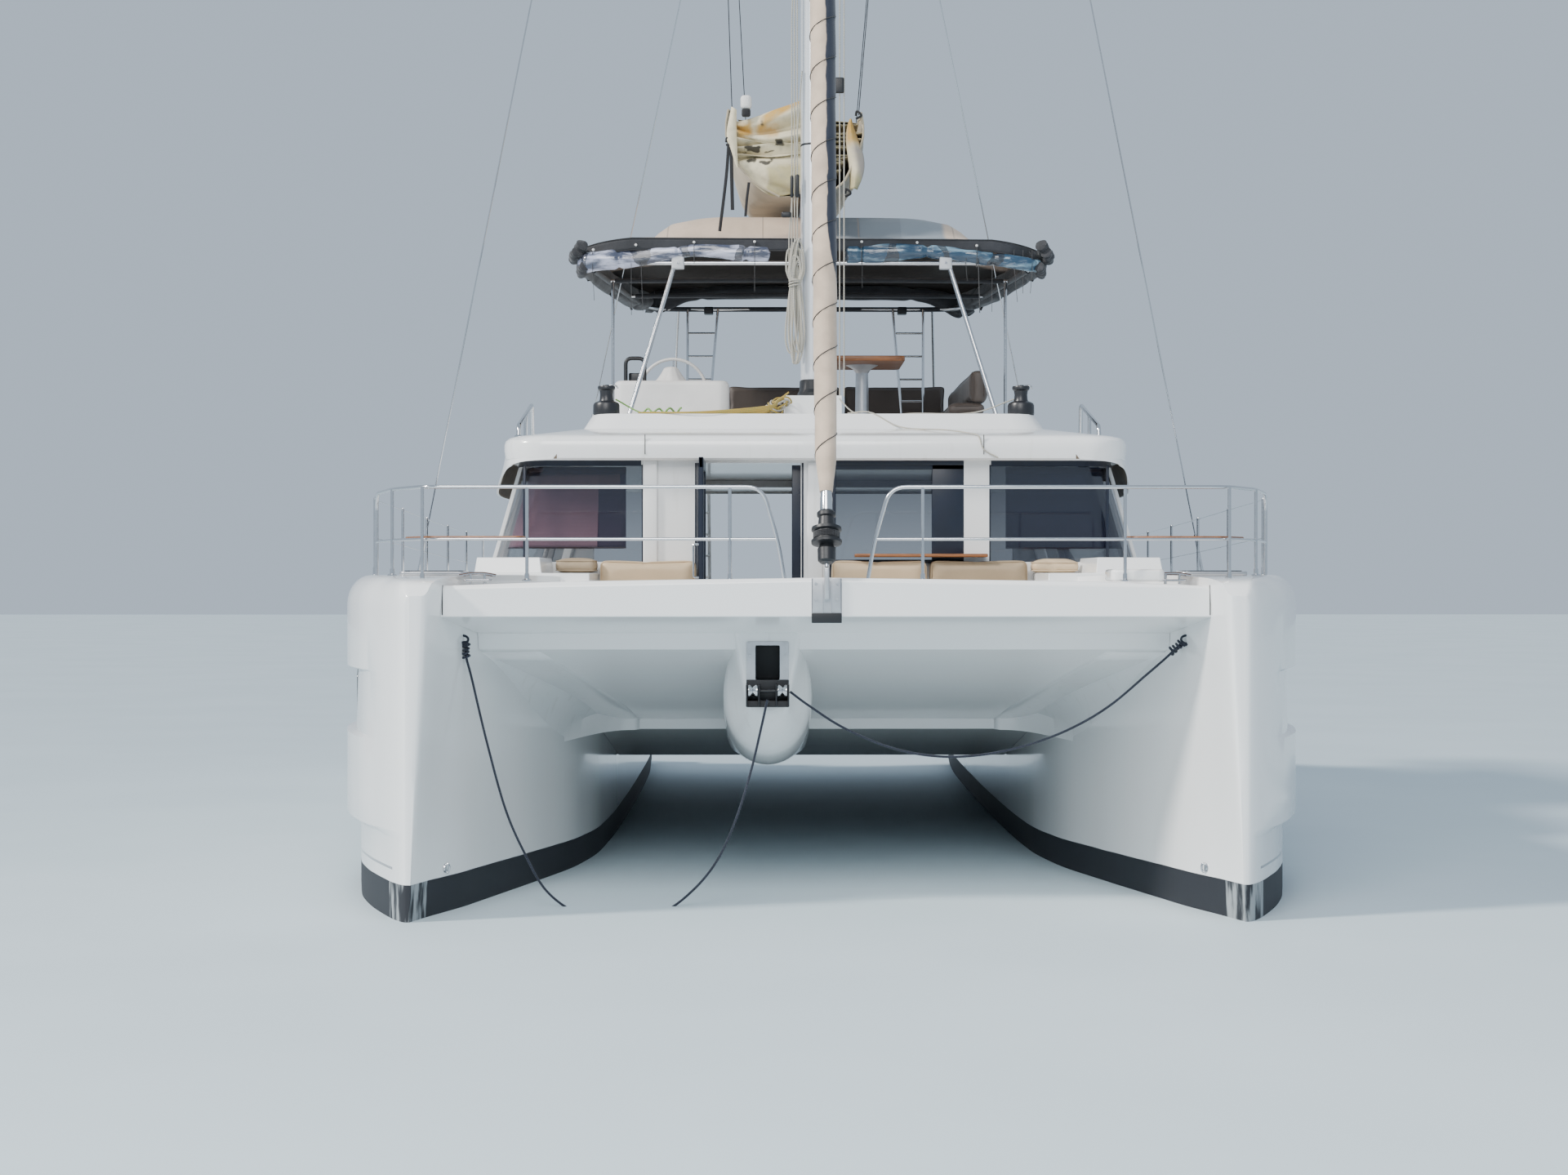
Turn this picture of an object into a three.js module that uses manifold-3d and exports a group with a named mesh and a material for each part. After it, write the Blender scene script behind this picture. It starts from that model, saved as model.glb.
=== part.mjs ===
// A cruising sailing catamaran with a solid foredeck, a forward lounge and a flybridge under a bimini.
// Millimetres. X points to port, Y points aft, Z points up.
// Zero is on the centreline, amidships, at the waterline.
import * as THREE from 'three';
import * as BufferGeometryUtils from 'three/addons/utils/BufferGeometryUtils.js';
import Module from 'manifold-3d';

const wasm = await Module();
wasm.setup();

// Driving dimensions
const GAP = 0.4;
const STARBOARD = -1;
const PORT = 1;
const BOW_Y = -6800;
const HALF_BEAM = 3700;

// Hull: side of the boat, deck edge, knuckle and bilge heights
const GUNWALE = { inward: 180, down: 220 };
const KNUCKLE = { low: 555, high: 620 };
const BILGE_Z = 60;
const BILGE_FACETS = 8;
const HULL_AXIS_X = 2695;
const AFT_DECK_Z = 2180;
// Columns: y, inner side, outer side, deck height, bottom, depth of the knuckle step
const HULL_STATIONS = [
  [BOW_Y, 2790, 2890, 2225, -120, 0],
  [-6700, 2758, 2965, 2320, -330, 10],
  [-6400, 2680, 3130, 2350, -470, 40],
  [-5900, 2545, 3355, 2365, -560, 80],
  [-5300, 2380, 3535, 2370, -610, 100],
  [-4500, 2165, 3660, 2365, -650, 110],
  [-3600, 1955, HALF_BEAM, 2345, -680, 120],
  [-2600, 1845, HALF_BEAM, 2310, -700, 120],
  [-800, 1800, HALF_BEAM, 2255, -720, 120],
  [1200, 1790, HALF_BEAM, 2205, -700, 120],
  [3200, 1795, HALF_BEAM, AFT_DECK_Z, -600, 120],
  [5200, 1815, 3690, AFT_DECK_Z, -400, 110],
  [6800, 1870, 3620, AFT_DECK_Z, -150, 100],
];
const KEEL = { halfLength: 1500, top: -500, bottom: -1220, halfThickness: 130 };
const WINDOW_BAND = { low: 1210, high: 1700, depth: 90, front: -6400, aft: 4500 };
const STERN_STEPS = [[5300, 1560], [5800, 1010], [6250, 460]];
const STERN_WING = 3300;

// Engine bay, drive leg, propeller and rudder
const BAY = { half: 400, front: 4350, aft: 5050, floor: -150, rim: 60, lid: 45 };
const LEG = { y: 4700, half: 60, halfLength: 130, bottom: -760 };
const PROP = { z: -830, radius: 230, hub: 68, front: 4900, length: 170 };
const RUDDER = { y: 5650, top: -440, bottom: -1120, stock: 38, front: -130, aft: 370 };

// Bridge deck, foredeck and nacelle
const FLOOR_Z = 1350;
const WALL_Y = -3000;
const WALL_T = 120;
const DECK_EDGE_Z = 2290;
const CROWN = 60;
const BEAM_FRONT = -6500;
const WELL = { half: 1800, front: -5000, floor: 1800, seatFront: -3750, seatTop: 2130 };
const DOOR = { left: -980, right: -130, bottom: 1800, top: 3315 };
const NACELLE_X = -410;
const NACELLE_FRONT = -5800;
const HAWSE = { half: 105, low: 1592, high: 1859, depth: 300 };

// Deckhouse, roof and flybridge
const HOUSE = { foot: 2150, half: 2900, lean: 345, cornerWidth: 330, cornerAft: -2400, cornerFacets: 5 };
const HOUSE_AFT = 4230;
const ROOF_UNDER = 3340;
const ROOF_TOP = 3640;
const RIM = { inner: 2618, outer: 2648, level: 3400, flare: 0.85 };
const SILL = 2480;
const WINDOW_TOP = 3300;
const FLY_FLOOR = 3700;
const FLY_TOP = 3790;
const BENCH_TOP = 3950;
const MAST = { y: -1300, foot: 3990, top: 20300, half: 110, halfDepth: 170 };
const SPREADER = { z: 12900, reach: 1595, sweep: 450 };
const HOUNDS_Z = 19200;
const BOOM = { z: 6010, pivotY: -1075, aft: 4700, halfHeight: 90 };
const BIMINI = { under: 5280, half: 2280, front: -1080, aft: 2900, narrowing: 0.2 };
const RAIL = { y: -6400, top: 2985, middle: 2620 };

// Joins and cuts
function solid(geometry) {
  const bare = geometry.index ? geometry.clone() : geometry;
  bare.deleteAttribute('normal');
  bare.deleteAttribute('uv');
  const merged = BufferGeometryUtils.mergeVertices(bare, 1e-3);
  return new wasm.Manifold(new wasm.Mesh({
    numProp: 3,
    vertProperties: new Float32Array(merged.attributes.position.array),
    triVerts: new Uint32Array(merged.index.array),
  }));
}

function join(...solids) {
  return solids.reduce((whole, next) => whole.add(next));
}

function cut(whole, ...tools) {
  return tools.reduce((left, tool) => left.subtract(tool), whole);
}

function mirror(side, body) {
  return side === PORT ? body : body.mirror([1, 0, 0]);
}

// A closed skin through rings of points, all with the same count.
// Flat ends are filled, or the last ring meets the first.
function skin(rings, closed = false) {
  const count = rings[0].length;
  const faces = [];
  const spans = closed ? rings.length : rings.length - 1;
  for (let i = 0; i < spans; i++) {
    const next = (i + 1) % rings.length;
    for (let j = 0; j < count; j++) {
      const k = (j + 1) % count;
      faces.push([i * count + j, i * count + k, next * count + k]);
      faces.push([i * count + j, next * count + k, next * count + j]);
    }
  }
  if (!closed) {
    faces.push(...endCap(rings[0], 0, true), ...endCap(rings.at(-1), (rings.length - 1) * count, false));
  }
  const points = rings.flat();
  const volume = faces.reduce((sum, [a, b, c]) =>
    sum + points[a].dot(new THREE.Vector3().crossVectors(points[b], points[c])), 0);
  const geometry = new THREE.BufferGeometry();
  const numbers = points.flatMap((p) => [p.x, p.y, p.z]);
  geometry.setAttribute('position', new THREE.Float32BufferAttribute(numbers, 3));
  geometry.setIndex(faces.flatMap(([a, b, c]) => (volume < 0 ? [a, c, b] : [a, b, c])));
  return solid(geometry);
}

function endCap(ring, start, reversed) {
  const normal = new THREE.Vector3();
  ring.forEach((p, i) => normal.add(new THREE.Vector3().crossVectors(p, ring[(i + 1) % ring.length])));
  const [ax, ay, az] = normal.toArray().map(Math.abs);
  const axis = ax > ay && ax > az ? 0 : ay > az ? 1 : 2;
  const flat = ring.map((p) => {
    const v = p.toArray();
    v.splice(axis, 1);
    return new THREE.Vector2(...v);
  });
  const turn = Math.sign(THREE.ShapeUtils.area(flat));
  return THREE.ShapeUtils.triangulateShape(flat, []).map(([a, b, c]) => {
    const same = Math.sign(THREE.ShapeUtils.area([flat[a], flat[b], flat[c]])) === turn;
    return same !== reversed ? [start + a, start + b, start + c] : [start + a, start + c, start + b];
  });
}

function box(x0, x1, y0, y1, z0, z1) {
  const geometry = new THREE.BoxGeometry(x1 - x0, y1 - y0, z1 - z0);
  geometry.translate((x0 + x1) / 2, (y0 + y1) / 2, (z0 + z1) / 2);
  return solid(geometry);
}

// An outline of [y, z] points carried from x0 to x1
function across(outline, x0, x1) {
  return skin([x0, x1].map((x) => outline.map(([y, z]) => new THREE.Vector3(x, y, z))));
}

// An outline of [x, y] points carried from z0 to z1
function upright(outline, z0, z1) {
  return skin([z0, z1].map((z) => outline.map(([x, y]) => new THREE.Vector3(x, y, z))));
}

// A level ring with four corners
function level(x0, x1, y0, y1, z) {
  return [[x0, y0], [x1, y0], [x1, y1], [x0, y1]].map(([x, y]) => new THREE.Vector3(x, y, z));
}

// A level ring: a rectangle from y0 to y1 of half width w with round corners
function roundRing(w, y0, y1, radius, z, facets = 4) {
  const corners = [[w, y1, 0], [-w, y1, 1], [-w, y0, 2], [w, y0, 3]];
  return corners.flatMap(([x, y, quarter]) => {
    const cx = x - Math.sign(x) * radius;
    const cy = y + (y === y1 ? -radius : radius);
    return Array.from({ length: facets + 1 }, (_, i) => {
      const angle = (quarter + i / facets) * Math.PI / 2;
      return new THREE.Vector3(cx + radius * Math.cos(angle), cy + radius * Math.sin(angle), z);
    });
  });
}

// Columns of each row: half width, front, aft, corner radius, height
function stack(rows, facets) {
  return skin(rows.map(([w, y0, y1, radius, z]) => roundRing(w, y0, y1, radius, z, facets)));
}

// A round bar mitred along a line of points
function pipe(points, radius, sides = 8, closed = false, offset = 0.5) {
  const at = points.map((p) => new THREE.Vector3(...p));
  const count = at.length;
  const spans = at.map((p, i) => at[(i + 1) % count].clone().sub(p).normalize());
  const first = spans[0];
  const side = new THREE.Vector3(0, 0, 1);
  if (Math.abs(first.z) > 0.9) side.set(1, 0, 0);
  side.cross(first).normalize();
  const up = new THREE.Vector3().crossVectors(first, side);
  let ring = Array.from({ length: sides }, (_, j) => {
    const angle = 2 * Math.PI * (j + offset) / sides;
    return at[0].clone()
      .addScaledVector(side, radius * Math.cos(angle))
      .addScaledVector(up, radius * Math.sin(angle));
  });
  const slide = (from, way, onto, normal) => from.map((p) =>
    p.clone().addScaledVector(way, onto.clone().sub(p).dot(normal) / way.dot(normal)));
  if (closed) ring = slide(ring, first, at[0], spans.at(-1).clone().add(first).normalize());
  const rings = [ring];
  for (let i = 1; i < count; i++) {
    const end = i === count - 1 && !closed;
    const normal = end ? spans[i - 1] : spans[i - 1].clone().add(spans[i]).normalize();
    rings.push(slide(rings[i - 1], spans[i - 1], at[i], normal));
  }
  return skin(rings, closed);
}

// A shape of radii along its own axis, turned to run from one point towards another.
// Columns of the profile: radius, distance
function turned(profile, from, to, sides = 12) {
  const line = [[0, profile[0][1]], ...profile, [0, profile.at(-1)[1]]];
  const points = line.map(([r, s]) => new THREE.Vector2(r, s));
  const geometry = new THREE.LatheGeometry(points, sides);
  const way = new THREE.Vector3(...to).sub(new THREE.Vector3(...from)).normalize();
  geometry.applyQuaternion(new THREE.Quaternion().setFromUnitVectors(new THREE.Vector3(0, 1, 0), way));
  geometry.translate(...from);
  return solid(geometry);
}

// A hole whose flats clear a pin of the same number of sides by the gap, at any turn of the pin
const bore = (from, to, pin, sides = 12) =>
  pipe([from, to], (pin + GAP) / Math.cos(Math.PI / sides), sides, false, 0);

// Finishes
const finish = (color, roughness, metalness = 0, opacity = 1) =>
  new THREE.MeshStandardMaterial({ color, roughness, metalness, opacity, transparent: opacity < 1 });
const GELCOAT = finish(0xf1f1ee, 0.22);
const ANTIFOUL = finish(0x14161a, 0.7);
const STEEL = finish(0xc9ccd0, 0.18, 1);
const SPAR = finish(0xe8eaec, 0.35, 0.2);
const GLASS = finish(0x2a2438, 0.05, 0, 0.4);
const BLACK = finish(0x17181b, 0.5);
const TAN_CANVAS = finish(0xb9a58c, 0.85);
const BLACK_CANVAS = finish(0x1b1d22, 0.8);
const BEIGE = finish(0xd6c3a2, 0.8);
const TAUPE = finish(0x5a4c45, 0.85);
const TEAK = finish(0x9a5a30, 0.5);
const ROPE = finish(0x10131c, 0.9);
const BRONZE = finish(0xa27b3c, 0.35, 1);
const ENGINE = finish(0x6c7075, 0.6);

const boat = new THREE.Group();

function add(name, body, material) {
  const mesh = body.getMesh();
  const geometry = new THREE.BufferGeometry();
  geometry.setAttribute('position', new THREE.BufferAttribute(new Float32Array(mesh.vertProperties), 3));
  geometry.setIndex(new THREE.BufferAttribute(new Uint32Array(mesh.triVerts), 1));
  geometry.computeVertexNormals();
  const piece = new THREE.Mesh(geometry, material);
  piece.name = name;
  boat.add(piece);
}

const sideName = (side) => (side === PORT ? 'port' : 'starboard');

// Hulls
function hullRing([y, inner, outer, deck, bottom, step], grow) {
  const width = outer - inner;
  const inward = Math.min(GUNWALE.inward, 0.35 * width);
  const down = Math.min(GUNWALE.down, 0.8 * width);
  const low = outer - step;
  const middle = (inner + low) / 2;
  const half = (low - inner) / 2 + grow;
  const bilge = Array.from({ length: BILGE_FACETS - 1 }, (_, i) => {
    const angle = Math.PI * (i + 1) / BILGE_FACETS;
    const depth = (bottom - grow - BILGE_Z) * Math.sin(angle) ** 0.75;
    return [middle - half * Math.cos(angle), BILGE_Z + depth];
  });
  const section = [
    [inner - grow, deck + grow],
    [inner - grow, 1150],
    [inner - grow, BILGE_Z],
    ...bilge,
    [low + grow, BILGE_Z],
    [low + grow, KNUCKLE.low],
    [outer + grow, KNUCKLE.high],
    [outer + grow, deck - down],
    [outer - 0.3 * inward + grow, deck - 0.3 * down + grow],
    [outer - inward + grow, deck + grow],
  ];
  return section.map(([x, z]) => new THREE.Vector3(x, y, z));
}

const hullShape = (grow) => skin(HULL_STATIONS.map((station) => hullRing(station, grow)));
const HULL_GROWN = join(hullShape(GAP), mirror(STARBOARD, hullShape(GAP)));

function keel(side) {
  const { halfLength, top, bottom, halfThickness } = KEEL;
  const ring = (z, length, thickness) => [[-1, 0], [-0.6, 1], [0.3, 1], [1, 0], [0.3, -1], [-0.6, -1]]
    .map(([along, out]) => new THREE.Vector3(HULL_AXIS_X + out * thickness, along * length, z));
  const root = ring(top, halfLength, halfThickness);
  const foot = ring(bottom, 0.8 * halfLength, 0.7 * halfThickness);
  const fin = skin([root, foot]);
  return mirror(side, cut(fin, HULL_GROWN));
}

function hull() {
  const { low, high, depth, front, aft } = WINDOW_BAND;
  const band = upright([
    [3135, front], [3320, -5900], [3440, -5350], [3570, -4500], [HALF_BEAM - depth, -3900],
    [HALF_BEAM - depth, aft],
    [HALF_BEAM + 60, aft + 120], [HALF_BEAM + 60, front],
  ], low, high);
  const steps = STERN_STEPS.map(([y, z]) => box(1700, STERN_WING, y, 6900, z, 2400));
  const wing = across([[5300, AFT_DECK_Z], [6900, 900], [6900, 2400], [5300, 2400]], STERN_WING - 1, 3900);
  const bay = box(HULL_AXIS_X - BAY.half, HULL_AXIS_X + BAY.half, BAY.front, BAY.aft, BAY.floor, 2400);
  const rim = BAY.half + BAY.rim;
  const rebate = box(HULL_AXIS_X - rim, HULL_AXIS_X + rim, BAY.front - BAY.rim, BAY.aft + BAY.rim,
    AFT_DECK_Z - BAY.lid - 5, 2400);
  const slot = box(HULL_AXIS_X - LEG.half - 1, HULL_AXIS_X + LEG.half + 1,
    LEG.y - LEG.halfLength - 1, LEG.y + LEG.halfLength + 1, -800, 0);
  const tube = bore([HULL_AXIS_X, RUDDER.y, -700], [HULL_AXIS_X, RUDDER.y, -100], RUDDER.stock, 16);
  const padEye = box(2545, 2700, -6065, -6025, 1900, 1940);
  return cut(join(hullShape(0), padEye), band, ...steps, wing, bay, rebate, slot, tube);
}

const HULL = hull();

// Foredeck with its front beam, sloping underside, forward lounge well and side coamings
function foredeckBody(grow) {
  const underside = [
    [WALL_Y - GAP, 1105 - grow], [-3290, 1090 - grow], [-3300, 1180 - grow],
    [-5770, 1830 - grow], [-5785, 1950 - grow], [BEAM_FRONT + 60, 2065 - grow], [BEAM_FRONT, 2079],
  ];
  const rings = [-1, -0.66, -0.33, 0, 0.33, 0.66, 1].map((share) => {
    const crown = CROWN * (1 - share * share);
    const top = DECK_EDGE_Z + crown;
    const profile = [...underside, [BEAM_FRONT, top - 20], [BEAM_FRONT + 25, top + grow],
      [WALL_Y - GAP, top + grow]];
    return profile.map(([y, z]) => new THREE.Vector3(share * 2792, y, z));
  });
  return skin(rings);
}

function coaming() {
  const base = box(1830, 2760, -4100, WALL_Y - GAP, 2200, 2385);
  const tall = skin([
    level(2200, 2760, -4100, WALL_Y - GAP, 2300),
    level(2230, 2730, -4040, WALL_Y - GAP, 2510),
  ]);
  return join(base, tall);
}

function hawse(front) {
  const { half, low, high, depth } = HAWSE;
  return box(NACELLE_X - half, NACELLE_X + half, front, NACELLE_FRONT + depth, low, high);
}

function foredeck() {
  const { half, front, floor, seatFront, seatTop } = WELL;
  return cut(join(foredeckBody(0), coaming(), mirror(STARBOARD, coaming())),
    HULL_GROWN,
    box(-half, half, front, seatFront, floor, 2600),
    box(DOOR.left, DOOR.right, seatFront - 1, WALL_Y + 1, floor, 2600),
    box(-half, half, seatFront - 1, WALL_Y + 1, seatTop, 2600),
    hawse(-6000));
}

function bridgedeckBody(grow) {
  return across([
    [WALL_Y, FLOOR_Z + grow], [WALL_Y, 1105 - grow], [-1000, 700 - grow], [5000, 700 - grow],
    [5650, 850 - grow], [5650, FLOOR_Z + grow],
  ], -2000, 2000);
}

// The pod below the bridge deck that carries the anchor gear. Columns: y, half width, bottom
function nacelleBody() {
  const rows = [[NACELLE_FRONT, 215, 1354], [-5450, 265, 1100], [-5000, 300, 950], [-4200, 330, 860],
    [-3000, 335, 800], [-1600, 325, 720], [-700, 250, 690]];
  return skin(rows.map(([y, w, bottom]) => [
    [-w, 2000], [-w, bottom + 0.75 * w], [-0.6 * w, bottom + 0.25 * w], [0, bottom],
    [0.6 * w, bottom + 0.25 * w], [w, bottom + 0.75 * w], [w, 2000],
  ].map(([x, z]) => new THREE.Vector3(NACELLE_X + x, y, z))));
}

// Deckhouse walls: they lean in with height, and a quarter ellipse rounds each front corner
function houseRing(z, inset) {
  const lean = (z - HOUSE.foot) / (ROOF_UNDER - HOUSE.foot);
  const half = HOUSE.half - HOUSE.lean * lean - inset;
  const corner = Array.from({ length: HOUSE.cornerFacets + 1 }, (_, i) => {
    const angle = Math.PI / 2 * i / HOUSE.cornerFacets;
    return [
      half - HOUSE.cornerWidth * (1 - Math.sin(angle)),
      HOUSE.cornerAft - (HOUSE.cornerAft - WALL_Y - inset) * Math.cos(angle),
    ];
  });
  const side = [...corner, [half, HOUSE_AFT - inset]];
  const other = side.map(([x, y]) => [-x, y]).reverse();
  return [...side, ...other].map(([x, y]) => new THREE.Vector3(x, y, z));
}

const house = (inset, low = HOUSE.foot, high = ROOF_UNDER - GAP) =>
  skin([houseRing(low, inset), houseRing(high, inset)]);
const AFT_OPENING = box(-2400, 2400, HOUSE_AFT - 200, HOUSE_AFT + 100, 2000, 3500);
const SHELL = cut(house(0), house(WALL_T, 2100, ROOF_UNDER + 1), AFT_OPENING, HULL_GROWN);
const cornerWindow = (trim) =>
  box(1460 + trim, 3000, -3100, -2520 - trim, SILL + trim, WINDOW_TOP - trim);
const CORNER_WINDOWS = join(cornerWindow(0), mirror(STARBOARD, cornerWindow(0)));
const centreWindow = (trim) => box(146 + trim, 1245 - trim, -3100, -2800, SILL + trim, WINDOW_TOP - trim);
const sideWindow = (side, trim) =>
  mirror(side, box(2000, 3000, -2250 + trim, 1900 - trim, SILL + trim, WINDOW_TOP - trim));
const DOOR_PIVOT = { x: -950, y: -2960 };

function frontWall() {
  const lower = box(-1790, 1790, WALL_Y, WALL_Y + WALL_T, FLOOR_Z + GAP, 2400);
  const doorway = box(DOOR.left, DOOR.right, -3100, -2800, DOOR.bottom, DOOR.top);
  const { x, y } = DOOR_PIVOT;
  const pinHole = bore([x, y, DOOR.bottom - 20], [x, y, ROOF_UNDER - 5], 10);
  const upper = SHELL.intersect(box(-3000, 3000, -3100, -2400, 2000, 3500));
  return cut(join(cut(lower, HULL_GROWN), upper), CORNER_WINDOWS, centreWindow(0), doorway, pinHole);
}

function sideWall(side) {
  const part = SHELL.intersect(mirror(side, box(1500, 3000, -2400 + GAP, HOUSE_AFT, 2000, 3500)));
  const archway = mirror(side, box(2000, 3000, 2900, 3980, 2350, WINDOW_TOP));
  return cut(part, sideWindow(side, 0), archway);
}

const PANE_SHELL = cut(house(30), house(54, 2100, ROOF_UNDER + 1));

const cornerPane = (side) => PANE_SHELL.intersect(mirror(side, cornerWindow(GAP)));

function frontDoor() {
  const { x, y } = DOOR_PIVOT;
  const leaf = box(x - 20, x + 20, y - 812, y + 15, DOOR.bottom + 6, DOOR.top - 6);
  const light = box(x - 50, x + 50, y - 735, y - 65, DOOR.bottom + 120, DOOR.top - 90);
  const pane = box(x - 6, x + 6, y - 736, y - 64, DOOR.bottom + 119, DOOR.top - 89);
  const pins = [[DOOR.bottom - 12, DOOR.bottom + 7], [DOOR.top - 7, ROOF_UNDER - 8]].map(([z0, z1]) =>
    pipe([[x, y, z0], [x, y, z1]], 10, 12));
  return join(cut(leaf, light), pane, ...pins);
}

// Roof with a rim that flares out over the side windows. Outline of the rim: y, z
function roof() {
  const shell = stack([
    [2560, -3080, 4540, 330, ROOF_UNDER], [2640, -3150, 4600, 380, ROOF_UNDER + 40],
    [2650, -3160, 4610, 380, ROOF_UNDER + 180], [2560, -3070, 4560, 360, ROOF_UNDER + 210],
    [2100, -2450, 4400, 300, ROOF_TOP],
  ], 5);
  const outline = [
    [-2780, 3480], [-2820, 3345], [-2500, 3215], [-1500, 3080], [800, 3110], [2600, 3345], [2600, 3480],
  ];
  const rim = skin([RIM.inner, RIM.outer].map((x) =>
    outline.map(([y, z]) => new THREE.Vector3(x + RIM.flare * (RIM.level - z), y, z))));
  return join(shell, rim, mirror(STARBOARD, rim));
}

function flyMoulding() {
  const outer = stack([[2050, -2320, 3650, 320, ROOF_TOP + GAP], [1965, -2150, 3560, 260, FLY_TOP]], 4);
  const well = stack([[1740, -850, 3400, 180, FLY_FLOOR], [1760, -870, 3420, 180, 4000]], 3);
  const low = FLY_FLOOR - 5;
  const portBench = box(1330, 1745, 100, 3405, low, BENCH_TOP);
  const aftBenchTop = box(-870, 1745, 2790, 3405, low, BENCH_TOP);
  const insideWell = stack([[1745, -860, 3405, 180, low - 5], [1745, -860, 3405, 180, 4000]], 3);
  const benches = join(portBench, aftBenchTop).intersect(insideWell);
  const gate = box(-1700, -950, 3300, 3700, FLY_FLOOR, 4000);
  const step = box(-260, 260, MAST.y - 330, MAST.y + 330, FLY_TOP - 5, MAST.foot - GAP);
  return join(cut(outer, well, gate), benches, step);
}

const WHEEL = { x: -1330, y: 120, z: 4150, radius: 330 };

function helmConsole() {
  const pod = skin([
    level(-1870, -770, -660, -20, FLY_FLOOR + GAP), level(-1870, -770, -650, -20, 3980),
    level(-1830, -820, -570, -50, 4210),
  ]);
  const hood = skin([level(-1570, -1100, -520, -80, 4200), level(-1450, -1220, -440, -110, 4390)]);
  const shaftHole = bore([WHEEL.x, -125, WHEEL.z], [WHEEL.x, 10, WHEEL.z], 32);
  return cut(join(pod, hood), box(-2000, -1740 + GAP, -900, 0, 3600, FLY_TOP + GAP), shaftHole);
}

function helmWheel() {
  const ring = new THREE.TorusGeometry(WHEEL.radius, 14, 6, 24);
  ring.rotateX(Math.PI / 2);
  ring.translate(WHEEL.x, WHEEL.y, WHEEL.z);
  const spokes = [0, 1, 2].map((i) => {
    const angle = Math.PI * (0.5 + 2 * i / 3);
    const across = WHEEL.radius * Math.cos(angle);
    const rise = WHEEL.radius * Math.sin(angle);
    return pipe([[WHEEL.x, WHEEL.y, WHEEL.z], [WHEEL.x + across, WHEEL.y, WHEEL.z + rise]], 10, 6);
  });
  const shaft = pipe([[WHEEL.x, -115, WHEEL.z], [WHEEL.x, WHEEL.y + 25, WHEEL.z]], 32, 12);
  return join(solid(ring), ...spokes, shaft);
}

function helmSeat() {
  const base = box(-1690, -900, 850, 1250, FLY_FLOOR + GAP, 4040);
  const pad = box(-1690, -900, 800, 1270, 4035, 4120);
  const back = skin([level(-1680, -910, 1180, 1270, 4110), level(-1680, -910, 1210, 1290, 4310)]);
  return join(base, pad, back);
}

function flyCushions() {
  const seatPort = box(1335, 1740, 105, 2800, BENCH_TOP + GAP, 4050);
  const seatAft = box(-865, 1740, 2795, 3330, BENCH_TOP + GAP, 4050);
  const backPort = box(1620, 1740, 105, 3200, 4040, 4390);
  const backAft = box(-865, 1740, 3090, 3200, 4040, 4480);
  return join(seatPort, seatAft, backPort, backAft);
}

function flyTable() {
  const top = skin([
    level(140, 900, -150, 850, 4390), level(120, 920, -170, 870, 4450), level(120, 920, -170, 870, 4490),
  ]);
  return join(top, pipe([[520, 350, FLY_FLOOR + GAP], [520, 350, 4400]], 48, 12),
    pipe([[520, 350, FLY_FLOOR + GAP], [520, 350, FLY_FLOOR + 30]], 160, 12));
}

function winch(side) {
  return turned([[125, 0], [125, 70], [85, 110], [75, 190], [105, 235], [105, 270]],
    [side * 1840, -1950, FLY_TOP + GAP], [side * 1840, -1950, 5000], 14);
}

// Bimini frame of tubes with two ladders on its aft edge, and its canvas
function biminiFrame() {
  const z = BIMINI.under - 18.9;
  const hoopAft = BIMINI.aft - 150;
  const line = roundRing(2120, BIMINI.front + 50, hoopAft, 420, z, 3).map((p) => p.toArray());
  const hoop = narrowed(pipe(line, 20, 8, true));
  const bars = [300, 1550].map((y) => narrowed(pipe([[-2118, y, z], [2118, y, z]], 16, 6)));
  const sides = [STARBOARD, PORT].flatMap((s) => [
    pipe([[s * 1680, -1500, FLY_TOP - 20], [s * 1270, BIMINI.front + 55, z]], 22),
    pipe([[s * 1930, 300, FLY_TOP - 20], [s * 1930, 300, z]], 16),
    pipe([[s * 1470, 3480, FLY_TOP - 20], [s * 1430, 3280, 4700], [s * 1380, hoopAft, z]], 18),
    ...ladder(s, hoopAft - 10, z),
  ]);
  return cut(join(hoop, ...bars, ...sides), flyTopGrown());
}

// Two rails from the flybridge floor to the hoop, closer together at the foot, with four rungs
function ladder(s, y, top) {
  const floor = FLY_FLOOR + GAP;
  const inner = (z) => 1060 - 110 * (z - floor) / (top - floor);
  const rails = [pipe([[s * 1280, y, floor], [s * 1280, y, top]], 16, 6),
    pipe([[s * inner(floor), y, floor], [s * inner(top), y, top]], 16, 6)];
  const rungs = [4260, 4500, 4750, 5000].map((z) => pipe([[s * inner(z), y, z], [s * 1280, y, z]], 12, 6));
  return [...rails, ...rungs];
}

function flyTopGrown() {
  return stack([[2050, -2320, 3650, 320, ROOF_TOP], [1965, -2150, 3560, 260, FLY_TOP + GAP]], 4);
}

// The canopy is narrower aft: each point moves inwards in proportion to its distance from the front
function narrowed(part) {
  const { front, aft, narrowing } = BIMINI;
  return part.warp((point) => {
    point[0] *= 1 - narrowing * Math.min(1, Math.max(0, (point[1] - front) / (aft - front)));
  });
}

function biminiCanvas() {
  const { under, half, front, aft } = BIMINI;
  const slit = lowerWire(16);
  return cut(narrowed(stack([
    [half - 110, front + 120, aft - 120, 520, under], [half, front, aft, 620, under + 50],
    [half, front, aft, 620, under + 190], [half - 100, front + 100, aft - 100, 580, under + 230],
    [half - 640, front + 560, aft - 520, 450, under + 290],
    [half - 850, front + 740, aft - 720, 380, under + 480],
    [half - 1380, front + 1100, aft - 1100, 250, under + 580],
  ], 4)), slit, mirror(STARBOARD, slit));
}

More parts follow.
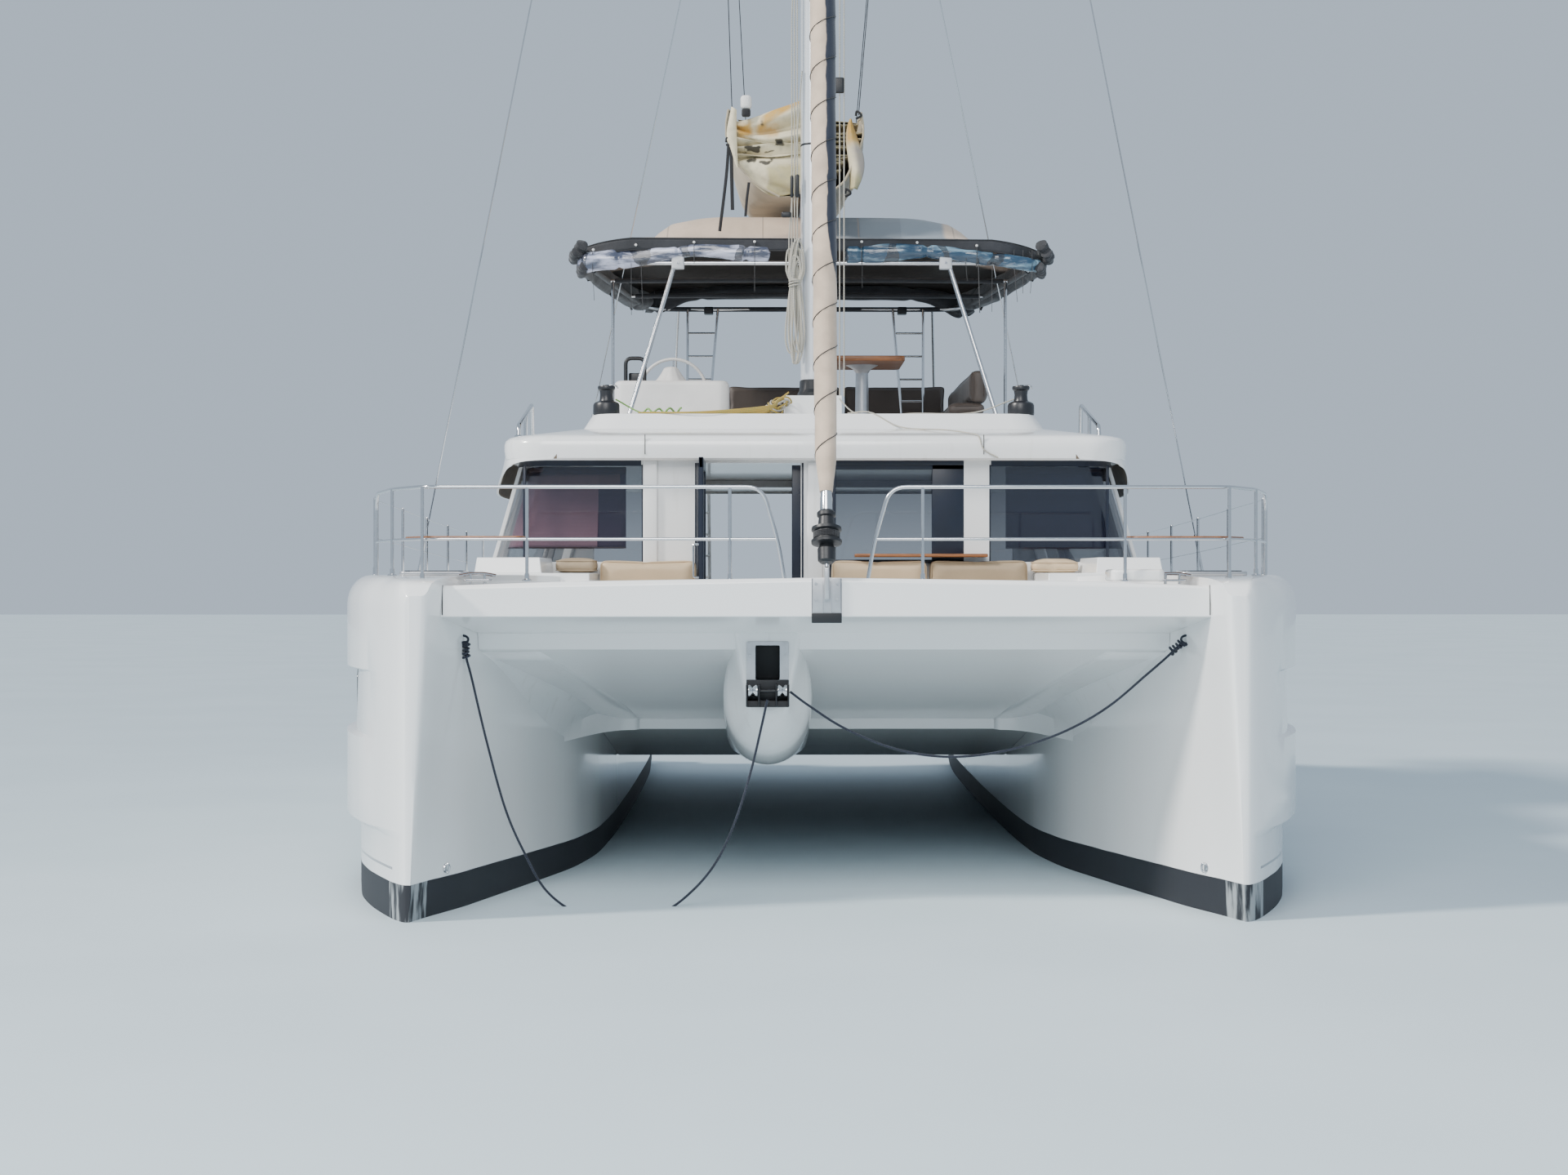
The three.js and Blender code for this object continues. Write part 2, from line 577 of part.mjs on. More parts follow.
// Spars and standing rigging
function mast() {
  const tube = skin([MAST.foot, MAST.top].map((z) =>
    roundRing(MAST.half, MAST.y - MAST.halfDepth, MAST.y + MAST.halfDepth, 80, z, 3)));
  const blade = (x, y, chord, thick) => [[-chord, 0], [0, thick], [chord, 0], [0, -thick]]
    .map(([dy, dz]) => new THREE.Vector3(x, y + dy, SPREADER.z + dz));
  const spreaders = [STARBOARD, PORT].map((s) => skin([
    blade(s * 60, MAST.y, 130, 30), blade(s * SPREADER.reach, MAST.y + SPREADER.sweep, 70, 18),
  ]));
  const lugs = [BOOM.z + 60, BOOM.z - 85].map((z) =>
    box(-45, 45, MAST.y + 150, BOOM.pivotY + 35, z, z + 25));
  const pin = pipe([[0, BOOM.pivotY, BOOM.z - 80], [0, BOOM.pivotY, BOOM.z + 80]], 18, 12);
  return join(tube, ...spreaders, ...lugs, pin);
}

function capShroud(side) {
  const plate = box(HALF_BEAM + GAP, HALF_BEAM + 14, -650, -550, 1750, 2400);
  const tip = [SPREADER.reach + 16, MAST.y + SPREADER.sweep, SPREADER.z];
  const wire = pipe([[HALF_BEAM + 7, -600, 2380], tip, [MAST.half + 6.8, MAST.y + 20, HOUNDS_Z]], 6, 6);
  const screw = pipe([[HALF_BEAM + 7, -600, 2360], [HALF_BEAM - 63, -608, 2740]], 16, 8);
  return mirror(side, join(plate, wire, screw));
}

const lowerWire = (radius) =>
  pipe([[2225, 700, ROOF_TOP + 10], [MAST.half + 6.8, MAST.y + 40, SPREADER.z - 120]], radius, 6);

function lowerShroud(side) {
  const foot = box(2190, 2260, 640, 760, ROOF_TOP - 40, ROOF_TOP + 30);
  const roofGrown = stack([
    [2560, -3070, 4560, 360, ROOF_UNDER + 210 + GAP], [2100, -2450, 4400, 300, ROOF_TOP + GAP],
  ], 5);
  return mirror(side, cut(join(foot, lowerWire(5)), roofGrown));
}

const STAY_FOOT = [0, -6530, 2425];
const STAY_HEAD = [0, MAST.y - MAST.halfDepth - 20, 19000];

function furledGenoa() {
  const length = new THREE.Vector3(...STAY_FOOT).distanceTo(new THREE.Vector3(...STAY_HEAD));
  return turned([
    [14, 4.7], [14, 90], [70, 100], [82, 175], [60, 225], [62, 230], [102, 240], [98, 320], [52, 330],
    [50, 545], [80, 700], [88, 1600], [112, 6500], [100, 11500], [60, 15200], [20, 15900], [12, 16000],
    [12, length - 12],
  ], STAY_FOOT, STAY_HEAD, 12);
}

function forestayBracket() {
  const plate = box(-100, 100, BEAM_FRONT - 12, BEAM_FRONT - GAP, 2045, 2345);
  const fin = across([
    [BEAM_FRONT - 12, 2045], [BEAM_FRONT - 60, 2060], [BEAM_FRONT - 60, 2425], [BEAM_FRONT + 5, 2425],
    [BEAM_FRONT - 6, 2345], [BEAM_FRONT - 12, 2345],
  ], -16, 16);
  return join(plate, fin);
}

function boom() {
  const section = [[-1, -1], [-0.5, -1.25], [0.5, -1.25], [1, -1], [1, 1], [-1, 1]];
  const ring = (y, w, h, z) => section.map(([x, dz]) => new THREE.Vector3(x * w, y, z + dz * h));
  const spar = skin([ring(-1000, 60, 70, BOOM.z), ring(-850, 110, BOOM.halfHeight, BOOM.z),
    ring(BOOM.aft, 110, BOOM.halfHeight, BOOM.z)]);
  const tongue = box(-25, 25, BOOM.pivotY - 35, -990, BOOM.z - 54, BOOM.z + 54);
  const pinHole = bore([0, BOOM.pivotY, BOOM.z - 100], [0, BOOM.pivotY, BOOM.z + 100], 18);
  return cut(join(spar, tongue), pinHole);
}

// The mainsail lowered into its bag. Columns: y, centre, half width, top
function mainsailBag() {
  const low = BOOM.z + BOOM.halfHeight + GAP;
  const rows = [
    [-700, -150, 640, 6860], [-200, -120, 640, 6830], [900, -60, 520, 6740], [2600, -20, 380, 6600],
    [4400, 0, 230, 6420],
  ];
  return skin(rows.map(([y, middle, w, high]) => [
    [-0.25, 0], [0.25, 0], [0.8, 0.3], [1, 0.75], [0.85, 1], [0, 0.86], [-0.85, 1], [-1, 0.75], [-0.8, 0.3],
  ].map(([x, share]) => new THREE.Vector3(middle * share + x * w, y, low + share * (high - low)))));
}

// Rails
function deckTopGrown() {
  return join(foredeckBody(GAP), HULL_GROWN);
}

function pulpit(side) {
  const { y, top, middle } = RAIL;
  const corner = [3110, -5900];
  const last = [3370, -5000];
  const inner = (z) => 290 + (446 - 290) * (z - 2350) / (top - 2350);
  const bar = (z) => [[2820, y, z], [...corner, z], [...last, z]];
  const rail = pipe([[290, y, 2330], [446, y, top], ...bar(top)], 14, 6);
  const second = pipe([[inner(middle), y, middle], ...bar(middle)], 11, 6);
  const posts = [[674, y], [2090, y], [2820, y], corner, last].map(([px, py]) =>
    pipe([[px, py, 2300], [px, py, top]], 12, 6));
  const plan = [[2110, y + 5], [2800, y + 5], [3020, -6060], [2110, -6060]];
  const seat = upright(plan, middle - 22, middle + 22);
  return mirror(side, cut(join(rail, second, ...posts, seat), deckTopGrown()));
}

function guardRail(side) {
  const x = 3500;
  const posts = [-4300, -2900, -1500, -100, 1300, 2700, 4100];
  const uprights = posts.map((y) => pipe([[x, y, AFT_DECK_Z - 30], [x, y, deckHeight(y) + 610]], 13, 6));
  const wire = (rise) => pipe([
    [3388, -4980, deckHeight(-5000) + rise], ...posts.map((y) => [x, y, deckHeight(y) + rise]),
  ], 5, 6);
  return mirror(side, cut(join(...uprights, wire(600), wire(300)), HULL_GROWN));
}

function deckHeight(y) {
  const next = Math.max(1, HULL_STATIONS.findIndex(([station]) => station >= y));
  const [y0, , , z0] = HULL_STATIONS[next - 1];
  const [y1, , , z1] = HULL_STATIONS[next];
  return z0 + (z1 - z0) * (y - y0) / (y1 - y0);
}

// Forward lounge cushions. The backrests lean on the front wall and run out over the side deck
function sofa(x0, x1, backStart, side) {
  const seat = box(x0, x1, WELL.seatFront + 30, WALL_Y - GAP, WELL.seatTop + GAP, 2235);
  const back = box(Math.max(x0, backStart), x1, WALL_Y - 180, WALL_Y - GAP, 2230, 2500);
  const wing = mirror(side, box(1700, 2190, WALL_Y - 260, WALL_Y - GAP, 2386, 2500));
  return join(seat, back, wing);
}

function barShelf() {
  return box(320, 1430, WALL_Y - 220, WALL_Y - GAP, 2520, 2548);
}

// Ground tackle: the bow roller on the nacelle face and the two legs of the mooring bridle
function bowRoller() {
  const face = NACELLE_FRONT - GAP;
  const cheek = (x0, x1) => box(x0, x1, face - 190, face, 1415, 1586);
  const roller = pipe([[NACELLE_X - 141, face - 130, 1480], [NACELLE_X + 141, face - 130, 1480]], 48, 10);
  return join(cheek(NACELLE_X - 155, NACELLE_X - 140), cheek(NACELLE_X + 140, NACELLE_X + 155),
    box(NACELLE_X - 155, NACELLE_X + 155, face - 12, face, 1415, 1586), roller,
    box(NACELLE_X - 150, NACELLE_X + 150, face - 140, face - 10, 1415, 1432));
}

const BRIDLE_RADIUS = 9;
const PORT_ROUTE = [
  [2562, -6045, 1892], [2530, -6030, 1862], [2441, -6026, 1777], [2308, -6020, 1661], [2176, -6014, 1536],
  [2043, -6009, 1436], [1909, -6004, 1351], [1776, -5999, 1276], [1644, -5995, 1217], [1478, -5989, 1158],
  [1311, -5984, 1116], [1145, -5978, 1082], [977, -5973, 1067], [811, -5968, 1068], [644, -5962, 1088],
  [477, -5957, 1129], [310, -5952, 1193], [141, -5945, 1269], [24, -5941, 1339], [-111, -5936, 1429],
  [-249, -5930, 1531],
];
const STARBOARD_ROUTE = [
  [-2564, -6045, 1899.2], [-2559, -6040, 1782], [-2523, -6039, 1640], [-2474, -6036, 1432],
  [-2416, -6034, 1184], [-2349, -6031, 921], [-2284, -6029, 702], [-2219, -6027, 527], [-2146, -6025, 381],
  [-2070, -6023, 232], [-1986, -6022, 107], [-1869, -6020, 0], [-1741, -6019, -61], [-1607, -6017, -91],
  [-1446, -6016, -101], [-1286, -6014, -88], [-1167, -6013, -46], [-1057, -6012, 22], [-950, -6010, 108],
  [-848, -6009, 214], [-775, -6007, 321], [-702, -6006, 457], [-644, -6004, 602], [-585, -6002, 773],
  [-534, -6000, 948], [-494, -5997, 1109], [-454, -5994, 1284], [-425, -5990, 1415], [-412, -5988, 1475],
];

function bridle(route, steps) {
  const path = new THREE.CatmullRomCurve3(route.map((p) => new THREE.Vector3(...p)));
  const section = new THREE.Shape(Array.from({ length: 8 }, (_, i) => new THREE.Vector2(
    BRIDLE_RADIUS * Math.cos(Math.PI * i / 4), BRIDLE_RADIUS * Math.sin(Math.PI * i / 4))));
  return solid(new THREE.ExtrudeGeometry(section, { steps, extrudePath: path }));
}

// Drive: engine block and leg in one unit, propeller and rudder
function driveUnit(side) {
  const block = box(HULL_AXIS_X - 250, HULL_AXIS_X + 250, 4400, 4980, BAY.floor + GAP, 480);
  const leg = skin([[BAY.floor + 5, 1], [LEG.bottom, 0.85]].map(([z, share]) =>
    [[0, -1], [0.9, -0.5], [1, 0.1], [0, 1], [-1, 0.1], [-0.9, -0.5]].map(([x, y]) =>
      new THREE.Vector3(HULL_AXIS_X + x * 55 * share, LEG.y + y * LEG.halfLength * share, z))));
  const bullet = turned([[20, 0], [62, 60], [75, 140], [75, PROP.front - GAP - 4480]],
    [HULL_AXIS_X, 4480, PROP.z], [HULL_AXIS_X, 5000, PROP.z], 12);
  return mirror(side, join(block, leg, bullet));
}

function propeller(side) {
  const hub = turned([[PROP.hub, 0], [PROP.hub, 100], [20, PROP.length]],
    [HULL_AXIS_X, PROP.front, PROP.z], [HULL_AXIS_X, 6000, PROP.z], 12);
  const blades = [0, 1, 2].map((i) => {
    const stations = [[40, 45, 34], [120, 80, 14], [190, 75, 6], [PROP.radius, 30, 3]];
    const shape = skin(stations.map(([r, chord, thick]) => {
      const twist = Math.PI / 4 - r * 0.0015;
      const section = [[-chord, 0], [0, thick], [chord, 0], [0, -thick]];
      return section.map(([a, b]) => new THREE.Vector3(
        a * Math.cos(twist) - b * Math.sin(twist), a * Math.sin(twist) + b * Math.cos(twist), r));
    }));
    return shape.rotate([0, 120 * i, 0]).translate([HULL_AXIS_X, PROP.front + 55, PROP.z]);
  });
  return mirror(side, join(hub, ...blades));
}

function rudder(side) {
  const { y, top, bottom, stock, front, aft } = RUDDER;
  const foil = [
    [0, 0], [0.08, 0.6], [0.3, 1], [0.65, 0.7], [1, 0.06], [1, -0.06], [0.65, -0.7], [0.3, -1], [0.08, -0.6],
  ];
  const section = (z, chord, thick) => foil.map(([along, out]) => new THREE.Vector3(
    HULL_AXIS_X + out * 50 * thick, y + (front + along * (aft - front)) * chord, z));
  const blade = skin([section(top, 1, 1), section(bottom, 0.72, 0.7)]);
  const shaft = pipe([[HULL_AXIS_X, y, top - 200], [HULL_AXIS_X, y, -110]], stock, 16);
  return mirror(side, join(blade, shaft));
}

function engineHatch(side) {
  const rim = BAY.half + BAY.rim - 6;
  const lid = box(HULL_AXIS_X - rim, HULL_AXIS_X + rim, BAY.front - BAY.rim + 6, BAY.aft + BAY.rim - 6,
    AFT_DECK_Z - BAY.lid - 5 + GAP, AFT_DECK_Z - 3);
  return mirror(side, lid);
}

// Aft cockpit and saloon furniture
function aftBench() {
  const back = skin([level(-1000, 1740, 5480, 5640, 1780), level(-1000, 1740, 5540, 5645, 2180)]);
  return join(box(-1000, 1740, 4950, 5640, FLOOR_Z + GAP, 1790), back);
}

function flyStairs() {
  const run = { low: [5500, FLOOR_Z + GAP], high: [4680, ROOF_TOP - 20] };
  const stringer = (x) => across([[run.low[0] - 60, run.low[1]], [run.low[0] + 60, run.low[1]],
    [run.high[0] + 60, run.high[1]], [run.high[0] - 60, run.high[1]]], x, x + 40);
  const treads = Array.from({ length: 8 }, (_, i) => {
    const share = (i + 1) / 9;
    const y = run.low[0] + (run.high[0] - run.low[0]) * share;
    const z = run.low[1] + (run.high[1] - run.low[1]) * share;
    return box(-1700, -1100, y - 110, y + 110, z - 25, z);
  });
  return join(stringer(-1720), stringer(-1120), ...treads);
}

function cockpitTable() {
  return join(box(-100, 1300, 3250, 4350, 2040, 2080),
    ...[[250, 3800], [950, 3800]].map(([x, y]) => pipe([[x, y, FLOOR_Z + GAP], [x, y, 2050]], 50, 10)));
}

function galley() {
  const low = FLOOR_Z + GAP;
  return join(box(100, 1740, -2860, -2200, low, 2270), box(1150, 1740, -2250, -500, low, 2270));
}

function saloonSofa() {
  return join(box(-1740, -1050, 200, 2300, FLOOR_Z + GAP, 1800), box(-1740, -1560, 200, 2300, 1790, 2200));
}

// The tilting aft door, raised flat below the roof
function aftDoor() {
  const frame = box(-1650, 1650, 1300, 3300, 3270, ROOF_UNDER - GAP);
  const light = box(-1570, 1570, 1380, 3220, 3200, 3400);
  const pane = box(-1571, 1571, 1379, 3221, 3295, 3307);
  return join(cut(frame, light), pane);
}

// Assembly
const FOREDECK = foredeck();
const BRIDGEDECK = cut(bridgedeckBody(0), HULL_GROWN);
const NACELLE = cut(nacelleBody(), foredeckBody(GAP), bridgedeckBody(GAP), hawse(-6000),
  box(-1000, 200, WALL_Y - 2, 0, 1000, 2100), box(-1000, 200, -1000 - GAP, 0, 690, 2100));

add('foredeck', FOREDECK, GELCOAT);
add('bridgedeck', BRIDGEDECK, GELCOAT);
add('nacelle', NACELLE, GELCOAT);
add('front_wall', frontWall(), GELCOAT);
add('front_door', frontDoor(), BLACK);
add('front_glass_centre', PANE_SHELL.intersect(centreWindow(GAP)), GLASS);
add('roof', roof(), GELCOAT);
add('fly_moulding', flyMoulding(), GELCOAT);
add('helm_console', helmConsole(), GELCOAT);
add('helm_wheel', helmWheel(), STEEL);
add('helm_seat', helmSeat(), BLACK);
add('fly_cushions', flyCushions(), TAUPE);
add('fly_table', flyTable(), TEAK);
add('bimini_frame', biminiFrame(), STEEL);
add('bimini_canvas', biminiCanvas(), BLACK_CANVAS);
add('mast', mast(), SPAR);
add('boom', boom(), SPAR);
add('mainsail_bag', mainsailBag(), TAN_CANVAS);
add('furled_genoa', furledGenoa(), TAN_CANVAS);
add('forestay_bracket', forestayBracket(), STEEL);
add('bow_roller', bowRoller(), BLACK);
add('bridle_port', bridle(PORT_ROUTE, 60), ROPE);
add('bridle_starboard', bridle(STARBOARD_ROUTE, 76), ROPE);
add('sofa_starboard', sofa(-1780, -1000, -1780, STARBOARD), BEIGE);
add('sofa_port', sofa(-110, 1780, 170, PORT), BEIGE);
add('bar_shelf', barShelf(), TEAK);
add('aft_bench', aftBench(), GELCOAT);
add('fly_stairs', flyStairs(), GELCOAT);
add('cockpit_table', cockpitTable(), TEAK);
add('galley', galley(), GELCOAT);
add('saloon_sofa', saloonSofa(), BEIGE);
add('aft_door', aftDoor(), BLACK);

for (const side of [STARBOARD, PORT]) {
  const name = sideName(side);
  add(`hull_${name}`, mirror(side, HULL), GELCOAT);
  add(`keel_${name}`, keel(side), ANTIFOUL);
  add(`side_wall_${name}`, sideWall(side), GELCOAT);
  add(`corner_glass_${name}`, cornerPane(side), GLASS);
  add(`side_glass_${name}`, PANE_SHELL.intersect(sideWindow(side, GAP)), GLASS);
  add(`cap_shroud_${name}`, capShroud(side), STEEL);
  add(`lower_shroud_${name}`, lowerShroud(side), STEEL);
  add(`pulpit_${name}`, pulpit(side), STEEL);
  add(`guard_rail_${name}`, guardRail(side), STEEL);
  add(`winch_${name}`, winch(side), BLACK);
  add(`drive_unit_${name}`, driveUnit(side), ENGINE);
  add(`propeller_${name}`, propeller(side), BRONZE);
  add(`rudder_${name}`, rudder(side), ANTIFOUL);
  add(`engine_hatch_${name}`, engineHatch(side), GELCOAT);
}

export default boat;
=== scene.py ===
"""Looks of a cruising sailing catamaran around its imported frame.

Metres. X points to port, Y points aft, Z points up, and zero is on the centreline, amidships, at the waterline.
Each operator in the panel makes one piece or one group of like pieces.
"""

import functools
import math

import bmesh
import bpy
import numpy as np
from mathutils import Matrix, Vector


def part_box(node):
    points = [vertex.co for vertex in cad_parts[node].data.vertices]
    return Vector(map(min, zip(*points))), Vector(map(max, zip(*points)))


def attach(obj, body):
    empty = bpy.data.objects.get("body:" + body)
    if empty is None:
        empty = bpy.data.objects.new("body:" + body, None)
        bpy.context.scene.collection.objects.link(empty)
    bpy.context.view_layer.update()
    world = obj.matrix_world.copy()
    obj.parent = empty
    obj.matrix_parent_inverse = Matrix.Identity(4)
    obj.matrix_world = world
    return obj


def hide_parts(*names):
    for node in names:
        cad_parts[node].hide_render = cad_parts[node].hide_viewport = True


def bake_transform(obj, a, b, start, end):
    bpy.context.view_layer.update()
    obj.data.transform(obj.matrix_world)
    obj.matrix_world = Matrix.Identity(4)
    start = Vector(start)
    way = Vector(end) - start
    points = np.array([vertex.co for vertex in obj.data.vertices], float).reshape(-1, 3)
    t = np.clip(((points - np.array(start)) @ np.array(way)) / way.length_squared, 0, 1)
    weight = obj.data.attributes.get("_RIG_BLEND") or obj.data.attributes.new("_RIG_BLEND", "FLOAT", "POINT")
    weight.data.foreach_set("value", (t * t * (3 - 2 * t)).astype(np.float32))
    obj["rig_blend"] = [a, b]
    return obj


bl_info = {
    "name": "Cruising catamaran",
    "version": (1, 0, 0),
    "blender": (4, 5, 0),
    "location": "View3D > Sidebar > Catamaran",
    "description": "Makes the surfaces, soft goods, rigging and finishes of a sailing catamaran",
    "category": "Object",
}

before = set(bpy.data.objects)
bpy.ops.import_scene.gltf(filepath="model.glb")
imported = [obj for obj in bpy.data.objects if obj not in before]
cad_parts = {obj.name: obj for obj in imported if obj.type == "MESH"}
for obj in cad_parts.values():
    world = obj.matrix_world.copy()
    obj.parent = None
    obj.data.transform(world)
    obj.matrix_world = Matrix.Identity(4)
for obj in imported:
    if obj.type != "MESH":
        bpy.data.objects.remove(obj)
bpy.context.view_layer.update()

STARBOARD, PORT = -1, 1
SIDES = {STARBOARD: "starboard", PORT: "port"}
FULL_TURN = 2 * math.pi

# Heights and places taken from the frame
FLY_TOP = 3.79
MAST_Y = -1.3
WALL_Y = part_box("front_wall")[0].y
BOOM_Z = 6.01
SILL, WINDOW_TOP = 2.48, 3.3
RAIL_Y, RAIL_TOP, RAIL_MIDDLE = -6.4, 2.985, 2.62
NACELLE_X, NACELLE_FRONT = -0.41, -5.8
ROUNDED_ANGLE = 28


# Sizes and colours that a user would change


def length(name, default, description):
    return bpy.props.FloatProperty(name=name, default=default, unit="LENGTH", description=description)


def colour(name, default, description):
    return bpy.props.FloatVectorProperty(
        name=name, default=default, subtype="COLOR", size=3, min=0, max=1, description=description)


class CatamaranSizes(bpy.types.PropertyGroup):
    """Sizes of the small parts."""

    rail_radius: length("Rail radius", 0.0135, "Radius of the pulpit tube")
    wire_radius: length("Wire radius", 0.004, "Radius of a guard wire")
    halyard_radius: length("Halyard radius", 0.006, "Radius of a running line")
    bridle_radius: length("Bridle radius", 0.009, "Radius of the mooring bridle rope")
    antifouling_top: length("Bottom paint height", 0.215, "Height of the bottom paint above the water")
    pad_swell: length("Cushion swell", 0.022, "Most that a cushion may swell")


class CatamaranColours(bpy.types.PropertyGroup):
    """Colours of the finishes."""

    gelcoat: colour("Gelcoat", (0.88, 0.885, 0.88), "Polished white gelcoat")
    bottom: colour("Bottom paint", (0.012, 0.014, 0.02), "Antifouling below the waterline")
    tan: colour("Tan canvas", (0.60, 0.47, 0.36), "Bimini top and genoa cover")
    khaki: colour("Khaki canvas", (0.50, 0.43, 0.31), "Mainsail bag")
    # Painted shade: a grey-blue that stands for the tan canvas in shade on the port side of the bimini top.
    slate: colour("Bimini painted shade", (0.16, 0.19, 0.22), "Port side of the bimini top")
    black: colour("Black canvas", (0.016, 0.017, 0.021), "Brim and rolled curtains")
    sail: colour("Sailcloth", (0.74, 0.66, 0.46), "Folded mainsail")
    beige: colour("Beige vinyl", (0.62, 0.47, 0.30), "Forward lounge cushions")
    taupe: colour("Taupe vinyl", (0.1, 0.078, 0.066), "Flybridge cushions")
    wood: colour("Wood", (0.31, 0.115, 0.035), "Tables and shelf")
    blind: colour("Blind", (0.50, 0.27, 0.34), "Window blinds")


def sizes():
    return bpy.context.scene.catamaran_sizes


def tint(base):
    """A colour as it is, or the one that the user has set under a name."""
    return tuple(getattr(bpy.context.scene.catamaran_colours, base)) if isinstance(base, str) else base


# Curves and grids worked out as whole arrays


def circle(count):
    """Even angles round a full turn."""
    return np.linspace(0, FULL_TURN, count, endpoint=False)


def xyz(x, y, z):
    """Points whose three coordinates are spread over one another."""
    return np.stack(np.broadcast_arrays(x, y, z), -1)


def squared(wave, power):
    """A cosine or sine brought to a power with its sign kept, which turns a circle into a rounded square."""
    return np.sign(wave) * np.abs(wave) ** power


def unit(vectors):
    """Each vector over its length."""
    return vectors / np.maximum(np.linalg.norm(vectors, axis=-1, keepdims=True), 1e-12)


def soft_step(x, low, high):
    """0 up to low, 1 from high on, and a cubic between them that is level at both."""
    t = np.clip((x - low) / (high - low), 0, 1)
    return t * t * (3 - 2 * t)


def through(points, count):
    """Catmull-Rom curve through the points, at even steps of its parameter."""
    p = np.asarray(points, float)
    p = np.vstack([2 * p[0] - p[1], p, 2 * p[-1] - p[-2]])
    t = np.linspace(0, len(points) - 1, count)
    i = np.minimum(t.astype(int), len(points) - 2)
    f = (t - i)[:, None]
    a, b, c, d = p[i], p[i + 1], p[i + 2], p[i + 3]
    return 0.5 * (2 * b + (c - a) * f + (2 * a - 5 * b + 4 * c - d) * f**2 + (3 * b - a - 3 * c + d) * f**3)


def ease(x, xs, ys):
    """Cubic curve through a table of rows that never overshoots it: slopes are harmonic means of the chords."""
    x, xs, ys = (np.asarray(v, float) for v in (x, xs, ys))
    ys = ys.reshape(len(xs), -1)
    h = np.diff(xs)[:, None]
    chord = np.diff(ys, axis=0) / h
    before, after = chord[:-1], chord[1:]
    slope = np.vstack([chord[:1], np.where(before * after > 0, 2 * before * after, 0), chord[-1:]])
    slope[1:-1] /= np.where(before * after > 0, before + after, 1)
    i = np.clip(np.searchsorted(xs, x) - 1, 0, len(xs) - 2)
    t = ((x - xs[i]) / h[i, 0])[:, None]
    return ((2 * t**3 - 3 * t**2 + 1) * ys[i] + (t**3 - 2 * t**2 + t) * h[i] * slope[i]
            + (3 * t**2 - 2 * t**3) * ys[i + 1] + (t**3 - t**2) * h[i] * slope[i + 1])


def columns_at(table, at):
    """The other columns of a table, eased, at some values of its first column."""
    return ease(at, table[:, 0], table[:, 1:]).T[:, :, None]


def bent(points, radius, steps=6, closed=False):
    """Straight runs with each corner replaced by a parabola that starts and ends a radius from it."""
    p = [np.asarray(q, float) for q in points]
    count = len(p)
    inner = range(count) if closed else range(1, count - 1)
    t = np.linspace(0, 1, steps)[:, None]
    line = [] if closed else [p[0][None]]
    for i in inner:
        before, here, after = p[i - 1], p[i], p[(i + 1) % count]
        reach = min(radius, 0.45 * np.linalg.norm(before - here), 0.45 * np.linalg.norm(after - here))
        a = here + unit(before - here) * reach
        b = here + unit(after - here) * reach
        line.append((1 - t) ** 2 * a + 2 * t * (1 - t) * here + t**2 * b)
    if not closed:
        line.append(p[-1][None])
    return np.vstack(line)


def turned_frame(path, closed=False):
    """Two unit vectors across a path at each of its points, measured from one fixed direction."""
    step = np.roll(path, -1, 0) - np.roll(path, 1, 0) if closed else np.gradient(path, axis=0)
    along = unit(step)
    choices = unit(np.array([[0, 0, 1], [1, 0, 0], [0, 1, 0], [1, 1, 1], [1, -1, 1], [-1, 1, 1]], float))
    fixed = choices[np.argmin(np.abs(along @ choices.T).max(0))]
    side = unit(np.cross(along, fixed))
    return side, np.cross(along, side)


def tube(path, radius, sides=10, closed=False, flat=1.0):
    """A circle, or an ellipse of thickness flat, carried along a path."""
    p = np.asarray(path, float)
    side, up = turned_frame(p, closed)
    angle = circle(sides)[:, None]
    r = np.broadcast_to(np.asarray(radius, float), len(p))[:, None, None]
    grid = p[:, None] + r * (np.cos(angle) * side[:, None] + flat * np.sin(angle) * up[:, None])
    return np.concatenate([grid, grid[:1]]) if closed else grid


def round_ring(x0, x1, y0, y1, radius, z, facets=6):
    """A level rectangle with round corners, as a ring of points."""
    angle = np.linspace(0, math.pi / 2, facets + 1)
    corners = [(x1, y1, 0), (x0, y1, 1), (x0, y0, 2), (x1, y0, 3)]
    ring = []
    for x, y, quarter in corners:
        cx = x - radius if x == x1 else x + radius
        cy = y - radius if y == y1 else y + radius
        turn = angle + quarter * math.pi / 2
        ring.append(xyz(cx + radius * np.cos(turn), cy + radius * np.sin(turn), z))
    return np.vstack(ring)


def stack(rows, facets=6):
    """Level rings about the centreline, one above another. Columns: half width, y0, y1, corner radius, height."""
    return np.array([round_ring(-half, half, *row, facets) for half, *row in rows])


def block(low, high, edge, corner=None, facets=5):
    """A box with quarter-round edges: its rings shrink towards the top and the bottom by a quarter circle."""
    low, high = np.asarray(low, float), np.asarray(high, float)
    corner = corner or edge * 1.5
    turn = np.linspace(0, math.pi / 2, facets)
    inset = np.concatenate([edge * (1 - np.sin(turn)), edge * (1 - np.cos(turn))])
    height = np.concatenate([low[2] + edge * (1 - np.cos(turn)), high[2] - edge * (1 - np.sin(turn))])
    return np.array([round_ring(low[0] + i, high[0] - i, low[1] + i, high[1] - i, max(corner - i, 1e-4), z, facets)
                     for i, z in zip(inset, height)])


def shut(ring):
    """A ring drawn together in its middle."""
    return np.broadcast_to(ring.mean(0), ring.shape)


def lathe(profile, centre, axis="z", sides=28):
    """A profile of radius and distance columns turned about an axis through the centre."""
    r, along = np.asarray(profile, float).T[:, :, None]
    c, d = r * np.cos(circle(sides)), r * np.sin(circle(sides))
    order = {"z": (c, d, along), "y": (d, along, c), "x": (along, c, d)}[axis]
    return xyz(*order) + np.asarray(centre, float)


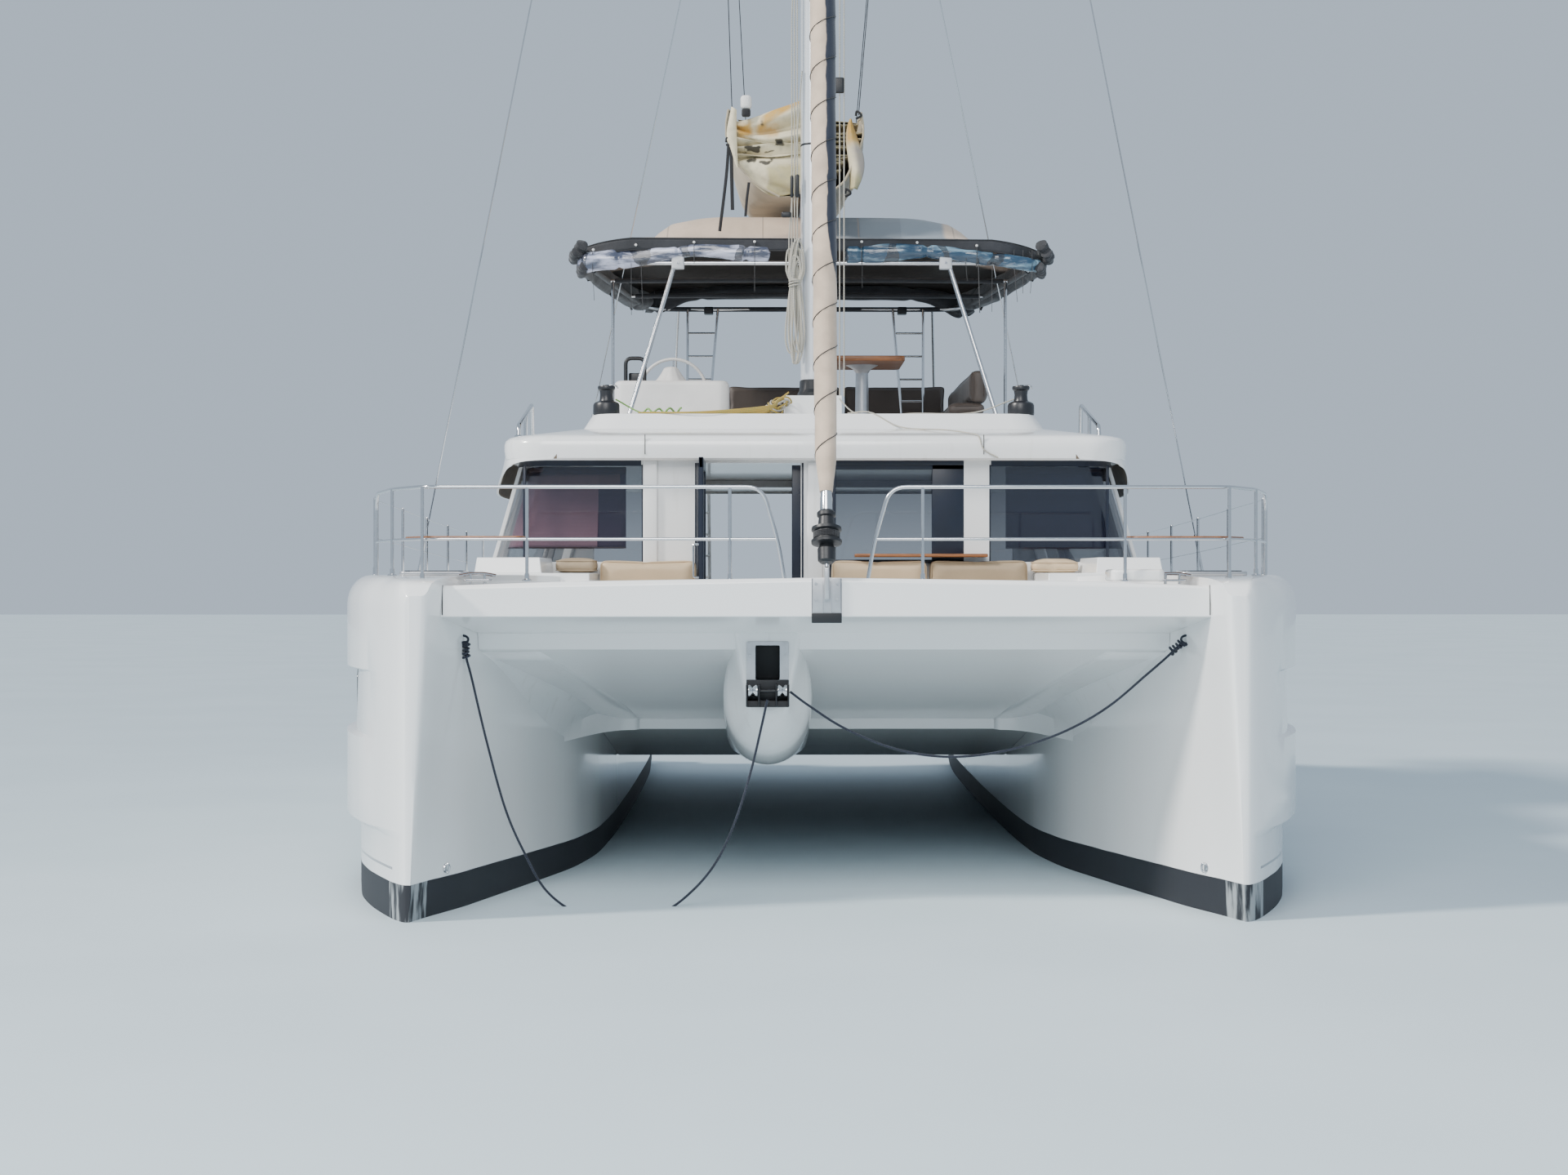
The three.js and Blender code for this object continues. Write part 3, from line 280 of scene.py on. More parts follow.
class Form:
    """The grids of points that make up one piece, each rows by columns by three coordinates. What is added is
    mirrored to the form's side."""

    def __init__(self, side=PORT):
        self.points, self.quads, self.maps, self.finish, self.count, self.side = [], [], [], [], 0, side

    def both(self):
        """Goes through the two sides: what is added while one is out goes to that side."""
        for self.side in SIDES:
            yield self.side

    def grid(self, points, around=False, ends=False, finish=0):
        """Adds a grid. around joins its last column to its first, and ends fills its first and last row."""
        p = np.asarray(points, float) * (self.side, 1, 1)
        if ends:
            p = np.array([shut(p[0]), *p, shut(p[-1])])
        if around:
            p = np.concatenate([p, p[:, :1]], 1)
        rows, columns = p.shape[:2]
        index = self.count + np.arange(rows * columns).reshape(rows, columns)
        quads = np.stack([index[:-1, :-1], index[:-1, 1:], index[1:, 1:], index[1:, :-1]], -1).reshape(-1, 4)
        across = np.linalg.norm(np.diff(p, axis=1), axis=2).max(0)
        down = np.linalg.norm(np.diff(p, axis=0), axis=2).max(1)
        u, v = (np.concatenate([[0], np.cumsum(steps)]) for steps in (across, down))
        self.points.append(p.reshape(-1, 3))
        self.quads.append(quads)
        self.maps.append(np.stack(np.meshgrid(u, v), -1).reshape(-1, 2))
        self.finish.append(np.full(len(quads), finish))
        self.count += rows * columns
        return self

    def pipe(self, path, radius, sides=10, closed=False, finish=0, flat=1.0):
        return self.grid(tube(path, radius, sides, closed, flat), True, not closed, finish)

    def solid(self, low, high, edge=0.01, corner=None, finish=0, facets=4):
        return self.grid(block(low, high, edge, corner, facets), True, True, finish)

    def turned(self, profile, centre, axis="z", sides=28, finish=0):
        return self.grid(lathe(profile, centre, axis, sides), True, True, finish)

    def build(self, name, *finishes, body="boat", slot="gelcoat", replaces=(), sharp=35):
        """Makes the mesh: doubles merged, faces turned outwards, smooth but for sharp edges."""
        quads = np.concatenate(self.quads)
        mesh = bpy.data.meshes.new(name)
        mesh.from_pydata(np.concatenate(self.points), [], quads)
        mesh.uv_layers.new(name="UVMap").data.foreach_set("uv", np.concatenate(self.maps)[quads.ravel()].ravel())
        mesh.polygons.foreach_set("material_index", np.concatenate(self.finish).astype(np.int32))
        tidied(mesh, finishes, sharp, 2e-5)
        return seat(bpy.data.objects.new(name, mesh), body, replaces)


def tidied(mesh, finishes, sharp, weld, flatten=False):
    """Merges doubles, joins flat faces or else turns all outwards, then shades smooth but for sharp edges."""
    tidy = bmesh.new()
    tidy.from_mesh(mesh)
    bmesh.ops.remove_doubles(tidy, verts=tidy.verts, dist=weld)
    if flatten:
        bmesh.ops.dissolve_limit(tidy, angle_limit=math.radians(1), verts=tidy.verts, edges=tidy.edges)
    else:
        bmesh.ops.recalc_face_normals(tidy, faces=tidy.faces)
    tidy.to_mesh(mesh)
    tidy.free()
    for finish in finishes:
        mesh.materials.append(finish)
    mesh.shade_smooth()
    mesh.set_sharp_from_angle(angle=math.radians(sharp))


def seat(obj, body, replaces=()):
    """Puts a finished object on its body, if it has one and the nodes that it stands for."""
    if obj.name not in bpy.context.scene.collection.objects:
        bpy.context.scene.collection.objects.link(obj)
    if body:
        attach(obj, body)
    if replaces:
        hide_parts(*([replaces] if isinstance(replaces, str) else replaces))
    return obj


def thicken(obj, thickness, offset=0.0):
    """Gives a sheet its wall."""
    solidify = obj.modifiers.new("Wall", "SOLIDIFY")
    solidify.thickness, solidify.offset = thickness, offset
    return obj


def softened(obj):
    """One subdivision."""
    smooth = obj.modifiers.new("Soft", "SUBSURF")
    smooth.levels = smooth.render_levels = 1
    return obj


def rounded_node(node, *finishes, edge=0.012, segments=2, body="boat", slot="gelcoat"):
    """The node's own solid with its corners merged, its flat faces joined and its edges rounded."""
    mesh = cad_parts[node].data.copy()
    for name in [a.name for a in mesh.attributes if a.name.startswith("custom_normal")]:
        mesh.attributes.remove(mesh.attributes[name])
    mesh.materials.clear()
    tidied(mesh, finishes, ROUNDED_ANGLE, 1e-5, flatten=True)
    obj = bpy.data.objects.new(node + "_faired", mesh)
    bevel = obj.modifiers.new("Rounded edges", "BEVEL")
    bevel.width, bevel.segments, bevel.limit_method = edge, segments, "ANGLE"
    bevel.angle_limit = math.radians(ROUNDED_ANGLE)
    bevel.harden_normals = False
    return seat(obj, body, node)


# Finishes: sums of shader sockets


class Value:
    """A shader socket that takes part in sums. Each sum adds a Math node."""

    def __init__(self, finish, socket):
        self.finish, self.socket = finish, socket

    def math(self, operation, *values):
        return self.finish.node("Math", {"operation": operation}, self, *values)

    __add__ = __radd__ = functools.partialmethod(math, "ADD")
    __sub__ = functools.partialmethod(math, "SUBTRACT")
    __mul__ = __rmul__ = functools.partialmethod(math, "MULTIPLY")
    above = functools.partialmethod(math, "GREATER_THAN")
    below = functools.partialmethod(math, "LESS_THAN")
    size = functools.partialmethod(math, "ABSOLUTE")
    wave = functools.partialmethod(math, "SINE")
    part = functools.partialmethod(math, "FRACT")

    def __rsub__(self, other):
        return self.finish.node("Math", {"operation": "SUBTRACT"}, other, self)

    def ramp(self, low, high):
        """0 at low, 1 at high, with a smooth turn at both."""
        return self.finish.node("MapRange", {"interpolation_type": "SMOOTHSTEP"}, self, low, high, 0.0, 1.0)


class Finish:
    """A material whose nodes are added one at a time."""

    def __init__(self, name, base, roughness=0.5, **fixed):
        self.material = bpy.data.materials.new(name)
        self.material.use_nodes = True
        self.tree = self.material.node_tree
        self.shader = self.tree.nodes["Principled BSDF"]
        self.set("Base Color", base)
        self.set("Roughness", roughness)
        for key, value in fixed.items():
            self.set(key.replace("_", " ").title().replace("Ior", "IOR"), value)

    def feed(self, socket, value):
        if isinstance(value, Value):
            self.tree.links.new(value.socket, socket)
        elif socket.type == "RGBA":
            socket.default_value = (*value[:3], 1)
        else:
            socket.default_value = value

    def set(self, name, value):
        self.feed(self.shader.inputs[name], value)

    def node(self, kind, settings, *values, output=0, **named):
        """Any node: its type, its settings, then the values or links of its sockets."""
        node = self.tree.nodes.new("ShaderNode" + kind)
        for key, value in settings.items():
            setattr(node, key, value)
        for socket, value in zip(node.inputs, values):
            self.feed(socket, value)
        for key, value in named.items():
            self.feed(node.inputs[key], value)
        return Value(self, node.outputs[output])

    def axes(self, kind="Object"):
        """The three coordinates of the piece's own space or map."""
        return self.parts(self.place(kind))

    def place(self, kind="Object"):
        return self.node("TexCoord", {}, output=["Generated", "Normal", "UV", "Object"].index(kind))

    def parts(self, vector):
        outputs = self.node("SeparateXYZ", {}, vector).socket.node.outputs
        return [Value(self, outputs[i]) for i in range(3)]

    def noise(self, scale, detail=3.0, stretch=(1, 1, 1)):
        stretched = self.node("Mapping", {}, self.place(), Scale=stretch)
        return self.node("TexNoise", {}, Vector=stretched, Scale=scale, Detail=detail)

    def mix(self, factor, first, second):
        """Colour mix."""
        node = self.tree.nodes.new("ShaderNodeMix")
        node.data_type = "RGBA"
        for index, value in ((0, factor), (6, first), (7, second)):
            self.feed(node.inputs[index], value)
        return Value(self, node.outputs[2])

    def patchy(self, cloud, base, factor, high=0.75):
        """A colour that goes over to a shade of itself where the cloud is dense."""
        return self.mix(cloud.ramp(0.3, high), base, shade(base, factor))

    def bump(self, height, distance, strength=1.0):
        self.set("Normal", self.node("Bump", {}, strength, distance, Height=height))
        return self

    def weave(self, threads=700.0, depth=0.0004):
        """Plain weave: the product of two sines on the piece's own map."""
        u, v, _ = self.axes("UV")
        height = (u * threads).wave() * (v * threads).wave()
        return self.bump(height * 0.35 + self.noise(9.0, 4.0) * 8.0, depth)


def shade(base, factor):
    return tuple(min(1.0, c * factor) for c in base)


def stock(maker, *values, **fixed):
    """A finish that is made when a piece first asks for it, and then kept."""
    return functools.cache(functools.partial(maker, *values, **fixed))


# Finishes that share a pattern


def grained(name, base, darker, scale, roughness, detail=4.0, **fixed):
    """A finish whose colour and roughness wander a little."""
    base = tint(base)
    f = Finish(name, base, roughness, **fixed)
    cloud = f.noise(scale, detail)
    f.set("Base Color", f.patchy(cloud, base, darker))
    f.set("Roughness", cloud * 0.12 + (roughness - 0.06))
    return f


def plain(name, base, roughness, depth=0.0006, scale=220.0, darker=0.78, patches=6.0, detail=2.0, strength=0.5,
          **fixed):
    f = grained(name, base, darker, patches, roughness, **fixed)
    return f.bump(f.noise(scale, detail), depth, strength).material


def canvas(name, base, threads=900.0, fade=0.8, depth=0.0006, roughness=0.88):
    """Woven cloth with faded patches and soft creases."""
    base = tint(base)
    f = Finish(name, base, roughness, sheen_weight=0.25, sheen_roughness=0.5)
    cloud = f.noise(3.2, 5.0)
    stain = f.noise(1.1, 3.0, (1, 1, 0.4)).ramp(0.5, 0.8) * 0.5
    f.set("Base Color", f.mix(stain, f.patchy(cloud, base, fade), shade(base, 0.62)))
    return f.weave(threads, depth).material


def vinyl(name, base, grain=420.0, darker=1.0):
    base = shade(tint(base), darker)
    f = Finish(name, base, 0.5, sheen_weight=0.1)
    cloud = f.noise(2.5, 4.0)
    f.set("Base Color", f.patchy(cloud, base, 0.82, 0.8))
    f.set("Roughness", cloud * 0.15 + 0.42)
    cells = f.node("TexVoronoi", {"feature": "F1"}, f.place(), Scale=grain)
    return f.bump(cells + f.noise(6.0) * 6.0, 0.0012, 0.5).material


def braided(name, base, fleck):
    """Rope: two sets of strands that cross, from the piece's own map."""
    f = Finish(name, base, 0.8, sheen_weight=0.2)
    u, v, _ = f.axes("UV")
    one = (v * 540.0 + u * 220.0).wave()
    two = (v * 540.0 - u * 220.0).wave()
    strands = one.math("MAXIMUM", two)
    flecks = (v * 41.0).part().below(0.16) * one.above(0.5)
    f.set("Base Color", f.mix(flecks, f.mix(strands.ramp(0.2, 0.95), shade(base, 0.45), base), fleck))
    return f.bump(strands, 0.0016, 0.8).material


black_plastic = stock(plain, "Black plastic", (0.012, 0.013, 0.016), 0.42)
frame_black = stock(plain, "Window frame", (0.006, 0.011, 0.026), 0.3, 0.0002)
rubber = stock(plain, "Rubber", (0.02, 0.02, 0.022), 0.7, 0.001, 90.0)
bronze = stock(plain, "Bronze", (0.42, 0.26, 0.09), 0.35, 0.0006, 60.0, metallic=1.0)
engine_enamel = stock(plain, "Engine enamel", (0.14, 0.155, 0.17), 0.5, 0.001, 60.0)
hatch_glass = stock(plain, "Smoked acrylic", (0.012, 0.014, 0.02), 0.12, 0.0001, coat_weight=1.0)
bottom_paint = stock(plain, "Bottom paint", "bottom", 0.7, 0.002, 40.0, 2.2, 5.0, 4.0, 0.4)
khaki_canvas = stock(canvas, "Khaki canvas", "khaki", 700.0, 0.72, 0.0012)
black_canvas = stock(canvas, "Black canvas", "black", 900.0, 1.9, 0.0012, 0.75)
webbing = stock(canvas, "Black webbing", (0.012, 0.012, 0.014), 1600.0, 1.5)
beige_vinyl = stock(vinyl, "Beige vinyl", "beige")
# Painted shade: a darker copy of the beige vinyl, for the cushions that sit in shade.
shaded_beige_vinyl = stock(vinyl, "Tan vinyl", "beige", darker=0.62)
taupe_vinyl = stock(vinyl, "Taupe vinyl", "taupe")
white_vinyl = stock(vinyl, "White cover vinyl", (0.78, 0.77, 0.75), 300.0)
bridle_rope = stock(braided, "Navy rope", (0.018, 0.024, 0.045), (0.05, 0.06, 0.1))
white_rope = stock(braided, "White rope", (0.62, 0.58, 0.48), (0.25, 0.3, 0.42))
yellow_rope = stock(braided, "Yellow rope", (0.62, 0.42, 0.08), (0.1, 0.35, 0.12))
green_rope = stock(braided, "Green rope", (0.25, 0.55, 0.1), (0.7, 0.7, 0.5))
dark_rope = stock(braided, "Black rope", (0.02, 0.02, 0.024), (0.08, 0.08, 0.09))


# Finishes of their own


@functools.cache
def gelcoat():
    base = tint("gelcoat")
    f = Finish("Gelcoat", base, 0.2, coat_weight=0.5, coat_roughness=0.06)
    cloud = f.noise(1.3, 4.0, (1, 1, 0.35))
    grime = f.noise(7.0, 5.0, (2.2, 2.2, 0.25)).ramp(0.56, 0.8) * 0.35
    tone = f.mix(cloud.ramp(0.25, 0.8), base, shade(base, 0.955))
    f.set("Base Color", f.mix(grime, tone, (0.62, 0.61, 0.56)))
    f.set("Roughness", cloud * 0.1 + 0.15)
    return f.bump(f.noise(2.2, 2.0), 0.004, 0.35).material


@functools.cache
def deck():
    """Gelcoat with moulded grip on its level faces."""
    base = tint("gelcoat")
    f = Finish("Deck", base, 0.35, coat_weight=0.15)
    level = f.parts(f.node("NewGeometry", {}, output=1))[2].ramp(0.9, 0.97)
    x, y, _ = f.axes()
    grip = ((x + y) * 210.0).wave() * ((x - y) * 210.0).wave()
    f.set("Base Color", f.mix(level * f.noise(2.0, 5.0).ramp(0.3, 0.8), base, shade(base, 0.86)))
    f.set("Roughness", level * 0.3 + 0.22)
    return f.bump(grip * level, 0.0012, 0.7).material


@functools.cache
def hull_paint():
    """Gelcoat topsides, a thin grey boot line outside, black bottom paint, and paler streaks on the bottom paint at the
    stems, partly stain and partly painted sun glint.
    """
    base, bottom = tint("gelcoat"), tint("bottom")
    f = Finish("Hull paint", base, 0.16, coat_weight=0.6, coat_roughness=0.05)
    x, y, z = f.axes()
    edge = z - f.noise(3.0, 4.0) * 0.008
    top = sizes().antifouling_top + (y * -1.0 - 2.0).ramp(0.0, 4.8) * 0.035
    painted = (top - edge).ramp(-0.002, 0.002)
    rise = (y * -1.0 - 3.0).ramp(0.0, 3.6) * 0.05
    line = (z - rise - 0.298).size().below(0.009) * x.size().above(2.84) * y.above(-6.62)
    streaks = f.noise(16.0, 6.0, (1.0, 1.0, 0.18))
    # Paler grey-teal streaks at the stems: partly stain, partly painted sun glint on the black paint.
    stem_stain_and_glint = y.below(-6.55) * streaks.ramp(0.42, 0.6)
    cloud = f.noise(1.1, 4.0, (1, 1, 0.3))
    tone = f.mix(line, f.patchy(cloud, base, 0.96, 0.8), (0.26, 0.27, 0.29))
    f.set("Base Color", f.mix(painted, tone, f.mix(stem_stain_and_glint * 0.7, bottom, (0.42, 0.46, 0.48))))
    f.set("Roughness", painted * 0.5 + cloud * 0.08 + 0.12)
    f.set("Coat Weight", (1.0 - painted) * 0.6)
    return f.bump(f.noise(1.6, 2.0) + painted * streaks * 0.2, 0.006, 0.3).material


@functools.cache
def stainless():
    f = Finish("Stainless", (0.62, 0.63, 0.65), 0.16, metallic=1.0)
    f.set("Roughness", f.noise(14.0) * 0.16 + 0.08)
    return f.material


@functools.cache
def aluminium():
    f = grained("Satin aluminium", (0.60, 0.61, 0.63), 0.86, 9.0, 0.36, metallic=0.9)
    return f.bump(f.noise(180.0, 2.0, (1, 1, 0.05)), 0.0004, 0.4).material


@functools.cache
def spar_paint():
    f = Finish("Spar paint", (0.74, 0.76, 0.78), 0.3, metallic=0.35, coat_weight=0.3)
    cloud = f.noise(5.0, 4.0, (1, 1, 0.08))
    f.set("Base Color", f.mix(cloud.ramp(0.35, 0.75), (0.8, 0.82, 0.84), (0.6, 0.62, 0.65)))
    f.set("Roughness", cloud * 0.2 + 0.2)
    return f.bump(cloud, 0.001, 0.3).material


@functools.cache
def window_glass():
    """Clearer low down and to starboard."""
    f = Finish("Tinted glass", (0.012, 0.016, 0.03), 0.03, coat_weight=1.0, coat_roughness=0.02, alpha=0.42)
    x, _, z = f.axes()
    f.set("Alpha", (z - SILL).ramp(0.0, 0.8) * 0.2 + x.above(1.2) * 0.2 + 0.36)
    return f.material


@functools.cache
def dark_glass():
    f = Finish("Dark glass", (0.004, 0.005, 0.009), 0.04, coat_weight=1.0, coat_roughness=0.02)
    f.set("Roughness", f.noise(3.0) * 0.05 + 0.02)
    return f.material


@functools.cache
def blind_cloth():
    """Pleats, with a dark far end and a lit band at the top of the starboard blind, and a dark port blind."""
    base = tint("blind")
    f = Finish("Window blind", base, 0.75, sheen_weight=0.3)
    x, _, z = f.axes()
    cloud = f.noise(1.6)
    band = (z + cloud * 0.02).above(3.13) * x.below(-1.66)
    tone = f.mix(f.noise(5.0).ramp(0.3, 0.8) * 0.5, shade(base, 1.5), shade(base, 1.15))
    tone = f.mix((x + cloud * 0.04).above(-1.83) * 0.92, tone, (0.05, 0.025, 0.09))
    tone = f.mix(band * 0.85, tone, (0.6, 0.34, 0.27))
    f.set("Base Color", f.mix(x.above(0.0) * 0.92, tone, (0.07, 0.035, 0.12)))
    return f.bump((z * 190.0).wave(), 0.002, 0.15).material


@functools.cache
def lining():
    f = Finish("Bimini lining", (0.3, 0.23, 0.17), 0.9)
    _, y, _ = f.axes()
    # Tan near the front edge and near-black further aft: the dark part is painted shade under the canopy.
    f.set("Base Color", f.mix((y + f.noise(4.0) * 0.5).ramp(1.1, 1.5), (0.55, 0.42, 0.34), (0.03, 0.025, 0.022)))
    return f.weave(800.0, 0.001).material


@functools.cache
def sailcloth():
    """Cream cloth. In front it has amber, olive and mauve patches, and painted shadow in the gaps between its folds."""
    base = tint("sail")
    f = Finish("Sailcloth", base, 0.6, sheen_weight=0.1)
    x, y, z = f.axes()
    wave = (f.noise(7.0, 4.0) - 0.5) * 0.16
    u, v = x + wave, z + wave + (f.noise(2.2, 2.0) - 0.5) * 0.05
    soft = 0.03

    def within(socket, low, high):
        return socket.ramp(low - soft, low + soft) * (1.0 - socket.ramp(high - soft, high + soft))

    def patches(*rows):
        """Columns: low x, high x, low z, high z, strength."""
        return sum(within(u, *row[:2]) * within(v, *row[2:4]) * row[4] for row in rows)

    slant = z - x * 0.62
    amber = (patches((-0.70, -0.56, 6.5, 6.63, 1), (-0.52, -0.3, 6.5, 6.6, 0.7)) + x.ramp(0.3, 0.36) * z.ramp(6.36, 6.5)
             + slant.ramp(6.84, 6.9) * (1.0 - slant.ramp(6.96, 6.99)) * x.ramp(-0.52, -0.42))
    olive = patches((-0.40, -0.1, 5.9, 6.24, 1)) + x.ramp(0.28, 0.34) * (1.0 - z.ramp(6.08, 6.2))
    mauve = (x + z * 0.3).ramp(2.26, 2.34) * (1.0 - z.ramp(6.36, 6.46)) * z.ramp(6.06, 6.14)
    # Painted shadow in the gaps between the folds, broken up by noise.
    fold_shadows = patches((-0.64, -0.46, 6.37, 6.43, 1), (-0.44, -0.34, 6.36, 6.39, 1), (-0.34, -0.24, 6.41, 6.49, 1),
                   (-0.62, -0.52, 6.24, 6.3, 1), (-0.5, -0.36, 6.25, 6.295, 1), (-0.49, -0.42, 6.58, 6.67, 0.7))
    front = y.below(-0.56)
    tone = base
    for share, colour_there in ((amber.math("MINIMUM", 1.0) * 0.95, (0.56, 0.31, 0.04)),
                                (olive * 0.75, (0.44, 0.38, 0.17)), (mauve * 0.8, (0.33, 0.28, 0.27))):
        tone = f.mix(share * front, tone, colour_there)
    tone = f.mix(f.noise(11.0, 4.0).ramp(0.45, 0.8) * 0.6, tone, shade(base, 0.55))
    painted_fold_shadow = (fold_shadows * (f.noise(9.0, 4.0, (0.6, 1.0, 2.2)) + 0.35)).ramp(0.42, 0.72)
    f.set("Base Color", f.mix(painted_fold_shadow * front * 0.95, tone, (0.03, 0.026, 0.02)))
    return f.weave(500.0, 0.0015).material


@functools.cache
def curtain_film():
    """Rolled clear curtain: a blue film with soft folds. The light streaks along the folds are painted highlights, and
    the colours are darker on the port side as painted shade.
    """
    f = Finish("Clear curtain film", (0.2, 0.26, 0.36), 0.2, coat_weight=1.0, coat_roughness=0.08)
    x, _, z = f.axes()
    # Painted shade: the port roll's colours are darker.
    port = x.above(0.0)
    ripple = f.noise(7.0, 4.0, (0.5, 1.0, 2.6))
    painted_highlight = f.mix(port, (0.50, 0.52, 0.66), (0.20, 0.33, 0.42))
    dim = f.mix(port, (0.05, 0.06, 0.10), (0.010, 0.05, 0.10))
    # Painted highlights: the light colour along the ripples.
    tone = f.mix((ripple + port * -0.06).ramp(0.4, 0.62), dim, painted_highlight)
    f.set("Base Color", f.mix((x * 2.1 + f.noise(3.0)).part().below(0.22) * 0.8, tone, (0.01, 0.012, 0.018)))
    f.set("Roughness", ripple * 0.2 + 0.08)
    return f.bump(ripple, 0.05, 0.6).material


@functools.cache
def wood():
    """Boards along X with a running grain."""
    base = tint("wood")
    f = Finish("Oiled wood", base, 0.42, coat_weight=0.25, coat_roughness=0.2)
    grain = f.noise(9.0, 6.0, (0.6, 9.0, 9.0))
    fine = f.noise(60.0, 4.0, (0.5, 6.0, 6.0))
    tone = f.patchy(grain, base, 0.45, 0.7)
    f.set("Base Color", f.mix(fine.ramp(0.5, 0.8) * 0.5, tone, shade(base, 1.7)))
    f.set("Roughness", grain * 0.25 + 0.3)
    return f.bump(fine, 0.0008, 0.5).material


@functools.cache
def cabin_sole():
    f = Finish("Cabin sole", (0.17, 0.11, 0.07), 0.45)
    x, _, _ = f.axes()
    board = (x * 8.0).part().below(0.03)
    grain = f.noise(8.0, 5.0, (8.0, 0.6, 8.0))
    tone = f.mix(grain.ramp(0.3, 0.7), (0.2, 0.13, 0.085), (0.11, 0.07, 0.045))
    f.set("Base Color", f.mix(board, tone, (0.02, 0.015, 0.01)))
    return f.bump(grain - board, 0.001, 0.4).material


@functools.cache
def genoa_cloth():
    """Tan canvas with a navy strip along one side, which narrows towards the foot: partly the sail's UV strip and
    partly painted shade on that side.
    """
    base = tint("tan")
    f = Finish("Genoa cloth", base, 0.82, sheen_weight=0.25)
    x, _, z = f.axes()
    edge = 0.06 - z.ramp(4.2, 5.0) * 0.09 + f.noise(5.0) * 0.05
    cloud = f.noise(5.0, 5.0)
    # The navy on the port side is partly the UV strip and partly painted shade.
    f.set("Base Color", f.mix((x - edge).ramp(0.02, 0.03), f.patchy(cloud, base, 0.72), (0.012, 0.018, 0.035)))
    return f.bump(cloud, 0.006, 0.5).material


@functools.cache
def bimini_cloth():
    """Tan cloth with a grey-blue panel of painted shade on the port front, lighter in steps towards port, and seams
    between the panels.
    """
    tan, slate = tint("tan"), tint("slate")
    f = Finish("Bimini top cloth", tan, 0.88, sheen_weight=0.25)
    x, y, _ = f.axes()
    # Painted shade on the port front of the top, in steps that grow lighter towards port.
    panel = x.ramp(0.22, 0.26) * (1.0 - x.ramp(1.24, 1.3)) * (1.0 - y.ramp(0.9, 1.0))
    step = x.above(0.47) * 0.35 + x.above(0.86) * 0.35
    tone = f.mix(panel, f.patchy(f.noise(3.2, 5.0), tan, 0.8), f.mix(step, shade(slate, 0.8), shade(slate, 1.5)))
    seam = ((x * 1.1 + 0.5).part() - 0.5).size().above(0.492)
    f.set("Base Color", f.mix(seam * 0.6, tone, shade(tan, 0.4)))
    return f.weave(900.0, 0.0008).material


@functools.cache
def floor_finish():
    f = Finish("Studio floor", (0.6, 0.68, 0.72), 0.6)
    f.set("Base Color", f.mix(f.noise(0.4).ramp(0.3, 0.7), (0.55, 0.65, 0.70), (0.58, 0.68, 0.73)))
    return f.material


# Camera, light and floor


class SetStage(bpy.types.Operator):
    """Camera at the photograph's place, soft light and a plain floor at the waterline"""
    bl_idname = "catamaran.stage"
    bl_label = "Stage"

    def execute(self, context):
        camera = bpy.data.objects.new("Camera", bpy.data.cameras.new("Camera"))
        camera.data.lens, camera.data.sensor_width, camera.data.clip_end = 53.9, 36.0, 400.0
        camera.location = (-0.41, -22.8, 2.365)
        camera.rotation_euler = (math.radians(90 - 0.29), 0, math.radians(-0.4))
        context.scene.collection.objects.link(camera)
        context.scene.camera = camera
        key = bpy.data.lights.new("Key", "SUN")
        key.energy, key.angle, key.color = 3.7, math.radians(7), (1.0, 0.96, 0.90)
        fill = bpy.data.lights.new("Fill", "AREA")
        fill.energy, fill.size, fill.color = 3600.0, 12.0, (1.0, 0.98, 0.95)
        for light, place, aim in ((key, (-20, -7, 17), (0, 0, 2)), (fill, (-3, -22, 15), (0, -4, 3))):
            lamp = bpy.data.objects.new(light.name, light)
            lamp.location = place
            lamp.rotation_euler = (Vector(aim) - Vector(place)).to_track_quat("-Z", "Y").to_euler()
            context.scene.collection.objects.link(lamp)
        world = bpy.data.worlds.new("Studio")
        world.use_nodes = True
        world.node_tree.nodes["Background"].inputs["Color"].default_value = (0.70, 0.84, 1.0, 1)
        world.node_tree.nodes["Background"].inputs["Strength"].default_value = 0.72
        context.scene.world = world
        mesh = bpy.data.meshes.new("Floor")
        mesh.from_pydata([(-90, -60, 0), (90, -60, 0), (90, 120, 0), (-90, 120, 0)], [], [(0, 1, 2, 3)])
        mesh.materials.append(floor_finish())
        ground = bpy.data.objects.new("Floor", mesh)
        context.scene.collection.objects.link(ground)
        return {"FINISHED"}


# Mooring bridle: two ropes from the pad eyes to the bow roller

BRIDLE_ROUTES = {
    PORT: ((2.562, -6.045, 1.892), (2.530, -6.030, 1.862), (2.441, -6.026, 1.777), (2.308, -6.020, 1.661),
           (2.043, -6.009, 1.436), (1.776, -5.999, 1.276), (1.478, -5.989, 1.158), (1.145, -5.978, 1.082),
           (0.811, -5.968, 1.068), (0.477, -5.957, 1.129), (0.141, -5.945, 1.269), (-0.111, -5.936, 1.429),
           (-0.249, -5.930, 1.531)),
    STARBOARD: ((-2.564, -6.045, 1.8992), (-2.559, -6.040, 1.782), (-2.523, -6.039, 1.640),
                (-2.416, -6.034, 1.184), (-2.284, -6.029, 0.702), (-2.146, -6.025, 0.381),
                (-1.986, -6.022, 0.107), (-1.741, -6.019, -0.061), (-1.446, -6.016, -0.101),
                (-1.167, -6.013, -0.046), (-0.950, -6.010, 0.108), (-0.775, -6.007, 0.321),
                (-0.644, -6.004, 0.602), (-0.534, -6.000, 0.948), (-0.454, -5.994, 1.284),
                (-0.412, -5.988, 1.475)),
}


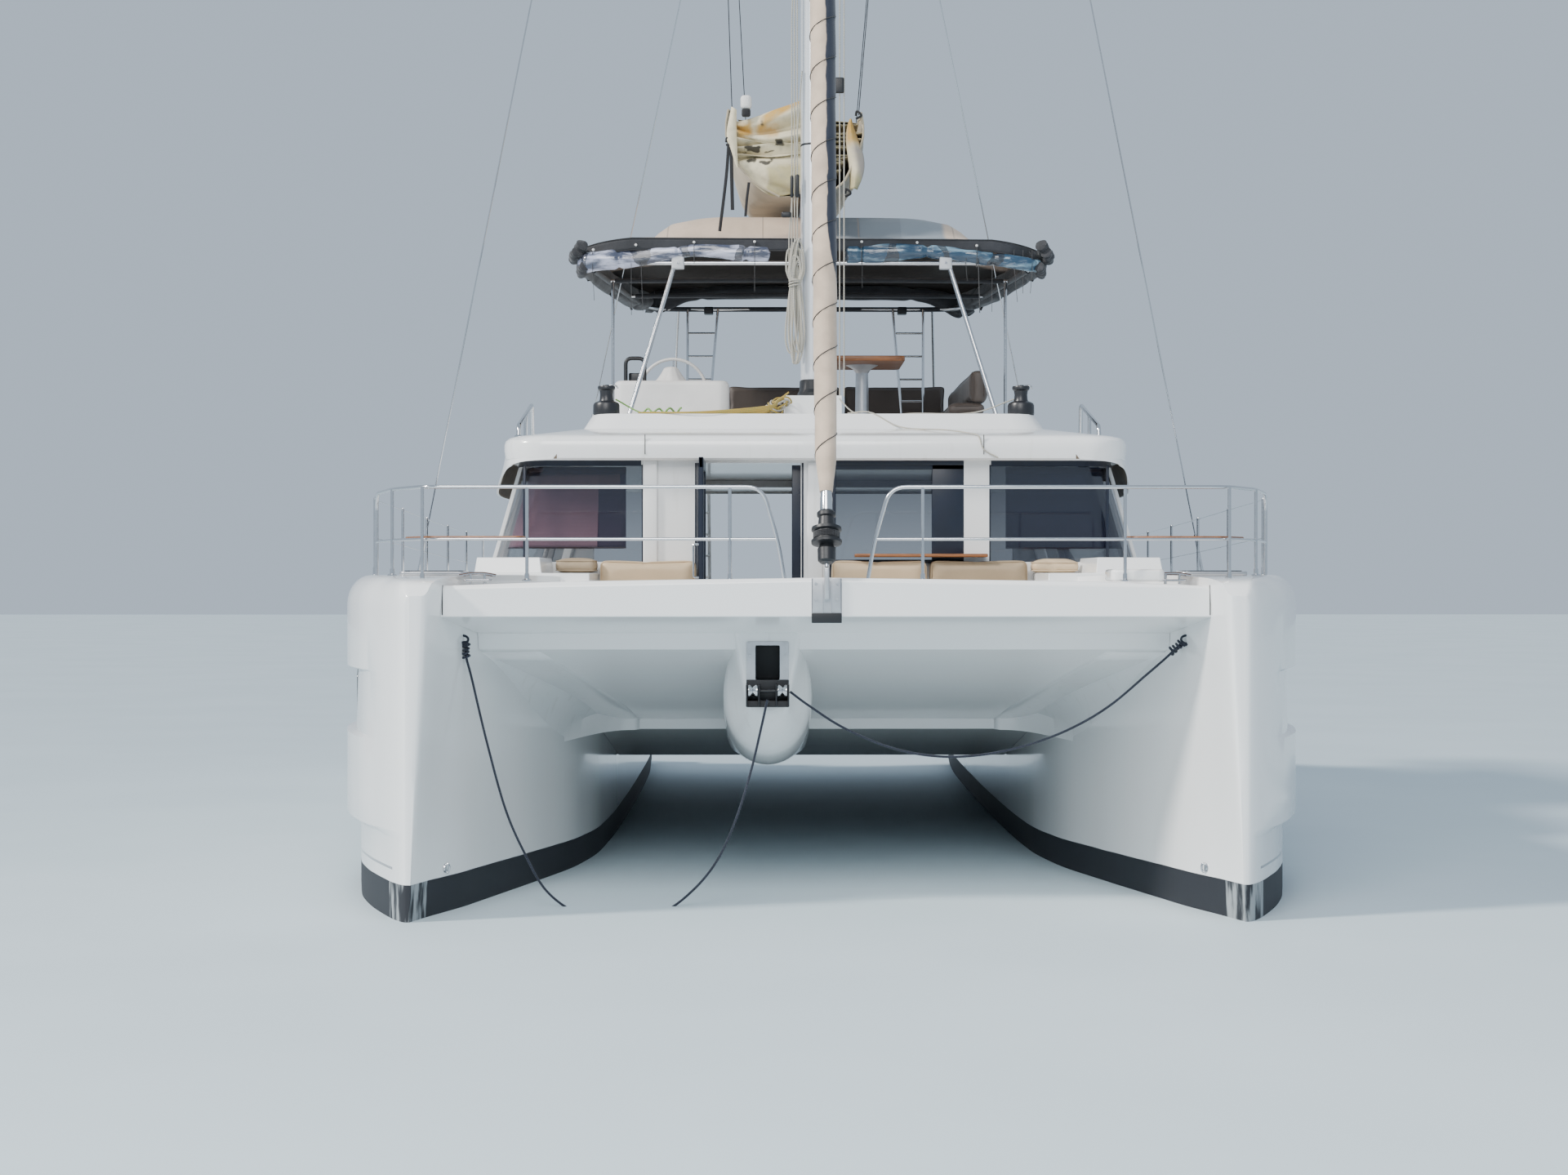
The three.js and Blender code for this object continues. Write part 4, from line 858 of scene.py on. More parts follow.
class MakeBridle(bpy.types.Operator):
    """Two dark ropes, each knotted to an eye on a hull and led to the bow roller"""
    bl_idname = "catamaran.bridle"
    bl_label = "Mooring bridle"

    def execute(self, context):
        radius = sizes().bridle_radius
        for side, route in BRIDLE_ROUTES.items():
            path = through(route, 12 * len(route))
            rope = Form().pipe(path, radius, 10).build(
                f"bridle_rope_{SIDES[side]}", bridle_rope(), slot="rope", replaces=f"bridle_{SIDES[side]}")
            turn = np.linspace(0, 4.4 * FULL_TURN, 120)[:, None]
            along = unit(path[6] - path[0])
            across, up = (v[0] for v in turned_frame(path[:3]))
            loops = (path[0] + (0, 0, 0.004) + along * (0.01 + 0.027 * turn / FULL_TURN)
                     + 0.022 * (1 + 0.25 * np.sin(1.7 * turn)) * (np.cos(turn) * across + np.sin(turn) * up))
            knot = Form().pipe(loops, radius, 8)
            knot.side = side
            angle = circle(24)
            knot.pipe(xyz(2.59 - 0.045 * np.cos(angle), -6.045 + 0.012 * np.sin(2 * angle),
                          1.908 + 0.03 * np.sin(angle)), radius, 8, closed=True)
            tail = path[0] * (side, 1, 1) + [(0.0, 0.0, -0.03), (0.035, -0.02, -0.02), (0.06, -0.025, -0.07)]
            knot.pipe(through(tail, 12), radius * 0.9, 8)
            knot.build(f"bridle_knot_{SIDES[side]}", bridle_rope(), slot="rope")
        return {"FINISHED"}


# Hulls

HULL_X = 2.695
# Columns: y, inner side, outer side, deck edge, bottom, depth of the knuckle step
HULL_TABLE = np.array([
    (-6.8, 2.79, 2.89, 2.225, -0.12, 0.0), (-6.7, 2.758, 2.965, 2.32, -0.33, 0.01),
    (-6.4, 2.68, 3.13, 2.35, -0.47, 0.04), (-5.9, 2.545, 3.355, 2.365, -0.56, 0.08),
    (-5.3, 2.38, 3.535, 2.37, -0.61, 0.1), (-4.5, 2.165, 3.66, 2.365, -0.65, 0.11),
    (-3.6, 1.955, 3.7, 2.345, -0.68, 0.12), (-2.6, 1.845, 3.7, 2.31, -0.7, 0.12),
    (-0.8, 1.8, 3.7, 2.255, -0.72, 0.12), (1.2, 1.79, 3.7, 2.205, -0.7, 0.12),
    (3.2, 1.795, 3.7, 2.18, -0.6, 0.12), (5.2, 1.815, 3.69, 2.18, -0.4, 0.11),
    (6.8, 1.87, 3.62, 2.18, -0.15, 0.1)])
BILGE_Z = 0.06
KNUCKLE_LOW, KNUCKLE_HIGH = 0.555, 0.62
RECESS_LOW, RECESS_HIGH = 1.21, 1.7
GUNWALE_IN, GUNWALE_DOWN = 0.18, 0.22
STERN_STEPS = ((5.3, 1.56), (5.8, 1.01), (6.25, 0.46))
WING_X = 3.3
BAY_X, BAY_Y, BAY_FLOOR = (2.295, 3.095), (4.35, 5.05), -0.15
REBATE_X, REBATE_Y, REBATE_Z = (2.235, 3.155), (4.29, 5.11), 2.13


def recess_depth(y):
    """Straight runs between the depths of the window recess along the hull."""
    return np.interp(y, (-6.4, -5.9, -5.35, -4.5, 4.5, 4.62), (0, 0.035, 0.08, 0.09, 0.09, 0))


def hull_section():
    """Rows along Y, columns around the hull: up the inner side, round the bilge, out over the knuckle,
    into the window recess, and over a quarter ellipse to the deck. A ceiling cuts the stern steps and the bay."""
    cuts = np.array([y + e for y in (5.3, 5.8, 6.25, *BAY_Y, *REBATE_Y) for e in (-2e-4, 2e-4)])
    stem = -6.8 + np.array([0, 0.004, 0.012, 0.03, 0.06])
    y = np.sort(np.concatenate([stem, np.linspace(-6.72, -5.3, 18), np.linspace(-5.2, 6.8, 84), cuts]))
    inner, outer, deck, bottom, step = columns_at(HULL_TABLE, y)
    low, middle = outer - step, (inner + outer - step) / 2
    width = outer - inner
    inward, down = np.minimum(GUNWALE_IN, 0.35 * width), np.minimum(GUNWALE_DOWN, 0.8 * width)
    fall = np.linspace(1, 0, 13)[None]
    zi = BILGE_Z + (deck - BILGE_Z) * fall
    lean = soft_step(-y[:, None], 5.9, 6.8) * (0.12 * (1 - zi / 2.225) - 0.05)
    turn = np.linspace(0, math.pi, 19)[None, 1:-1]
    zb = BILGE_Z + (bottom - BILGE_Z) * np.sin(turn) ** 0.75
    start = inner + lean[:, -1:]
    xb = (start + low) / 2 - (low - start) / 2 * np.cos(turn)
    depth = recess_depth(y)[:, None]
    side_z = np.array([[BILGE_Z, 0.22, 0.4, KNUCKLE_LOW, 0.57, 0.605, KNUCKLE_HIGH, 0.8, 1.0, RECESS_LOW, 1.235,
                        1.45, 1.685, RECESS_HIGH]])
    out = np.array([[1, 1, 1, 1, 0.93, 0.07, 0, 0, 0, 0, 0, 0, 0, 0]])
    cut_in = np.array([[0, 0, 0, 0, 0, 0, 0, 0, 0, 0, 0.85, 0.92, 1, 0]])
    xo = outer - step * out - depth * cut_in
    zo = np.broadcast_to(side_z, xo.shape)
    curl = np.linspace(0, math.pi / 2, 8)[None]
    xg = outer - inward * (1 - np.cos(curl))
    zg = deck - down * (1 - np.sin(curl))
    flats = np.array([v + e for v in (3.3, 3.155, 3.095, 2.295, 2.235) for e in (2e-4, -2e-4)])[None]
    xd = np.clip(np.concatenate([flats[:, :2], flats[:, 2:6], [[HULL_X]], flats[:, 6:]], 1), inner, outer - inward)
    zd = np.broadcast_to(deck, xd.shape)
    x = np.concatenate([inner + lean, xb, xo, xg, xd], 1)
    z = np.concatenate([zi, zb, zo, zg, zd], 1)
    rounding = np.clip((y + 6.8) / 0.03, 0, 1)[:, None]
    pinch = 1 - 0.32 * (1 - np.sqrt(1 - (1 - rounding) ** 2))
    x = middle + (x - middle) * pinch
    rows = np.broadcast_to(y[:, None], x.shape)
    ceiling = np.full(x.shape, 9.0)
    for start_y, height in STERN_STEPS:
        ceiling = np.where((rows > start_y) & (x < WING_X), height, ceiling)
    slope = 2.18 + (rows - 5.3) * (0.9 - 2.18) / 1.6
    ceiling = np.where((rows > 5.3) & (x >= WING_X), slope, ceiling)
    for (x0, x1), (y0, y1), height in ((REBATE_X, REBATE_Y, REBATE_Z), (BAY_X, BAY_Y, BAY_FLOOR)):
        ceiling = np.where((x > x0) & (x < x1) & (rows > y0) & (rows < y1) & (z > 1.5), height, ceiling)
    return xyz(x, rows, np.minimum(z, ceiling))


class MakeHulls(bpy.types.Operator):
    """Hull shells with their window panes, stern steps and eyes on the stems"""
    bl_idname = "catamaran.hulls"
    bl_label = "Hulls"

    def execute(self, context):
        section = hull_section()
        heel = xyz(WING_X + 0.04, section[-1, :, 1], 0.3)
        section = np.array([shut(section[0]), *section, heel])
        for side, word in SIDES.items():
            shell = Form(side).grid(section, True)
            shell.build(f"hull_shell_{word}", hull_paint(), replaces=f"hull_{word}", sharp=32)
            panes = Form(side)
            for front, aft in ((-4.75, -2.25), (-2.0, 1.1), (1.35, 4.2)):
                y = np.linspace(front, aft, 40)
                z = np.array([1.275, 1.28, 1.46, 1.64, 1.645])
                outer = columns_at(HULL_TABLE, y)[1, :, 0]
                end = np.minimum(1, np.minimum(y - front, aft - y) / 0.06)
                tall = 1.46 + (z - 1.46) * np.sqrt(1 - (1 - end[:, None]) ** 2 * 0.5)
                panes.grid(xyz((outer - recess_depth(y) * 0.93 + 0.006)[:, None], y[:, None], tall))
            thicken(panes.build(f"hull_window_{word}", dark_glass(), slot="tinted_glass"), 0.008)
            x, y, z = 2.678, -6.3, 0.31
            eyes = Form(side).pipe(xyz(x - 0.02 - 0.012 * np.cos(circle(28)), y, z + 0.03 * np.sin(circle(28))),
                                   0.0075, 8, closed=True)
            eyes.turned([(0.034, 0.004), (0.034, -0.006), (0.02, -0.012)], (x, y, z), "x", 16)
            eyes.build(f"stem_eye_{word}", stainless(), slot="stainless")
            treads = Form(side)
            for (start, height), end in zip(STERN_STEPS, (5.78, 6.23, 6.74)):
                treads.solid((1.98, start + 0.06, height - 0.004), (3.22, end, height + 0.006), 0.004, 0.05, facets=5)
            treads.build(f"stern_treads_{word}", deck())
        return {"FINISHED"}


class MakeUnderwater(bpy.types.Operator):
    """Keels, rudders, drive legs, propellers and the lids over the engines"""
    bl_idname = "catamaran.underwater"
    bl_label = "Underwater gear and hatches"

    # Level foil sections. Columns: front, aft, half thickness, height
    KEEL = ((-1.45, 1.45, 0.115, -0.5), (-1.4, 1.4, 0.112, -0.75), (-1.28, 1.26, 0.098, -1.12),
            (-1.22, 1.2, 0.086, -1.2), (-1.16, 1.14, 0.05, -1.22))
    RUDDER = ((5.53, 6.0, 0.02, -0.44), (5.52, 6.02, 0.046, -0.455), (5.54, 6.01, 0.044, -0.8),
              (5.6, 5.97, 0.034, -1.09), (5.66, 5.93, 0.015, -1.12))

    def execute(self, context):
        for side, word in SIDES.items():
            x = HULL_X * side
            keel = Form().grid(self.foil(x, self.KEEL), True, True)
            keel.build(f"keel_fin_{word}", bottom_paint(), slot="antifouling", replaces=f"keel_{word}")
            rudder = Form().grid(self.foil(x, self.RUDDER), True, True)
            rudder.turned([(0.037, -0.46), (0.037, -0.112)], (x, 5.65, 0), "z", 24, finish=1)
            rudder.build(f"rudder_blade_{word}", bottom_paint(), stainless(), body=f"rudder_{word}",
                         slot="antifouling", replaces=f"rudder_{word}")
            rounded_node(f"drive_unit_{word}", engine_enamel(), edge=0.01, slot="engine_paint")
            rounded_node(f"engine_hatch_{word}", deck(), edge=0.008, body=f"engine_hatch_{word}")
            self.propeller(x, word)
        return {"FINISHED"}

    def foil(self, x, rows):
        """A symmetrical foil: its half thickness is a sum of the powers 1/2, 1, 2, 3 and 4 of its place."""
        span = 0.5 * (1 - np.cos(np.linspace(0, math.pi, 16)))
        thick = 2.969 * np.sqrt(span) - 1.26 * span - 3.516 * span**2 + 2.843 * span**3 - 1.015 * span**4
        along, out = np.append(span, span[-2:0:-1]), np.append(thick, -thick[-2:0:-1])
        front, aft, half, z = np.array(rows).T[:, :, None]
        return xyz(x + out * half, front + along * (aft - front), z)

    def propeller(self, x, word):
        """A hub turned about Y and three blades. A blade twists by the arc tangent of pitch over radius."""
        centre = np.array([x, 4.9, -0.83])
        screw = Form().turned([(0.055, 0.0), (0.067, 0.02), (0.066, 0.09), (0.045, 0.14), (0.012, 0.169)],
                              centre, "y", 32)
        r = np.linspace(0.05, 0.228, 14)[:, None]
        s = circle(24)
        chord = 0.14 * np.sin(np.clip((r - 0.03) / 0.21, 0, 1) * math.pi * 0.93) ** 0.6 * 0.5
        along, out = chord * np.cos(s), 0.006 * np.sin(s) * (1.2 - r / 0.25)
        twist = np.arctan(0.3 / (FULL_TURN * r))
        y = 0.062 + along * np.sin(twist) + out * np.cos(twist)
        for turn in circle(3):
            swing = turn + (along * np.cos(twist) - out * np.sin(twist)) / np.maximum(r, 0.06)
            screw.grid(xyz(r * np.sin(swing), y, r * np.cos(swing)) + centre, True, True)
        screw.build(f"propeller_blades_{word}", bronze(), body=f"propeller_{word}", slot="bronze",
                    replaces=f"propeller_{word}")


class MakeDeck(bpy.types.Operator):
    """Foredeck and bridge deck with rounded edges, deck hatches and pop-up cleats"""
    bl_idname = "catamaran.deck"
    bl_label = "Decks"

    def execute(self, context):
        rounded_node("foredeck", deck(), edge=0.014)
        rounded_node("bridgedeck", gelcoat(), edge=0.02)
        fittings, lids, joints, corners = Form(), Form(), Form(), Form()
        for _ in fittings.both():
            for x, y, z in ((2.46, -6.18, 2.335), (3.42, 5.15, 2.185)):
                horns = [(x - 0.13, y, z + 0.03), (x - 0.045, y, z + 0.045), (x + 0.045, y, z + 0.045),
                         (x + 0.13, y, z + 0.03)]
                fittings.pipe(bent(horns, 0.03), 0.012, 10)
                for foot in (-0.05, 0.05):
                    fittings.turned([(0.011, -0.03), (0.011, 0.045)], (x + foot, y, z), "z", 12)
                fittings.solid((x - 0.1, y - 0.03, z - 0.012), (x + 0.1, y + 0.03, z + 0.004), 0.003, 0.02)
        fittings.build("deck_cleats", stainless(), slot="stainless")
        for _ in lids.both():
            for x0, x1, y, z in ((2.6, 3.1, -5.7, 2.366), (2.95, 3.42, -1.5, 2.272), (2.95, 3.42, 2.2, 2.196)):
                lids.solid((x0, y, z), (x1, y + 0.45, z + 0.03), 0.01, 0.06, facets=5)
                lids.solid((x0 + 0.035, y + 0.035, z + 0.02), (x1 - 0.035, y + 0.415, z + 0.037), 0.005, 0.04, 1, 5)
        lids.build("deck_hatches", aluminium(), hatch_glass(), slot="spar")
        for _ in joints.both():
            joints.solid((2.663, -6.502, 2.09), (2.671, -6.485, 2.3), 0.001)
        joints.solid((2.0, -6.36, 2.325), (2.38, -6.0, 2.41), 0.02, 0.05, finish=1)
        joints.build("beam_joints", rubber(), gelcoat(), slot="black_trim")
        for _ in corners.both():
            corners.grid(self.tunnel_corner())
        thicken(corners.build("tunnel_corners", gelcoat(), sharp=24), 0.004)
        return {"FINISHED"}

    def tunnel_corner(self):
        """Ceiling of the tunnel beside a hull: a cove that curves up from the hull's side to a crease, then the flat
        ceiling. The step's edge sweeps forward by the cube of the distance as it nears the hull."""
        flat, cove = np.linspace(0, 1, 7)[None, :-1], np.linspace(0, 1, 14)[None]
        reach, wide, high = 0.45, 0.15, 0.33
        share = np.concatenate([flat * (1 - wide / reach), 1 + (cove - 1) * wide / reach], 1)
        edge = -3.302 - 0.75 * share**3
        before = np.linspace(0, 1, 16)[:, None] ** 0.8
        y = np.concatenate([-5.7 + (edge + 5.7) * before, edge + 0.004 + (-3.01 - edge) * np.array([[0], [0.5], [1]])])
        hull = columns_at(HULL_TABLE, y.ravel())[0].reshape(y.shape)
        grow = soft_step(y, -5.9, -4.1)
        crease = 0.012 + (wide - 0.012) * grow
        away = np.concatenate([reach - (reach - crease[:, :6]) * flat, crease[:, 6:] * (1 - cove)], 1)
        x = hull + 0.012 - away
        fall = np.concatenate([0 * flat, cove * (0.4 + 0.6 * cove**2)], 1)
        upper = 1.18 + (-3.3 - y) * 0.65 / 2.47 - high * grow * fall
        z = np.where(y < edge + 0.002, upper, 1.088 - 0.05 * share**3) - 0.003 + 0.006 * (share < 0.01)
        return xyz(x, y, z)


# Nacelle with the anchor opening

# Columns: y, half width, bottom
NACELLE_TABLE = np.array([(-5.8, 0.245, 1.354), (-5.62, 0.29, 1.19), (-5.35, 0.33, 1.03), (-4.6, 0.338, 0.9),
                          (-3.0, 0.338, 0.8), (-1.6, 0.325, 0.72), (-0.7, 0.25, 0.69)])
HAWSE_HALF, HAWSE_TALL, HAWSE_Z = 0.0885, 0.126, 1.736


def resampled(ring, count):
    """A closed ring walked at even lengths from its first point."""
    closed = np.vstack([ring, ring[:1]])
    length = np.concatenate([[0], np.cumsum(np.linalg.norm(np.diff(closed, axis=0), axis=1))])
    at = np.linspace(0, length[-1], count, endpoint=False)
    return np.stack([np.interp(at, length, closed[:, k]) for k in range(closed.shape[1])], 1)


class MakeNacelle(bpy.types.Operator):
    """Pod under the bridge deck. Its front is a flat shield with the anchor opening, flange and roller"""
    bl_idname = "catamaran.nacelle"
    bl_label = "Nacelle and bow roller"

    def execute(self, context):
        y = np.concatenate([NACELLE_FRONT + np.array([0, 0.004, 0.012, 0.028]), np.linspace(-5.74, -0.7, 60)])
        half, bottom = columns_at(NACELLE_TABLE, y)
        top = np.interp(y, (-5.8, -5.77, -3.3, -3.0, -1.0, -0.7), (2.0, 1.95, 1.25, 1.17, 0.77, 0.76))[:, None]
        full = soft_step(y, -5.78, -5.35)[:, None]
        knee = bottom + np.minimum((0.35 + full) * half, 0.6 * (top - bottom))
        fall = np.linspace(0, 1, 10)[None]
        zs = top + (knee - top) * fall
        curve = np.linspace(0, math.pi, 25)[None, 1:-1]
        xs = half * ((1 - full) * (1 - 0.4 * fall) + full * (0.8 + 0.2 * np.sin(fall * math.pi / 2)))
        x = np.concatenate([-xs, -xs[:, -1:] * np.cos(curve), xs[:, ::-1]], 1)
        z = np.concatenate([zs, knee + (bottom - knee) * np.sin(curve) ** (1.3 - 0.4 * full), zs[:, ::-1]], 1)
        rounding = np.clip((y - NACELLE_FRONT) / 0.03, 0, 1)[:, None]
        pinch = 1 - 0.10 * (1 - np.sqrt(1 - (1 - rounding) ** 2))
        centre_z = 1.7
        z = np.where(rounding < 1, centre_z + (z - centre_z) * pinch, z)
        skin = xyz(x * pinch + NACELLE_X, y[:, None], z)
        front = resampled(skin[0], 72)
        hole = round_ring(-HAWSE_HALF, HAWSE_HALF, -HAWSE_TALL, HAWSE_TALL, 0.01, 0.0)
        hole = xyz(NACELLE_X - hole[:, 0], NACELLE_FRONT, HAWSE_Z + hole[:, 1])
        start = np.argmin(np.linalg.norm(hole - front[0], axis=1))
        hole = resampled(np.roll(hole, -start, 0), 72)
        hole = resampled(np.roll(hole[::-1], 1, 0), 72)
        inside = hole * (1, 0, 1) + (0, -5.52, 0)
        pod = Form().grid(skin).grid([front, hole], True).grid([hole, inside], True, finish=1)
        pod.grid([inside, shut(inside)], True, finish=1)
        pod.build("nacelle_pod", gelcoat(), black_plastic(), replaces="nacelle", sharp=30)
        self.flange()
        self.roller()
        return {"FINISHED"}

    def flange(self):
        """A plate round the opening with its bolts."""
        x, face = NACELLE_X, NACELLE_FRONT
        outer = round_ring(-0.154, 0.154, -0.181, 0.152, 0.014, 0.0)
        inner = round_ring(-HAWSE_HALF, HAWSE_HALF, -HAWSE_TALL, HAWSE_TALL, 0.01, 0.0)
        flange = Form().grid([xyz(x + ring[:, 0], face + y, HAWSE_Z + ring[:, 1]) for ring, y in (
            (inner, 0.01), (inner, -0.012), (outer * 0.985, -0.012), (outer, -0.006), (outer, 0.002))], True)
        for bx, bz in ((-0.128, 0.136), (0.0, 0.139), (0.128, 0.136), (-0.13, 0.05), (0.13, 0.05), (-0.13, -0.06),
                       (0.13, -0.06), (-0.128, -0.155), (0.128, -0.155)):
            flange.turned([(0.011, -0.022), (0.012, -0.016), (0.012, -0.01)], (x + bx, face, HAWSE_Z + bz), "y", 6)
        flange.build("hawse_flange", aluminium(), slot="stainless")

    def roller(self):
        """Two grooved wheels between cheeks."""
        x, axle = NACELLE_X, (NACELLE_X, -5.935, 1.535)
        bracket = Form()
        for cheek in (-0.150, -0.062, 0.062, 0.150):
            bracket.solid((x + cheek - 0.006, -5.985, 1.425), (x + cheek + 0.006, -5.803, 1.584), 0.003)
        bracket.solid((x - 0.154, -5.83, 1.43), (x + 0.154, -5.801, 1.612), 0.006)
        bracket.solid((x - 0.154, -5.955, 1.42), (x + 0.154, -5.82, 1.465), 0.006, finish=1)
        for near, far in ((-0.138, -0.074), (0.074, 0.138)):
            wheel = [(0.012, near), (0.044, near), (0.044, near + 0.012), (0.030, (near + far) / 2),
                     (0.044, far - 0.012), (0.044, far), (0.012, far)]
            bracket.turned(wheel, axle, "x", 36, finish=2)
        bracket.turned([(0.012, -0.154), (0.012, 0.154)], axle, "x", 16)
        bracket.build("roller_bracket", black_plastic(), rubber(), stainless(), slot="stainless",
                      replaces="bow_roller")


# Deckhouse

HOUSE_LOW_Z, HOUSE_HIGH_Z = 2.18, 3.34
HOUSE_LOW, HOUSE_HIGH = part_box("side_wall_port")[1].x, 2.555
CORNER_WIDE, CORNER_LONG, CORNER_AFT = 0.33, 0.6, -2.4


def house_line(z, inset=0.0):
    """Corner of the deckhouse's plan at a height: a quarter ellipse. The half width leans in with height."""
    half = HOUSE_LOW + (z - HOUSE_LOW_Z) * (HOUSE_HIGH - HOUSE_LOW) / (HOUSE_HIGH_Z - HOUSE_LOW_Z)
    turn = np.linspace(0, math.pi * 0.45, 16)
    x = half - CORNER_WIDE * (1 - np.sin(turn)) - inset * np.sin(turn)
    return xyz(x, CORNER_AFT - (CORNER_LONG - inset) * np.cos(turn), z)


def house_front(z, x, inset, count, last=None):
    """The plan from a place on the straight front out to the corner and round it."""
    bend = house_line(z, inset)
    return np.concatenate([np.linspace((x, bend[0, 1], z), bend[0], count)[:-1], bend[:last]])


class MakeHouse(bpy.types.Operator):
    """Walls, pillars, tinted windows, their frames and blinds, and the front door"""
    bl_idname = "catamaran.house"
    bl_label = "Deckhouse"

    def execute(self, context):
        for node in ("front_wall", "side_wall_starboard", "side_wall_port"):
            rounded_node(node, gelcoat(), edge=0.014)
        panes = ["front_glass_centre", *(f"{place}_glass_{word}" for place in ("corner", "side")
                                         for word in SIDES.values())]
        for node in panes:
            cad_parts[node].data.materials[0] = window_glass()
        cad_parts["aft_door"].data.materials[0] = gelcoat()
        self.trims()
        self.blinds()
        self.door()
        return {"FINISHED"}

    def trims(self):
        """Bars round the panes, a band under the roof that follows the plan, and the door's jambs."""
        trim, jambs = Form(), Form()
        y0, y1 = WALL_Y - 0.004, WALL_Y + 0.03
        for _ in trim.both():
            for x in (1.46, 2.46):
                trim.solid((x - 0.012, y0 + 0.01, SILL), (x + 0.012, y1, WINDOW_TOP), 0.003)
            trim.grid([house_front(z, 1.475, -0.004, 10) for z in (3.29, 3.315, 3.339)])
        for low, high, edge in (
                ((0.975, y0, SILL), (1.245, y0 + 0.012, WINDOW_TOP), 0.004),
                ((-0.99, y0, 1.82), (-0.97, y0 + 0.05, 3.32), 0.003),
                ((0.146, y0, SILL - 0.012), (1.245, y0 + 0.014, SILL + 0.02), 0.004),
                ((0.146, y0, WINDOW_TOP - 0.04), (1.245, y0 + 0.014, WINDOW_TOP + 0.005), 0.004),
                ((0.11, y0, 1.82), (0.165, y0 + 0.02, WINDOW_TOP), 0.004),
                ((0.11, y0 - 0.004, 3.296), (1.245, y0 + 0.01, 3.34), 0.003)):
            trim.solid(low, high, edge)
        trim.build("window_frames", frame_black(), slot="black_trim")
        for x in (-1.015, -0.995, -0.115):
            jambs.solid((x - 0.008, y0 - 0.008, 1.8), (x + 0.008, y1, 3.315), 0.003)
        jambs.solid((-0.205, y0 + 0.079, 1.8), (-0.108, y0 + 0.1, 3.3), 0.004)
        jambs.solid((-0.075, y0 - 0.012, 1.8), (0.055, y0 + 0.006, 3.32), 0.006, finish=1)
        jambs.solid((-1.46, y0 - 0.022, 2.3), (-1.335, y0 + 0.02, 3.335), 0.01, finish=1)
        jambs.build("door_frame", frame_black(), gelcoat(), slot="black_trim")

    def blinds(self):
        """Two pleated blinds, each flat in front and curved round its corner."""
        tubes = Form()
        for side, word in SIDES.items():
            sheet = np.array([house_front(z, 1.61, 0.11, 12, 13) for z in np.linspace(2.605, 3.225, 20)])
            sheet[..., 1] += 0.004 * np.sin(40 * sheet[..., 0] + 30 * sheet[..., 2])
            tubes.side = side
            tubes.pipe(sheet[-1] + (0, 0, 0.03), 0.032, 10)
            tubes.pipe(sheet[0] - (0, 0, 0.004), 0.007, 8)
            blind = Form(side).grid(sheet).build(f"window_blind_{word}", blind_cloth(), slot="taupe_vinyl")
            thicken(blind, 0.0015)
        tubes.build("blind_cassettes", plain("Blind cassette", (0.10, 0.05, 0.04), 0.45), slot="black_trim")

    def door(self):
        """A hinged leaf: a frame of round-edged bars round its pane, and a handle."""
        low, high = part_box("front_door")
        leaf = Form()
        x0, x1, y0, y1, z0, z1 = -0.97, -0.93, -3.772, -2.945, low.z + 0.004, high.z - 0.004
        for a, b in (((y0, z0), (y0 + 0.075, z1)), ((y1 - 0.085, z0), (y1, z1)),
                     ((y0, z0), (y1, z0 + 0.13)), ((y0, z1 - 0.09), (y1, z1))):
            leaf.solid((x0 + 0.001, *a), (x1 - 0.001, *b), 0.006)
        leaf.solid((x0 + 0.014, y0 + 0.06, z0 + 0.1), (x1 - 0.014, y1 - 0.07, z1 - 0.07), 0.002, finish=1)
        handle = [(x0 - out, y0 + 0.11, z) for out, z in ((0, 2.35), (0.045, 2.35), (0.045, 2.62), (0, 2.62))]
        leaf.pipe(bent(handle, 0.03), 0.009, 10, finish=2)
        leaf.build("front_door_leaf", frame_black(), window_glass(), stainless(), body="front_door",
                   slot="black_trim", replaces="front_door", sharp=30)


